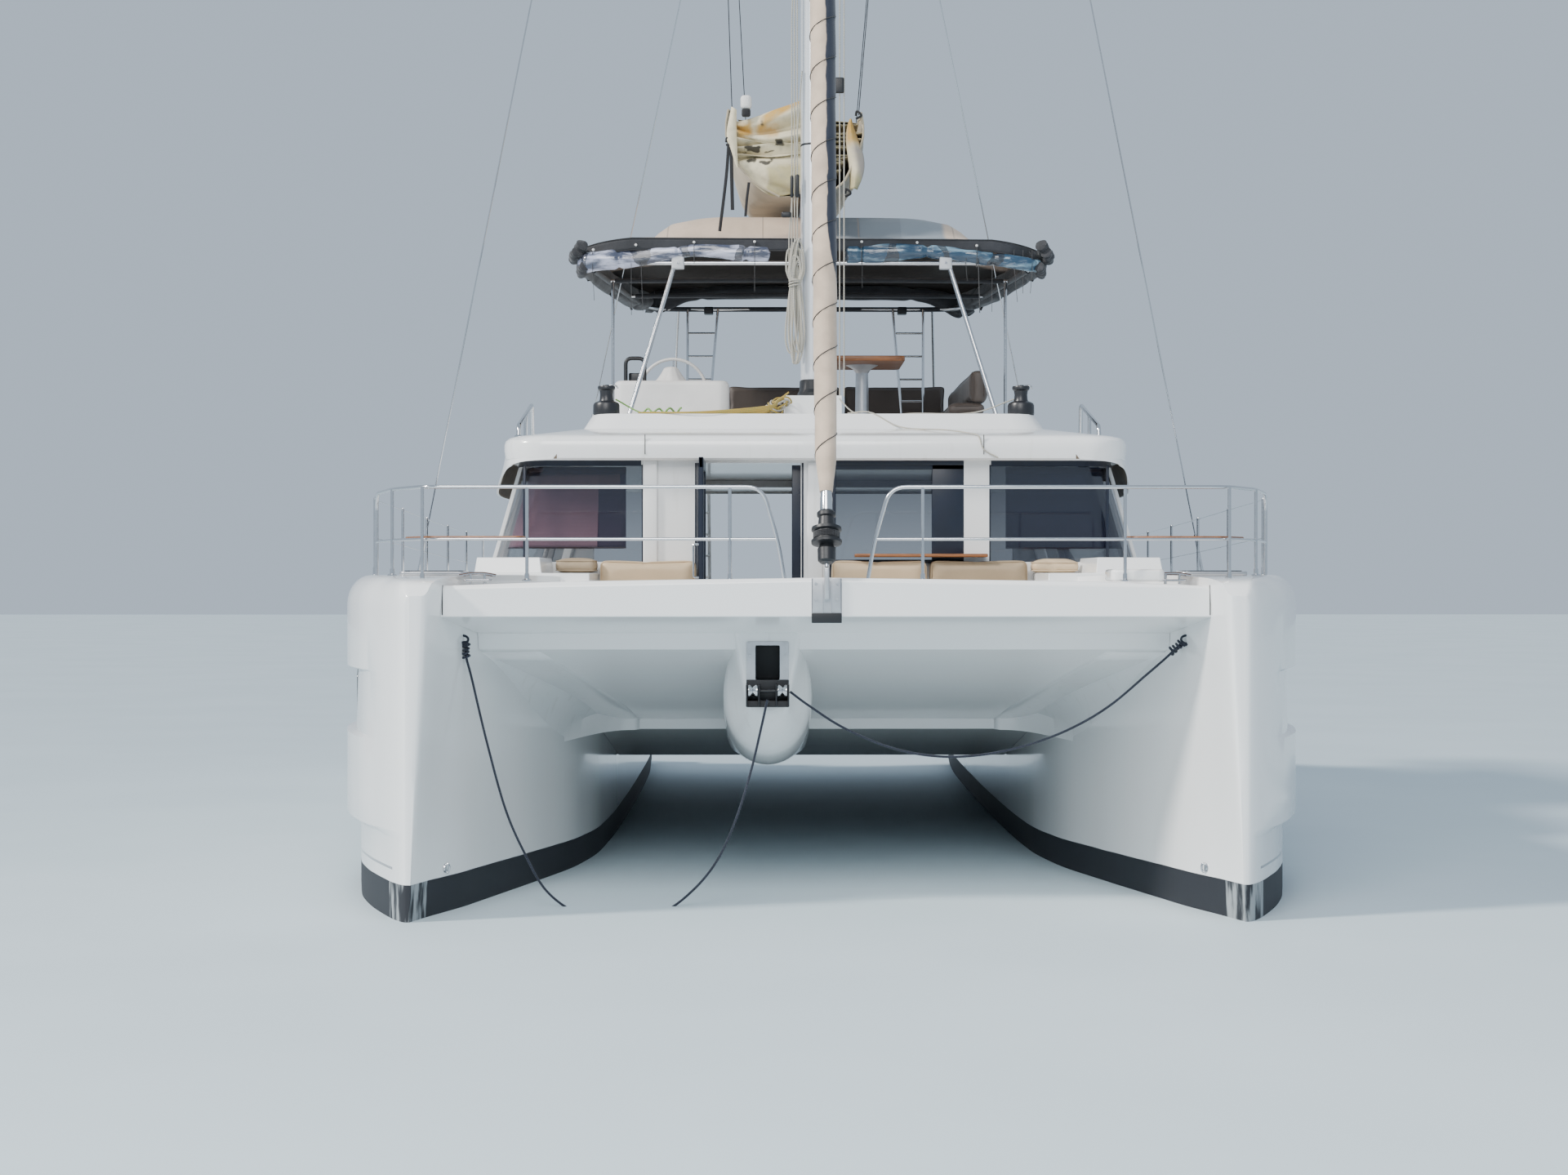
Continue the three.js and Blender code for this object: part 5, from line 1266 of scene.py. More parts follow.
class MakeRoof(bpy.types.Operator):
    """Roof with a drooping rim at its corners, and the handrails on it"""
    bl_idname = "catamaran.roof"
    bl_label = "Roof"

    def execute(self, context):
        rows = [(1.9, -2.4, 3.9, 0.2, 3.341), (2.5, -3.03, 4.48, 0.3, 3.341), (2.575, -3.085, 4.55, 0.34, 3.330),
                (2.62, -3.13, 4.59, 0.37, 3.332), (2.64, -3.15, 4.605, 0.38, 3.35), (2.65, -3.16, 4.61, 0.38, 3.42),
                (2.65, -3.158, 4.61, 0.38, 3.47), (2.64, -3.15, 4.6, 0.37, 3.502), (2.61, -3.12, 4.575, 0.36, 3.53),
                (2.55, -3.05, 4.55, 0.36, 3.55), (2.1, -2.45, 4.4, 0.3, 3.638), (1.9, -2.2, 4.1, 0.25, 3.64)]
        shell = Form().grid(stack(rows, 10), True, True)
        top = through([(2.2, -3.155), (2.35, -3.135), (2.5, -3.06), (2.58, -2.95), (2.63, -2.8), (2.645, -2.5),
                       (2.646, -2.0), (2.646, -1.4), (2.646, -0.4), (2.646, 0.8), (2.646, 1.8), (2.646, 2.6)], 110)
        foot = through([(2.2, -3.155, 3.34), (2.34, -3.14, 3.332), (2.48, -3.08, 3.32), (2.59, -2.95, 3.29),
                        (2.655, -2.75, 3.25), (2.725, -2.45, 3.205), (2.80, -2.0, 3.155), (2.875, -1.4, 3.10),
                        (2.895, -0.4, 3.09), (2.88, 0.8, 3.115), (2.78, 1.8, 3.24), (2.66, 2.6, 3.345)], 110)
        top = np.concatenate([top, np.full((110, 1), 3.48)], 1)
        out = unit(foot - top * (1, 1, 0) - foot * (0, 0, 1) + (1e-6, 0, 0)) * (1, 1, 0)
        rim = [top + (foot - top) * share for share in (0.0, 0.15, 0.35, 0.55, 0.75, 0.9, 0.97)]
        rim += [foot - out * t + (0, 0, z) for t, z in ((0.004, 0.0), (0.012, -0.002), (0.022, 0.002))]
        under = [foot - out * 0.028 + (top - foot) * share for share in (0.04, 0.4, 0.8)]
        for _ in shell.both():
            shell.grid(rim)
            shell.grid([rim[-1], *under], finish=1)
        # The rim's underside is gelcoat: its dark brown is painted shade with a warm tint of painted reflection.
        shell.build("roof_shell", gelcoat(), plain("Rim inside", (0.16, 0.12, 0.08), 0.6), replaces="roof", sharp=38)
        grooves, rails = Form(), Form()
        for x in (-1.435, 1.40):
            grooves.solid((x - 0.0035, -3.1615, 3.38), (x + 0.0035, -3.15, 3.545), 0.001)
        grooves.build("roof_grooves", rubber(), slot="black_trim")
        for side in rails.both():
            x = 2.495 - 0.055 * side
            rails.pipe(bent([(x, -2.62, 3.54), (x, -2.6, 3.655), (x, -1.46, 3.915), (x, -1.42, 3.55)], 0.05), 0.019, 12)
            rails.pipe([(x, -2.02, 3.55), (x, -2.02, 3.787)], 0.017, 12)
            for y in (-2.62, -2.02, -1.42):
                rails.turned([(0.034, 3.556), (0.034, 3.566), (0.021, 3.574)], (x, y, 0), "z", 16)
        rails.build("roof_handrails", stainless(), slot="stainless")
        return {"FINISHED"}


# Flybridge


class MakeFlybridge(bpy.types.Operator):
    """Flybridge moulding, covered helm console, wheel, instrument pod, table and winches"""
    bl_idname = "catamaran.flybridge"
    bl_label = "Flybridge"

    def execute(self, context):
        rounded_node("fly_moulding", deck(), edge=0.03, segments=3)
        self.console()
        self.wheel()
        self.table()
        self.winches()
        self.loose_lines()
        return {"FINISHED"}

    def console(self):
        """Rounded block whose side moves in and out in long folds, with a small cone over the compass."""
        low, high = (-1.868, -0.655, 3.7), (-0.772, -0.025, 4.208)
        shape = block(low, high, 0.05, 0.1, 9)
        x, y, z = np.moveaxis(shape, -1, 0).copy()
        middle = np.array([low[0] + high[0], low[1] + high[1], 0]) / 2
        fold = np.sin(9 * x + 5 * z) * np.sin(13 * y - 9 * z + 2) + np.sin(31 * x - 22 * z) * 0.4
        depth = 0.006 * fold * soft_step(z, 3.72, 3.95) - 0.006
        shape += unit((shape - middle) * (1, 1, 0)) * depth[..., None]
        top = np.array([shape[-1] * (1 - t, 1 - t, 1) + middle * t for t in (0.12, 0.3, 0.55, 0.8)])
        top[..., 2] = 4.205 + 0.004 * np.sin(11 * top[..., 0]) * np.sin(14 * top[..., 1] + 1)
        cover = Form().grid(np.concatenate([shape, top]), True, True)
        t, angle = np.linspace(0, 1, 14)[:, None], circle(48)
        wobble = 1 + 0.05 * np.sin(5 * angle + 2.0) * (1 - t) + 0.02 * np.sin(11 * angle)
        wobble = wobble * np.where(t < 0.93, 1, 0.6)
        cover.grid(xyz(-1.335 + (0.21 - 0.15 * t ** 0.6) * wobble * np.cos(angle),
                       -0.3 + (0.19 - 0.13 * t ** 0.6) * wobble * np.sin(angle), 4.19 + 0.175 * t), True, True)
        softened(cover.build("helm_console_cover", white_vinyl(), slot="gelcoat", replaces="helm_console", sharp=60))
        hoop = [(-1.765, -0.36, 4.20), (-1.765, -0.36, 4.44), (-1.585, -0.36, 4.44), (-1.585, -0.36, 4.20)]
        pod = Form().pipe(bent(hoop, 0.06), 0.019, 12)
        pod.solid((-1.735, -0.36, 4.2), (-1.61, -0.335, 4.3), 0.012, 0.03)
        pod.build("instrument_pod", black_plastic(), slot="black_trim")

    def wheel(self):
        """A rim with five spokes that curve aft to it."""
        centre = np.array([-1.33, 0.12, 4.15])
        angle = circle(72)
        wheel = Form().pipe(xyz(0.326 * np.cos(angle), 0, 0.326 * np.sin(angle)) + centre, 0.0155, 14, closed=True)
        for a in circle(5) + math.pi / 2:
            way = np.array([math.cos(a), 0, math.sin(a)])
            spoke = [way * 0.03 - (0, 0.035, 0), way * 0.16 - (0, 0.03, 0), way * 0.318]
            wheel.pipe(through(centre + spoke, 14), 0.008, 8, finish=1)
        wheel.turned([(0.03, -0.235), (0.032, -0.06), (0.05, -0.045), (0.05, -0.02), (0.03, -0.008)], centre, "y",
                     finish=1)
        wheel.build("helm_wheel_rim", white_vinyl(), stainless(), body="helm_wheel", slot="stainless",
                    replaces="helm_wheel")

    def table(self):
        """A round-edged board on a turned foot."""
        top = Form().solid((0.122, -0.168, 4.437), (0.918, 0.868, 4.488), 0.012, 0.06)
        top.turned([(0.16, 3.701), (0.16, 3.715), (0.07, 3.735), (0.062, 4.36), (0.09, 4.40), (0.16, 4.436)],
                   (0.52, 0.35, 0), "z", 32, finish=1)
        top.build("fly_table_top", wood(), aluminium(), slot="teak", replaces="fly_table")

    def winches(self):
        """Each is a covered drum, turned about Z, with a bent arm on its top."""
        profile = [(r, FLY_TOP + z) for r, z in (
            (0.116, 0.001), (0.119, 0.012), (0.118, 0.085), (0.11, 0.104), (0.09, 0.116), (0.066, 0.124),
            (0.06, 0.14), (0.057, 0.18), (0.062, 0.215), (0.076, 0.228), (0.078, 0.245), (0.074, 0.256),
            (0.05, 0.259), (0.03, 0.262), (0.028, 0.267))]
        for side, word in SIDES.items():
            x = 1.84 * side
            drum = Form().turned(profile, (x, -1.95, 0), "z", 48)
            arm = bent([(x, -1.95, 4.05), (x + 0.085, -1.99, 4.053), (x + 0.1, -1.93, 4.03)], 0.03)
            drum.pipe(arm, 0.007, 8, finish=1)
            drum.build(f"winch_drum_{word}", plain("Winch cover " + word, (0.018, 0.019, 0.023), 0.35, 0.0008, 50.0),
                       stainless(), slot="black_trim", replaces=f"winch_{word}")

    def loose_lines(self):
        """Halyard tails lying on the roof between the mast and the winches, and one over the front."""
        lines = Form()
        for k in range(6):
            y, x, end = -1.6 - 0.07 * k, -0.22 - 0.02 * k, -1.05 - 0.1 * k
            lines.pipe(through([(x, y, 4.02 - 0.02 * k), (-0.42, y - 0.1, 3.83 + 0.006 * k),
                                (0.5 * (end - 0.42), y - 0.16 - 0.04 * (k % 3), 3.802), (end, y - 0.16, 3.8)], 40),
                       0.0075, 8)
        for k in range(5):
            turn = circle(18) + k
            coil = xyz(-0.36 + 0.02 * k + 0.085 * np.cos(turn), -1.72 + 0.07 * np.sin(turn),
                       3.84 + 0.025 * k + 0.025 * np.sin(2 * turn + k))
            lines.pipe(coil, 0.008, 7, closed=True, finish=k % 2 * 2)
        t = np.linspace(0, 1, 40)
        lines.pipe(xyz(-1.52 + 0.35 * t, -2.05 + 0.06 * np.sin(17 * t), 3.803 + 0.04 * np.sin(11 * t) ** 2), 0.009, 8,
                   finish=1)
        for points, count, radius, finish in (
                ([(-1.17, -2.0, 3.81), (-1.5, -1.96, 3.803), (-1.76, -1.94, 3.93)], 20, 0.007, 1),
                ([(0.2, -1.6, 4.0), (0.42, -1.75, 3.806), (0.9, -2.0, 3.802), (1.4, -2.05, 3.804),
                  (1.775, -1.97, 3.93)], 50, 0.006, 2),
                ([(0.3, -2.0, 3.804), (0.5, -2.14, 3.8), (0.75, -2.34, 3.66), (1.1, -2.75, 3.61), (1.3, -3.05, 3.562),
                  (1.36, -3.14, 3.53), (1.4, -3.17, 3.42), (1.52, -3.168, 3.35)], 40, 0.006, 2)):
            lines.pipe(through(points, count), radius, 8, finish=finish)
        lines.build("deck_lines", yellow_rope(), green_rope(), white_rope(), slot="rope")


class MakeInterior(bpy.types.Operator):
    """Cabin furniture, stairs and tables that show through the openings"""
    bl_idname = "catamaran.interior"
    bl_label = "Furniture"

    def execute(self, context):
        rounded_node("galley", plain("Galley laminate", (0.36, 0.33, 0.3), 0.4, 0.0002), edge=0.006)
        rounded_node("fly_stairs", deck(), edge=0.006)
        rounded_node("cockpit_table", wood(), slot="teak")
        rounded_node("bar_shelf", wood(), edge=0.008, slot="teak")
        Form().solid((-1.74, -2.86, 1.352), (1.74, 4.1, 1.362), 0.002).build("cabin_floor", cabin_sole(), slot="teak")
        return {"FINISHED"}


# Rails

SHROUD_FOOT, SPREADER_TIP, SHROUD_HEAD = np.array([(3.707, -0.6, 2.4), (1.59, -0.85, 12.9), (0.118, -1.24, 19.19)])
LOWER_FOOT, LOWER_HEAD = np.array([(2.225, 0.7, 3.65), (0.118, -1.26, 12.78)])


class MakeRails(bpy.types.Operator):
    """Pulpits with corner seats, stanchions, guard wires and the standing rigging"""
    bl_idname = "catamaran.rails"
    bl_label = "Rails and shrouds"

    def execute(self, context):
        for side, word in SIDES.items():
            self.pulpit(Form(side), word, sizes().rail_radius)
            self.guard_rail(Form(side), word, sizes().wire_radius)
            self.shrouds(Form(side), word)
        return {"FINISHED"}

    def foot(self, rail, x, y, low, wide, tall):
        """A round base plate with a socket."""
        rail.turned([(wide, low - 0.004), (wide, low + 0.006), (0.017, low + 0.014), (0.016, low + tall)], (x, y, 0),
                    "z", 20)

    def pulpit(self, rail, word, radius):
        """Bars along the front beam that turn aft round the bow, and the corner seat on them."""
        y, front, bow, aft = RAIL_Y, (2.82, RAIL_Y), (3.11, -5.9), (3.37, -5.0)
        rail.pipe(bent([(0.29, y, 2.33), (0.335, y, 2.6), *((*p, RAIL_TOP) for p in (
            (0.446, y), (0.7, y), front, bow, aft)), (*aft, 2.366)], 0.13, 8), radius, 14)
        rail.pipe(bent([(*p, RAIL_MIDDLE) for p in ((0.345, y), front, bow, aft)], 0.13, 8), radius * 0.8, 12)
        for x, py, low in ((0.674, y, 2.33), (2.09, y, 2.33), (*front, 2.33), (*bow, 2.365)):
            rail.pipe([(x, py, low - 0.005), (x, py, RAIL_TOP)], radius * 0.9, 12)
            self.foot(rail, x, py, low, 0.034, 0.05)
        low, high = RAIL_MIDDLE - 0.002, RAIL_MIDDLE + 0.022
        plan = bent([(2.115, -6.395, 0), (2.8, -6.395, 0), (3.01, -6.06, 0), (2.115, -6.06, 0)], 0.07, 6, closed=True)
        centre = plan.mean(0)
        rail.grid([plan + (0, 0, low), plan + (0, 0, high - 0.004), (plan - centre) * 0.985 + centre + (0, 0, high)],
                  True, True, finish=1)
        for x in (2.325, 2.49, 2.655):
            rail.solid((x - 0.003, -6.36, high - 0.001), (x + 0.003, -6.1, high + 0.0015), 0.001, finish=2, facets=5)
        rail.build(f"pulpit_rail_{word}", stainless(), wood(), black_plastic(), slot="stainless",
                   replaces=f"pulpit_{word}", sharp=40)

    def guard_rail(self, rail, word, wire):
        """Capped posts on the deck's edge, and two wires that end on the pulpit."""
        x, posts = 3.5, np.array([-4.3, -2.9, -1.5, -0.1, 1.3, 2.7, 4.1])
        deck_z = np.interp(posts, HULL_TABLE[:, 0], HULL_TABLE[:, 3])
        for y, z in zip(posts, deck_z):
            rail.pipe([(x, y, z - 0.004), (x, y, z + 0.61)], 0.0125, 12)
            self.foot(rail, x, y, z, 0.036, 0.07)
            rail.turned([(0.0125, z + 0.608), (0.01, z + 0.618), (0.004, z + 0.622)], (x, y, 0), "z", 14)
        for height in (0.6, 0.3):
            rail.pipe(np.vstack([(3.385, -4.978, 2.36 + height), xyz(x, posts, deck_z + height)]), wire, 8)
        rail.build(f"guard_rail_wires_{word}", stainless(), slot="stainless", replaces=f"guard_rail_{word}")

    def shrouds(self, wires, word):
        """Cap shroud over the spreader with its chain plate, and lower shroud, each with a turnbuckle."""
        wires.pipe([SHROUD_FOOT, SPREADER_TIP], 0.007, 8).pipe([SPREADER_TIP, SHROUD_HEAD], 0.007, 8)
        wires.pipe([LOWER_FOOT, LOWER_HEAD], 0.006, 8)
        wires.solid((3.7005, -0.645, 1.76), (3.7135, -0.555, 2.4), 0.003, 0.02)
        wires.pipe([LOWER_FOOT, LOWER_FOOT + unit(LOWER_HEAD - LOWER_FOOT) * 0.34], 0.013, 10)
        up = unit(SPREADER_TIP - SHROUD_FOOT)
        wires.pipe([SHROUD_FOOT - up * 0.02, SHROUD_FOOT + up * 0.36], 0.014, 10)
        wires.turned([(0.05, 3.602), (0.05, 3.61), (0.03, 3.63), (0.012, 3.66)], LOWER_FOOT * (1, 1, 0), "z", 20)
        wires.build(f"shrouds_{word}", stainless(), slot="stainless",
                    replaces=(f"cap_shroud_{word}", f"lower_shroud_{word}"))


# Rig


class MakeRig(bpy.types.Operator):
    """Mast, spreaders, boom, forestay with the rolled genoa, and its bracket"""
    bl_idname = "catamaran.rig"
    bl_label = "Rig"

    def execute(self, context):
        self.mast()
        self.mast_gear()
        self.hank()
        self.boom()
        self.genoa()
        self.bracket()
        return {"FINISHED"}

    def mast(self):
        """A superellipse section carried up, with a track, rings, a base collar and spreaders."""
        c, s = np.cos(circle(56)), np.sin(circle(56))
        ring = xyz(0.108 * squared(c, 0.8), 0.168 * squared(s, 0.85), 0)

        def carried(*rows):
            """Columns: share of the section's size, height."""
            return [ring * grow + (0, MAST_Y, z) for grow, z in rows]

        mast = Form().grid(carried((1, 3.992), (1, 4.6), (1, 5.2), (1, 12.0), (0.98, 17.0), (0.9, 19.4), (0.82, 20.28),
                                   (0.7, 20.295)), True, True)
        mast.pipe(bent([(0, -1.128, 4.9), (0, -1.128, 20.1)], 0.01), 0.014, 8, finish=1)
        for z in (6.28, 8.9):
            mast.grid(carried((1, z), (1.012, z + 0.003), (1.012, z + 0.016), (1, z + 0.019)), True, finish=1)
        mast.grid(carried((1.25, 3.991), (1.25, 4.03), (1.1, 4.06), (1.08, 4.14), (1, 4.15)), True, finish=1)
        span = np.linspace(0, 1, 12)[:, None]
        root, tip = np.array([0.1, MAST_Y + 0.05, 12.9]), np.array([1.585, -0.85, 12.9])
        centre = root + (tip - root) * span[..., None]
        wing = centre + xyz(0, (0.085 - 0.045 * span) * np.cos(circle(20)), (0.022 - 0.010 * span) * np.sin(circle(20)))
        for _ in mast.both():
            mast.grid(wing, True, True)
        mast.build("mast_section", spar_paint(), black_plastic(), slot="spar", replaces="mast")

    def mast_gear(self):
        """Blocks on the mast's front, and halyards that close in on it over their last 1.5 m."""
        fittings, lines = Form(), Form()
        for x, z, half, high in ((0.24, 6.75, 0.045, 0.14), (-0.14, 5.8, 0.018, 0.21), (-0.19, 5.8, 0.014, 0.2),
                                 (-0.24, 5.62, 0.045, 0.05)):
            fittings.solid((x - half, -1.475, z), (x + half, -1.425, z + high), 0.012)
        fittings.build("mast_blocks", black_plastic(), slot="black_trim")
        for x, low, high in ((0.2, 3.995, 19.0), (0.245, 3.995, 12.6), (0.285, 3.995, 9.2), (-0.14, 4.62, 16.0),
                             (-0.165, 4.9, 12.4), (-0.19, 4.9, 9.0), (-0.215, 5.2, 6.95)):
            z = np.linspace(low, high, 30)
            near = np.clip((high - z) / 1.5, 0, 1)
            lines.pipe(xyz(x * (0.45 + 0.55 * near), -1.45, z), sizes().halyard_radius, 8)
        lines.build("halyards", white_rope(), slot="rope")

    def hank(self):
        """Nine long turns of rope that wander, drawn in at the waist by four round turns."""
        t = np.linspace(0, 9 * FULL_TURN, 520)
        wander = np.sin(t * 0.37) + 0.8 * np.sin(t * 1.13 + 1)
        z = 5.0 + np.where(np.cos(t) < 0, 0.66 + 0.05 * np.sin(t * 0.5), 0.32 + 0.1 * np.sin(t * 0.7)) * np.cos(t)
        waist = np.interp(z, (4.3, 4.5, 4.95, 5.02, 5.12, 5.4), (0.9, 1.0, 0.5, 0.4, 0.8, 0.9))
        hank = Form().pipe(xyz(-0.16 + waist * (0.06 * np.sin(t) + 0.03 * wander),
                               -1.49 - 0.008 * np.sin(t * 0.9) - 0.012 * waist * wander, z), 0.0085, 7)
        turn = circle(24)
        for k in range(4):
            hank.pipe(xyz(-0.165 + 0.048 * np.cos(turn), -1.49 + 0.03 * np.sin(turn),
                          5.0 + 0.017 * k + 0.01 * np.cos(turn + k)), 0.008, 7, closed=True)
        hank.build("halyard_hank", white_rope(), slot="rope")

    def boom(self):
        """A rounded box section from the gooseneck aft, with its pin and three eyes."""
        y = np.array([-1.0, -0.985, 0.0, 2.0, 4.66, 4.69])[:, None]
        grow = np.array([0.85, 1, 1, 1, 1, 0.85])[:, None]
        c, s = np.cos(circle(40)), np.sin(circle(40))
        x = 0.106 * grow * squared(c, 0.6)
        z = BOOM_Z - 0.012 + 0.096 * grow * squared(s, 0.6)
        spar = Form().grid(xyz(x, y, z), True, True)
        spar.turned([(0.03, 5.905), (0.034, 5.94), (0.034, 6.08), (0.03, 6.098)], (0, -1.075, 0), "z", 24, finish=1)
        spar.solid((-0.028, -1.06, 5.95), (0.028, -0.97, 6.06), 0.006, finish=1)
        for y_at in (1.2, 2.4, 4.3):
            spar.pipe(bent([(-0.05, y_at, 5.93), (0, y_at, 5.905), (0.05, y_at, 5.93)], 0.03), 0.008, 8, finish=1)
        spar.build("boom_spar", spar_paint(), stainless(), body="boom", slot="spar", replaces="boom")

    def genoa(self):
        """Rolled sail: a circle whose radius follows the profile and swells along a helix of wraps."""
        foot, head = np.array([0.0, -6.53, 2.425]), np.array([0.0, -1.49, 19.0])
        axis, side = unit(head - foot), np.array([1.0, 0, 0])
        front = np.cross(axis, side)

        def around(along, size, angle):
            along, size, angle = (v[..., None] for v in np.broadcast_arrays(along, size, angle))
            return foot + axis * along + size * (np.cos(angle) * side + np.sin(angle) * front)

        s = np.linspace(0.55, 16.0, 460)[:, None]
        radius = np.interp(s, (0.55, 0.8, 1.6, 6.5, 11.5, 15.2, 15.9, 16.0),
                           (0.048, 0.078, 0.088, 0.110, 0.098, 0.058, 0.02, 0.012))
        turn, pitch = circle(48), FULL_TURN / 0.33
        wrap = ((turn - pitch * s) / FULL_TURN) % 1.0
        dent = 0.02 * np.sin(3 * turn + 5 * s) * np.sin(2.1 * s)
        roll = Form().grid(around(s, radius * (0.955 + 0.05 * (wrap - 0.5) + dent), turn), True, True)
        helix = np.linspace(0.75, 15.6, 1000)
        cord = np.interp(helix, s[:, 0], radius[:, 0]) * 0.985
        roll.pipe(around(helix, cord, pitch * helix + 0.12 * np.sin(2.3 * helix)), 0.0035, 5, finish=1)
        roll.build("genoa_roll", genoa_cloth(), webbing(), slot="tan_canvas", replaces="furled_genoa", sharp=60)
        gear = Form()
        for sides, finish, profile in (
                (16, 1, [(0.013, 0.0), (0.013, 0.03), (0.03, 0.035)]),
                (32, 0, [(0.046, 0.03), (0.062, 0.045), (0.064, 0.13), (0.05, 0.15), (0.05, 0.17)]),
                (32, 0, [(0.05, 0.16), (0.106, 0.17), (0.108, 0.19), (0.088, 0.2), (0.086, 0.255), (0.106, 0.265),
                         (0.104, 0.285), (0.06, 0.3), (0.054, 0.36), (0.066, 0.37), (0.066, 0.395), (0.05, 0.41)]),
                (24, 1, [(0.044, 0.4), (0.044, 0.5), (0.04, 0.52), (0.04, 0.56)])):
            size, along = np.array(profile).T[:, :, None]
            gear.grid(around(along, size, circle(sides)), True, True, finish)
        for k in range(5):
            gear.pipe(around(0.211 + 0.0085 * k, 0.0905, circle(32)), 0.0042, 6, closed=True, finish=2)
        gear.solid((-0.03, -6.53, 2.49), (0.03, -6.475, 2.545), 0.008, finish=2)
        gear.build("furler_drum", black_plastic(), stainless(), dark_rope(), slot="black_trim")

    def bracket(self):
        """A round-edged plate on the beam, a tongue that carries the stay, two ribs and six bolts."""
        plate = Form()
        for low, high, edge, corner, finish in (
                ((-0.104, -6.512, 2.05), (0.104, -6.5005, 2.345), 0.003, 0.012, 0),
                ((-0.0155, -6.556, 2.2), (0.0155, -6.505, 2.422), 0.004, None, 0),
                ((-0.034, -6.522, 2.06), (-0.024, -6.51, 2.33), 0.002, None, 0),
                ((0.024, -6.522, 2.06), (0.034, -6.51, 2.33), 0.002, None, 0),
                ((-0.105, -6.528, 2.036), (0.105, -6.512, 2.105), 0.004, None, 1)):
            plate.solid(low, high, edge, corner, finish)
        for x in (-0.075, 0.075):
            for z in (2.08, 2.2, 2.31):
                plate.turned([(0.011, -6.519), (0.012, -6.512)], (x, 0, z), "y", 6)
        plate.build("forestay_plate", aluminium(), black_plastic(), slot="stainless", replaces="forestay_bracket")


# Bimini

HOOP_Z = 5.261
BRIM_LOW, BRIM_HIGH = 5.41, 5.52
CANOPY_FRONT, CANOPY_AFT = -1.08, 2.9
CANOPY_NARROWING = 0.2


def brim_droop(points):
    """How far the brim hangs lower towards the front corners: the fourth power of the distance from the middle."""
    across, forward = np.abs(points[..., 0] + 0.08) / 2.2, soft_step(-points[..., 1], -1.6, 0.9)
    return 0.125 * np.clip(across, 0, 1) ** 4 * (0.35 + 0.65 * forward)


def brim_front(x):
    """The droop at a place along the front."""
    return brim_droop(np.array([x, CANOPY_FRONT, 0.0]))


def narrowed(points):
    """The canopy's plan is narrower aft, by a share that grows with the distance from its front edge."""
    points = np.array(points, dtype=float)
    along = np.clip((points[..., 1] - CANOPY_FRONT) / (CANOPY_AFT - CANOPY_FRONT), 0, 1)
    points[..., 0] *= 1 - CANOPY_NARROWING * along
    return points


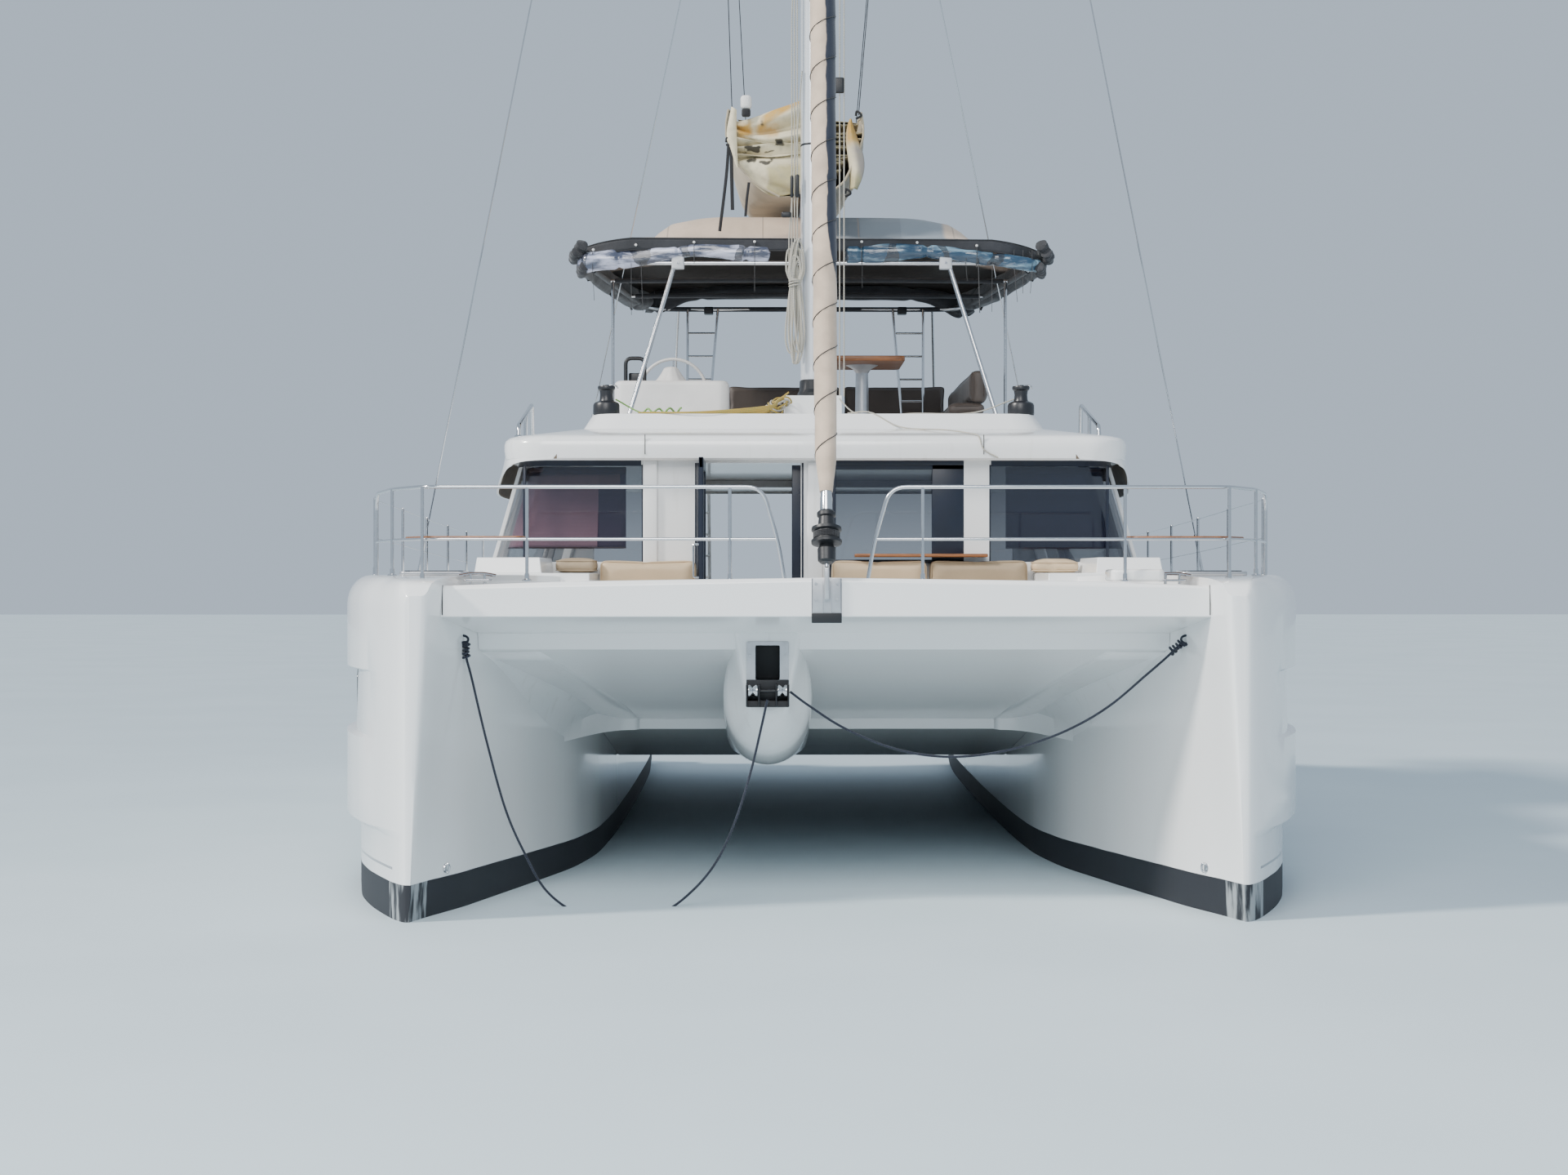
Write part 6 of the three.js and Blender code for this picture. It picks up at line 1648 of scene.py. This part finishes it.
class MakeBimini(bpy.types.Operator):
    """Bimini: tube frame with ladders and clamps, crowned canopy, black brim, rolled curtains and straps"""
    bl_idname = "catamaran.bimini"
    bl_label = "Bimini"

    def execute(self, context):
        self.tubes()
        self.canopy()
        self.rolls()
        self.straps()
        return {"FINISHED"}

    def tubes(self):
        """Hoop, two bars, struts and ladders, with canvas sleeves round hoop and bars, and clamps."""
        tubes, sleeves, clamps = Form(), Form(), Form()
        hoop = narrowed(round_ring(-2.12, 2.12, -1.03, 2.75, 0.42, HOOP_Z, 8))
        tubes.pipe(hoop, 0.0195, 14, closed=True)
        half = [(2.12, -0.5), (2.12, 1.0), (2.12, 2.2), (2.04, 2.6), (1.7, 2.75)]
        plan = [(-x, y) for x, y in half] + [(0, 2.75)] + half[::-1]
        sleeves.pipe(through(narrowed([(*p, HOOP_Z) for p in plan]), 120), 0.027, 12)
        for y in (0.3, 1.55):
            bar = narrowed([(-2.116, y, HOOP_Z), (0, y, HOOP_Z + 0.012), (2.116, y, HOOP_Z)])
            tubes.pipe(bar, 0.0155, 12)
            sleeves.pipe(through(bar * (0.97, 1, 1), 30), 0.023, 12)
        sleeves.build("bimini_sleeves", black_canvas(), slot="black_canvas")
        low = FLY_TOP - 0.015
        for _ in tubes.both():
            tubes.pipe([(1.68, -1.5, low), (1.27, -1.028, HOOP_Z - 0.01)], 0.0215, 14)
            tubes.pipe([(1.93, 0.3, low), (1.93, 0.3, HOOP_Z)], 0.0155, 12)
            tubes.pipe(bent([(1.47, 3.48, low), (1.43, 3.28, 4.7), (1.38, 2.75, HOOP_Z)], 0.35), 0.0175, 12)
            for x, y in ((1.68, -1.5), (1.93, 0.3), (1.47, 3.48)):
                tubes.turned([(0.034, 3.791), (0.034, 3.799), (0.03, 3.806), (0.026, 3.83)], (x, y, 0), "z", 24)
            self.ladder(tubes)
        tubes.build("bimini_tubes", stainless(), slot="stainless", replaces="bimini_frame")
        for _ in clamps.both():
            clamps.solid((1.182, -1.075, HOOP_Z - 0.056), (1.298, -0.99, HOOP_Z + 0.06), 0.01)
            clamps.turned([(0.012, -1.088), (0.012, -1.07)], (1.24, 0, HOOP_Z), "y", 6, finish=1)
            clamps.solid((1.0, 2.66, HOOP_Z - 0.06), (1.1, 2.79, HOOP_Z + 0.02), 0.01, finish=2)
        clamps.build("bimini_clamps", plain("Clamp", (0.62, 0.63, 0.65), 0.4), stainless(), black_plastic(),
                     slot="stainless")

    def ladder(self, tubes):
        """Two upright rails, which meet the aft bar, and level rungs between them."""
        y, low = 2.74, 3.955
        tubes.pipe([(1.28, y, low), (1.28, y, HOOP_Z)], 0.0155).pipe([(1.06, y, low), (0.95, y, HOOP_Z)], 0.0155)
        for z in (4.26, 4.5, 4.75, 5.0):
            tubes.pipe([(1.28, y, z), (1.06 - 0.11 * (z - low) / (HOOP_Z - low), y, z)], 0.0118)

    def canopy(self):
        """Rings from the brim up over the crown. Between the bars the cloth sags by a sine of its place."""
        rings = stack([(2.262, -1.062, 2.88, 0.60, 5.432), (2.262, -1.062, 2.88, 0.60, 5.50),
                       (2.235, -1.035, 2.855, 0.6, 5.522), (2.1, -0.92, 2.73, 0.56, 5.535),
                       (1.85, -0.72, 2.55, 0.5, 5.55), (1.7, -0.58, 2.42, 0.46, 5.565), (1.62, -0.5, 2.36, 0.44, 5.6),
                       (1.55, -0.42, 2.30, 0.42, 5.67), (1.45, -0.34, 2.2, 0.4, 5.748), (1.25, -0.2, 2.05, 0.36, 5.808),
                       (0.95, 0.02, 1.85, 0.3, 5.842), (0.6, 0.3, 1.6, 0.2, 5.852), (0.2, 0.7, 1.2, 0.1, 5.856)], 12)
        rings = narrowed([*rings, shut(rings[-1])])
        x, y, _ = np.moveaxis(rings, -1, 0)
        sag = 0.010 * np.sin(2.4 * x) * np.sin(4.9 * y) + 0.004 * np.sin(9 * x + 4) * np.sin(11 * y)
        inner = np.linspace(0, 1, len(rings))[:, None]
        rings[..., 2] += sag * np.sin(inner * math.pi) - brim_droop(rings) * (1 - soft_step(inner, 0.2, 0.55))
        top = Form().grid(rings, True).build("bimini_canopy", bimini_cloth(), lining(), slot="tan_canvas",
                                             replaces="bimini_canvas", sharp=70)
        thicken(top, 0.004, -1.0).modifiers["Wall"].material_offset = 1
        band = narrowed(stack([(2.276, -1.076, 2.894, 0.612, z) for z in np.linspace(BRIM_LOW, BRIM_HIGH, 5)], 14))
        wave = 0.008 * np.sin(band[..., 0] * 12) * np.sin(band[..., 1] * 9)
        band[..., 2] += wave * np.array([1.0, 0.6, 0.2, 0.2, 0.0])[:, None] - brim_droop(band)
        brim = Form().grid(band, True).build("bimini_brim", black_canvas(), slot="black_canvas")
        thicken(brim, 0.003, -1.0)
        piping = Form().pipe(band[-1], 0.006, 8, closed=True).pipe(band[0], 0.005, 8, closed=True)
        for x in (-2.02, -1.627, -1.09, -0.53, 0.46, 0.973, 1.525):
            z = 5.452 - brim_front(x)
            piping.turned([(0.013, -1.083), (0.012, -1.09), (0.006, -1.096)], (x, 0, z), "y", 12, finish=1)
        piping.build("bimini_piping", webbing(), white_vinyl(), slot="black_canvas")

    def roll(self, form, path, deep, ridges=5, pinch=(), seed=0.0, count=140):
        """A rolled cloth: an ellipse along a path of x, y, z and height, with long ridges, pinched by each strap."""
        path = through(path, count)
        p, tall = path[:, :3], path[:, 3:]
        turn = circle(40)
        t = np.linspace(0, 1, count)[:, None]
        size = 1 + 0.06 * np.sin(9 * t + seed) * np.sin(23 * t)
        for at in pinch:
            size = size - 0.22 * np.exp(-((t - at) / 0.011) ** 2)
        size = size * np.sqrt(np.clip(np.minimum(t, 1 - t) / 0.012, 0.05, 1))
        ridge = (1 + 0.07 * np.sin(ridges * turn + 2.2 * np.sin(7 * t + seed) + seed)
                 + 0.035 * np.sin(3 * turn - 21 * t + seed) + 0.03 * np.sin(67 * t + seed) * np.cos(turn))
        side, up = turned_frame(p)
        a, b = (tall, deep) if np.abs(side[:, 2:]).mean() > 0.5 else (deep, tall)
        form.grid(p[:, None] + (a * size * ridge * np.cos(turn))[..., None] * side[:, None]
                  + (b * size * ridge * np.sin(turn))[..., None] * up[:, None], True, True)

    def rolls(self):
        """The clear curtains in front, and the black ones at the sides, the front corners and aft."""
        front, y = Form(), -1.04
        self.roll(front, [(-2.15, y + 0.08, 5.25, 0.085), (-2.02, y, 5.275, 0.09), (-1.7, y, 5.3, 0.086),
                          (-1.39, y, 5.34, 0.066), (-1.09, y - 0.01, 5.373, 0.06), (-0.7, y - 0.01, 5.36, 0.072),
                          (-0.385, y, 5.35, 0.078)], 0.05, 4, (0.07, 0.29, 0.59, 0.88), 0.4)
        self.roll(front, [(0.3, y, 5.346, 0.088), (0.6, y - 0.01, 5.353, 0.084), (1.0, y - 0.01, 5.372, 0.068),
                          (1.4, y, 5.345, 0.066), (1.7, y, 5.3, 0.068), (2.0, y, 5.25, 0.066),
                          (2.12, y + 0.08, 5.24, 0.06)], 0.05, 4, (0.09, 0.36, 0.66, 0.9), 2.2)
        front.build("front_curtain_rolls", curtain_film(), slot="tinted_glass", sharp=70)
        dark = Form()
        for s in SIDES:
            self.roll(dark, [(s * 1.97, -0.93, 5.33, 0.08), (s * 2.11, -0.82, 5.3, 0.09), (s * 2.14, -0.5, 5.29, 0.1),
                             (s * 2.04, 0.6, 5.32, 0.11), (s * 1.92, 1.5, 5.31, 0.12), (s * 1.8, 2.2, 5.31, 0.11),
                             (s * 1.7, 2.62, 5.33, 0.08)], 0.07, 5, (0.05, 0.2, 0.4, 0.6, 0.8), 1.0 + s)
            for k, (x, z, tall) in enumerate(((2.15, 5.40, 0.055), (2.2, 5.33, 0.05), (2.13, 5.20, 0.045))):
                self.roll(dark, [(s * (x - 0.03), -1.06, z + 0.03, tall), (s * x, -1.0, z, tall),
                                 (s * (x + 0.01), -0.88, z - 0.02, tall)], 0.05, 3, (0.5,), k + 0.3 * s, 40)
        aft = [(-1.72, 5.35), (-1.6, 5.33), (-1.3, 5.41), (-0.8, 5.44), (0.0, 5.445), (0.8, 5.44), (1.35, 5.4),
               (1.68, 5.29), (1.77, 5.33)]
        self.roll(dark, [(x, 2.74, z, 0.075 + 0.045 * (abs(x) > 1.5)) for x, z in aft], 0.07, 5,
                  (0.1, 0.3, 0.5, 0.7, 0.9), 3.0)
        dark.build("side_curtain_rolls", black_canvas(), slot="black_canvas", sharp=70)

    def straps(self):
        """Flat webbing: loops round the rolls, and loose ends that hang from the brim."""
        web = Form()
        for x in (-1.09, -0.53, 0.46, 1.525):
            z = 5.375 - brim_front(x)
            loop = [(x, -1.08, z + 0.08), (x, -1.102, z), (x, -1.05, z - 0.11), (x, -0.985, z), (x, -1.01, z + 0.08)]
            web.pipe(through(loop, 30), 0.0115, 8, flat=0.22)
        ends = ((-2.03, 4.91, 0.01), (-1.67, 4.776, 0.0), (-1.58, 4.81, 0.01), (-0.53, 4.995, 0.0), (0.466, 5.03, 0.0),
                (1.426, 5.1, 0.01), (1.54, 4.80, 0.01), (1.668, 4.81, 0.0), (1.872, 4.9, 0.02), (1.955, 4.98, 0.0),
                (2.04, 4.98, -0.01))
        for x, low, sway in ends:
            line = [(x, -1.06, 5.38), (x + sway * 0.2, -1.075, 5.2), (x + sway, -1.06, (low + 5.2) / 2 - 0.02),
                    (x + sway * 1.6, -1.05, low)]
            web.pipe(through(line, 24), 0.009 if x < 1.5 or x > 1.6 else 0.016, 8, flat=0.25)
        for s in SIDES:
            for low in (-0.35, 0.9, 2.1):
                line = narrowed([(s * 2.24, low, 5.42), (s * 2.26, low, 5.3), (s * 2.2, low + 0.01, 5.18)])
                web.pipe(through(line, 16), 0.012, 8, flat=0.25)
        web.build("bimini_straps", webbing(), slot="black_canvas")


# Mainsail in its bag

# Columns: y, middle, half width, top
BAG_TABLE = np.array([(-0.7, -0.155, 0.645, 6.74), (-0.2, -0.13, 0.64, 6.78), (0.9, -0.1, 0.635, 6.72),
                      (2.6, -0.03, 0.45, 6.58), (4.4, 0.0, 0.225, 6.41)])
BAG_LOW = 6.104
BAG_SHARE = (0.0, 0.08, 0.17, 0.36, 0.57, 0.7, 0.85, 1.0)
BAG_FRONT = (0.32, 0.5, 0.665, 0.83, 0.95, 1.0, 1.0, 0.97)
BAG_AFT = (0.78, 0.88, 0.94, 0.98, 1.0, 1.0, 0.98, 0.9)


def bag_spread(share, y, side=-1):
    """Share of the half width at a share of the height: a round lip in front, a deep pouch behind it."""
    back = soft_step(y, -0.6, 0.5)
    aft = np.interp(share, BAG_SHARE, BAG_AFT) * (1 if side < 0 else 1 - 0.62 * (1 - share) ** 3)
    return np.interp(share, BAG_SHARE, BAG_FRONT) * (1 - back) + aft * back


def bag_low(y):
    """Straight runs between the heights at which the bag leaves the boom."""
    return np.interp(y, (-0.7, -0.35, 0.3, 2.6, 4.4), (5.93, 5.97, 5.985, 5.985, 6.05))


class MakeMainsail(bpy.types.Operator):
    """Open sail bag on the boom with the sail flaked in it, its straps and its lazy jacks"""
    bl_idname = "catamaran.mainsail"
    bl_label = "Mainsail and bag"

    def execute(self, context):
        self.bag()
        self.sail()
        self.lazy_jacks()
        return {"FINISHED"}

    def bag(self):
        """Each side runs from the boom out and up to its lip. The cloth sags between its battens."""
        y = np.linspace(-0.69, 4.39, 60)
        middle, half, top = columns_at(BAG_TABLE, y)
        share = np.linspace(0, 1, 22)[None]
        rows = y[:, None]
        ripple = 0.02 * np.sin(5.2 * rows) * np.sin(share * math.pi) + 0.007 * np.sin(17 * rows + 6 * share)
        bag, hem = Form(), Form()
        for side in SIDES:
            spread = half * bag_spread(share, rows, side) + ripple * share * soft_step(rows, -0.7, -0.3)
            low = bag_low(y)[:, None] + (0.1 * soft_step(rows, -0.5, 0.3) if side > 0 else 0)
            z = low + share * (top - low) + 0.012 * np.sin(7 * rows + side) * share - 0.03 * (side > 0) * share**2 * (
                1 - soft_step(rows, -0.7, 0.5))
            panel = xyz(middle * np.minimum(1, 0.6 + share) + side * spread, rows, z)
            root, knee = (xyz(side * x, rows, np.maximum(z + low - BAG_LOW, 5.935))
                          for x, z in ((0.113, 5.99), (0.118, 6.085)))
            bag.grid(np.concatenate([root, knee, panel], 1))
            hem.pipe(panel[:, -1], 0.011, 8)
            hem.pipe(panel[0], 0.011, 8)
        cloth = bag.build("sail_bag", khaki_canvas(), body="boom", slot="tan_canvas", replaces="mainsail_bag", sharp=60)
        thicken(cloth, 0.004)
        ties = Form()
        for line, radius in (([(-0.745, 6.66), (-0.75, 6.3), (-0.74, 5.8)], 0.017),
                             ([(-0.775, 6.42), (-0.80, 6.1), (-0.86, 5.6)], 0.015),
                             ([(-0.585, 6.06), (-0.605, 5.9), (-0.618, 5.74)], 0.013)):
            ties.pipe(through([(x, -0.725, z) for x, z in line], 24), radius, 8, flat=0.25)
        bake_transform(ties.build("bag_ties", webbing(), body=None, slot="black_canvas"), "boat", "boom",
                 start=(-0.8, -0.72, 5.6), end=(-0.76, -0.72, 6.35))
        for x, z in ((0.44, 6.69), (0.34, 5.96), (-0.78, 6.44)):
            hem.pipe(through([(x - 0.02, -0.71, z - 0.03), (x + 0.03, -0.72, z), (x - 0.01, -0.715, z + 0.04),
                              (x - 0.02, -0.7, z)], 20), 0.012, 8, finish=1)
        lip = through([(-0.75, 6.77), (-0.795, 6.52), (-0.76, 6.36), (-0.70, 6.2)], 16)
        inner = through([(-0.70, 6.74), (-0.70, 6.52), (-0.695, 6.36), (-0.685, 6.2)], 16)
        across = np.linspace(0, 1, 6)[None, :, None]
        flap = lip[:, None] * (1 - across) + inner[:, None] * across
        hem.grid(xyz(flap[..., 0], -0.722 - 0.02 * np.sin(across[..., 0] * math.pi), flap[..., 1]), finish=3)
        hem.solid((-0.665, -0.72, 6.755), (-0.56, -0.64, 6.885), 0.03, 0.04, finish=2)
        hem.solid((-0.655, -0.725, 6.68), (-0.57, -0.66, 6.76), 0.02, finish=1)
        hem.build("sail_bag_edges", khaki_canvas(), webbing(), white_vinyl(), sailcloth(), body="boom",
                  slot="tan_canvas")

    def sail(self):
        """Flakes: along the section the cloth goes from side to side as a flattened cosine, and up by one pitch.
        In front, swags: each edge hangs in a parabola from the bag's lip to the mast and the cloth bulges between."""
        y = np.linspace(-0.55, 4.3, 46)
        middle, half, top = columns_at(BAG_TABLE, y)
        flakes = 15
        s = np.linspace(0, flakes, flakes * 14 + 1)[None]
        share = 0.03 + 0.86 * s / flakes
        swing = np.cos(math.pi * s)
        room = bag_spread(share, y[:, None], 1) * (0.84 + 0.07 * np.sin(2.7 * s) + 0.04 * np.sin(5.9 * s))
        x = middle * share + half * room * squared(swing, 0.55)
        slope = 0.02 * np.sin(1.9 * s) * np.sin(math.pi * s) ** 2 * np.sign(swing)
        z = BAG_LOW + 0.012 + (top - BAG_LOW - 0.02) * share + slope + 0.012 * np.sin(3.1 * y[:, None] + s) * share
        flaked = Form().grid(xyz(x, y[:, None], z))
        # Columns: left height, right height, sag, how far the edge stands out
        edges = np.array([(5.95, 5.96, 0.0, 0.03), (6.02, 6.04, 0.02, 0.07), (6.14, 6.17, 0.02, 0.09),
                          (6.25, 6.29, 0.02, 0.06), (6.27, 6.31, 0.0, 0.03), (6.29, 6.33, -0.03, -0.06),
                          (6.33, 6.37, 0.03, 0.05), (6.35, 6.39, 0.02, -0.06), (6.40, 6.42, -0.02, 0.05),
                          (6.43, 6.45, 0.0, -0.05), (6.50, 6.47, 0.05, 0.07), (6.53, 6.52, 0.09, -0.02),
                          (6.58, 6.60, 0.12, 0.09), (6.62, 6.72, 0.16, 0.05), (6.62, 6.80, 0.15, -0.05),
                          (6.63, 6.90, 0.11, 0.08), (6.65, 6.98, 0.07, 0.03), (6.64, 7.0, 0.05, -0.1)])
        row = ease(np.linspace(0, 17, 120), np.arange(18), edges)
        t = np.linspace(0, 1, 50)[None]
        left, right, hang, out = row.T[:, :, None]
        z = left + (right - left) * t - hang * 4 * t * (1 - t) + 0.01 * np.sin(9 * t + 3 * left * 9)
        z = np.minimum(z, 6.87 - 0.01 * (right - left))
        front_half = 0.645 * np.interp((left - 5.93) / 0.82, BAG_SHARE, BAG_FRONT) - 0.02
        x = -0.155 - front_half + t * (front_half + 0.29)
        rows = -0.62 - out * (0.75 + 0.35 * np.sin(7 * t + 11 * left)) - 0.03 * np.sin(t * math.pi)
        flaked.grid(xyz(x, rows, z))
        u, v = np.linspace(0, 1, 30)[:, None], np.linspace(-1, 1, 16)[None]
        x = 0.40 + 0.075 * v * np.sin(math.pi * (0.15 + 0.8 * u)) + 0.03 * np.sin(5 * u)
        flaked.grid(xyz(x, -0.66 - 0.07 * (1 - v**2), 6.0 + 0.66 * u))
        piece = thicken(flaked.build("flaked_mainsail", sailcloth(), body="boom", slot="beige_vinyl", sharp=80), 0.003)

    def lazy_jacks(self):
        """Two straight lines a side, from the spreaders down to the bag's lip."""
        for side, word in SIDES.items():
            lines = Form()
            top = np.array([0.95 * side, -0.98, 12.86])
            for y in (-0.55, 1.6):
                middle, half, high = columns_at(BAG_TABLE, [y])[:, 0, 0]
                foot = np.array([middle + side * half * 0.93, y, high - 0.03])
                lines.pipe([top, foot], 0.0045, 8)
            piece = lines.build(f"lazy_jacks_{word}", dark_rope(), body=None, slot="rope")
            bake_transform(piece, "boat", "boom", start=tuple(top), end=(-0.13 + 0.55 * side, -0.5, 6.78))


# Cushions


class MakeCushions(bpy.types.Operator):
    """Padded seats and backs: closed forms blown up by cloth pressure, with piping on their seams"""
    bl_idname = "catamaran.cushions"
    bl_label = "Cushions"

    # Name, node, low corner, high corner, finish, slot
    PADS = (
        ("lounge_seat_starboard", "sofa_starboard", (-1.775, -3.715, 2.132), (-1.005, -3.19, 2.225), 0),
        ("lounge_back_starboard", None, (-1.82, -3.185, 2.24), (-1.005, -3.02, 2.492), 0),
        ("lounge_wing_starboard", None, (-2.185, -3.25, 2.392), (-1.83, -3.02, 2.505), 2),
        ("lounge_seat_port", "sofa_port", (-0.105, -3.715, 2.132), (1.775, -3.19, 2.225), 0),
        ("lounge_back_port", None, (0.12, -3.185, 2.24), (0.93, -3.02, 2.492), 0),
        ("lounge_back_port_outer", None, (0.945, -3.185, 2.24), (1.775, -3.02, 2.492), 2),
        ("lounge_wing_port", None, (1.79, -3.25, 2.392), (2.2, -3.02, 2.49), 0),
        ("fly_seat_port", "fly_cushions", (1.34, 0.11, 3.952), (1.73, 2.78, 4.04), 1),
        ("fly_seat_aft", None, (-0.86, 2.8, 3.952), (1.73, 3.32, 4.04), 1),
        ("fly_back_port", None, (1.575, 0.115, 4.055), (1.735, 3.0, 4.375), 1),
        ("fly_back_aft", None, (-0.86, 3.06, 4.055), (0.40, 3.2, 4.465), 1),
        ("fly_back_aft_port", None, (0.415, 3.06, 4.055), (1.56, 3.2, 4.465), 1),
        ("helm_seat_pad", None, (-1.68, 0.81, 4.045), (-0.91, 1.26, 4.112), 1),
        ("helm_seat_back", None, (-1.68, 1.19, 4.13), (-0.91, 1.28, 4.302), 1),
        ("aft_bench_pad", None, (-0.99, 4.96, 1.665), (1.73, 5.46, 1.78), 1),
        ("aft_bench_back", None, (-0.99, 5.49, 1.80), (1.73, 5.625, 2.165), 1),
        ("saloon_sofa_pad", None, (-1.55, 0.21, 1.665), (-1.06, 2.29, 1.79), 0),
        ("saloon_sofa_back", None, (-1.735, 0.21, 1.70), (-1.58, 2.29, 2.19), 0),
    )

    def execute(self, context):
        kinds = ((beige_vinyl(), "beige_vinyl"), (taupe_vinyl(), "taupe_vinyl"), (shaded_beige_vinyl(), "beige_vinyl"))
        pads = [self.pad(name, node, np.array(low), np.array(high), *kinds[kind])
                for name, node, low, high, kind in self.PADS]
        self.swell(context, pads)
        for obj, (_, _, low, high, kind) in zip(pads, self.PADS):
            self.finish(obj, np.array(low), np.array(high), *kinds[kind])
        self.bases()
        return {"FINISHED"}

    def pad(self, name, node, low, high, finish, slot):
        """A slightly smaller rounded block, remeshed to an even grid."""
        edge = min(0.032, 0.4 * (high - low).min())
        shape = Form().solid(low + 0.0048, high - 0.0048, edge, 0.05, facets=5)
        obj = shape.build(name, finish, slot=slot, replaces=node or (), sharp=180)
        remesh = obj.modifiers.new("Even grid", "REMESH")
        remesh.mode, remesh.voxel_size = "VOXEL", 0.022 if low[2] > 2 else 0.03
        graph = bpy.context.evaluated_depsgraph_get()
        mesh = bpy.data.meshes.new_from_object(obj.evaluated_get(graph))
        obj.modifiers.clear()
        obj.data = mesh
        mesh.shade_smooth()
        return obj

    def swell(self, context, pads):
        """Twenty frames of cloth with inside pressure and no gravity."""
        for obj in pads:
            cloth = obj.modifiers.new("Cloth", "CLOTH").settings
            cloth.use_pressure, cloth.uniform_pressure_force = True, 4.0
            cloth.effector_weights.gravity = 0.0
            cloth.quality = 4
        for step in range(1, 21):
            context.scene.frame_set(step)
        graph = context.evaluated_depsgraph_get()
        most = sizes().pad_swell
        for obj in pads:
            start, end = self.points(obj.data), self.points(obj.evaluated_get(graph).data)
            move = end - start
            reach = np.linalg.norm(move, axis=1, keepdims=True)
            start += move * np.minimum(1, most / np.maximum(reach, 1e-9))
            obj.modifiers.clear()
            obj.data.vertices.foreach_set("co", start.ravel())
        context.scene.frame_set(1)

    def points(self, mesh):
        """The mesh's vertices as an array."""
        flat = np.empty(len(mesh.vertices) * 3, np.float32)
        mesh.vertices.foreach_get("co", flat)
        return flat.reshape(-1, 3).astype(float)

    def finish(self, obj, low, high, finish, slot):
        """Kept in its place, flat where it rests, one subdivision, and piping along its two seams. A seam's points
        are the means of the four nearest points of the pad, smoothed along it."""
        points = np.clip(self.points(obj.data), low - (0.012, 0.012, 0.002), high + (0.012, 0.005, 0.02))
        obj.data.vertices.foreach_set("co", points.ravel())
        obj.data.update()
        obj.data.shade_smooth()
        softened(obj)
        span = high - low
        a, b, c = axes = {2: (0, 1, 2), 1: (0, 2, 1), 0: (2, 1, 0)}[int(np.argmin(span))]
        loops = Form()
        ring = round_ring(0, span[a], 0, span[b], 0.05, 0.0, 5)
        ring = resampled(ring, len(ring) * 6)
        for share in (0.16, 0.84):
            line = np.empty((len(ring), 3))
            line[:, axes] = low[list(axes)] + ring
            line[:, c] = low[c] + span[c] * share
            near = np.argsort(np.linalg.norm(line[:, None] - points[None], axis=2), axis=1)[:, :4]
            line[:, (a, b)] = points[near].mean(1)[:, (a, b)]
            soft = sum(k * np.roll(line, i - 2, 0) for i, k in enumerate(np.array([1, 2, 3, 2, 1]) / 9))
            out = unit((soft - soft.mean(0)) * [axis != c for axis in range(3)])
            loops.pipe(soft + out * 0.001, 0.0048, 6, closed=True)
        loops.build(obj.name + "_piping", finish, slot=slot)

    def bases(self):
        """Rigid seats under the pads, and the aft bench's back."""
        rigid = Form()
        for low, high in (((-1.688, 0.852, 3.702), (-0.902, 1.248, 4.044)),
                          ((-0.998, 4.952, 1.352), (1.738, 5.638, 1.665)),
                          ((-1.738, 0.202, 1.352), (-1.052, 2.298, 1.665)),
                          ((-0.998, 5.6, 1.66), (1.738, 5.64, 2.12))):
            rigid.solid(low, high, 0.014, 0.05)
        rigid.build("seat_bases", gelcoat(), replaces=("helm_seat", "aft_bench", "saloon_sofa"))


# Panel and order of making


STEPS = (SetStage, MakeBridle, MakeHulls, MakeUnderwater, MakeDeck, MakeNacelle, MakeHouse, MakeRoof, MakeFlybridge,
         MakeInterior, MakeRails, MakeRig, MakeBimini, MakeMainsail, MakeCushions)


class CatamaranPanel(bpy.types.Panel):
    """Lists the sizes, the colours and the steps."""
    bl_idname = "VIEW3D_PT_catamaran"
    bl_label = "Catamaran"
    bl_space_type = "VIEW_3D"
    bl_region_type = "UI"
    bl_category = "Catamaran"

    def draw(self, context):
        for group in (context.scene.catamaran_sizes, context.scene.catamaran_colours):
            column = self.layout.column()
            for name in group.bl_rna.properties.keys():
                if name not in {"rna_type", "name"}:
                    column.prop(group, name)
        for step in STEPS:
            self.layout.operator(step.bl_idname)


CLASSES = (CatamaranSizes, CatamaranColours, *STEPS, CatamaranPanel)


def register():
    for item in CLASSES:
        bpy.utils.register_class(item)
    bpy.types.Scene.catamaran_sizes = bpy.props.PointerProperty(type=CatamaranSizes)
    bpy.types.Scene.catamaran_colours = bpy.props.PointerProperty(type=CatamaranColours)


def unregister():
    del bpy.types.Scene.catamaran_colours
    del bpy.types.Scene.catamaran_sizes
    for item in reversed(CLASSES):
        bpy.utils.unregister_class(item)


def main():
    register()
    for step in STEPS:
        group, name = step.bl_idname.split(".")
        getattr(getattr(bpy.ops, group), name)()


if __name__ == "__main__":
    main()
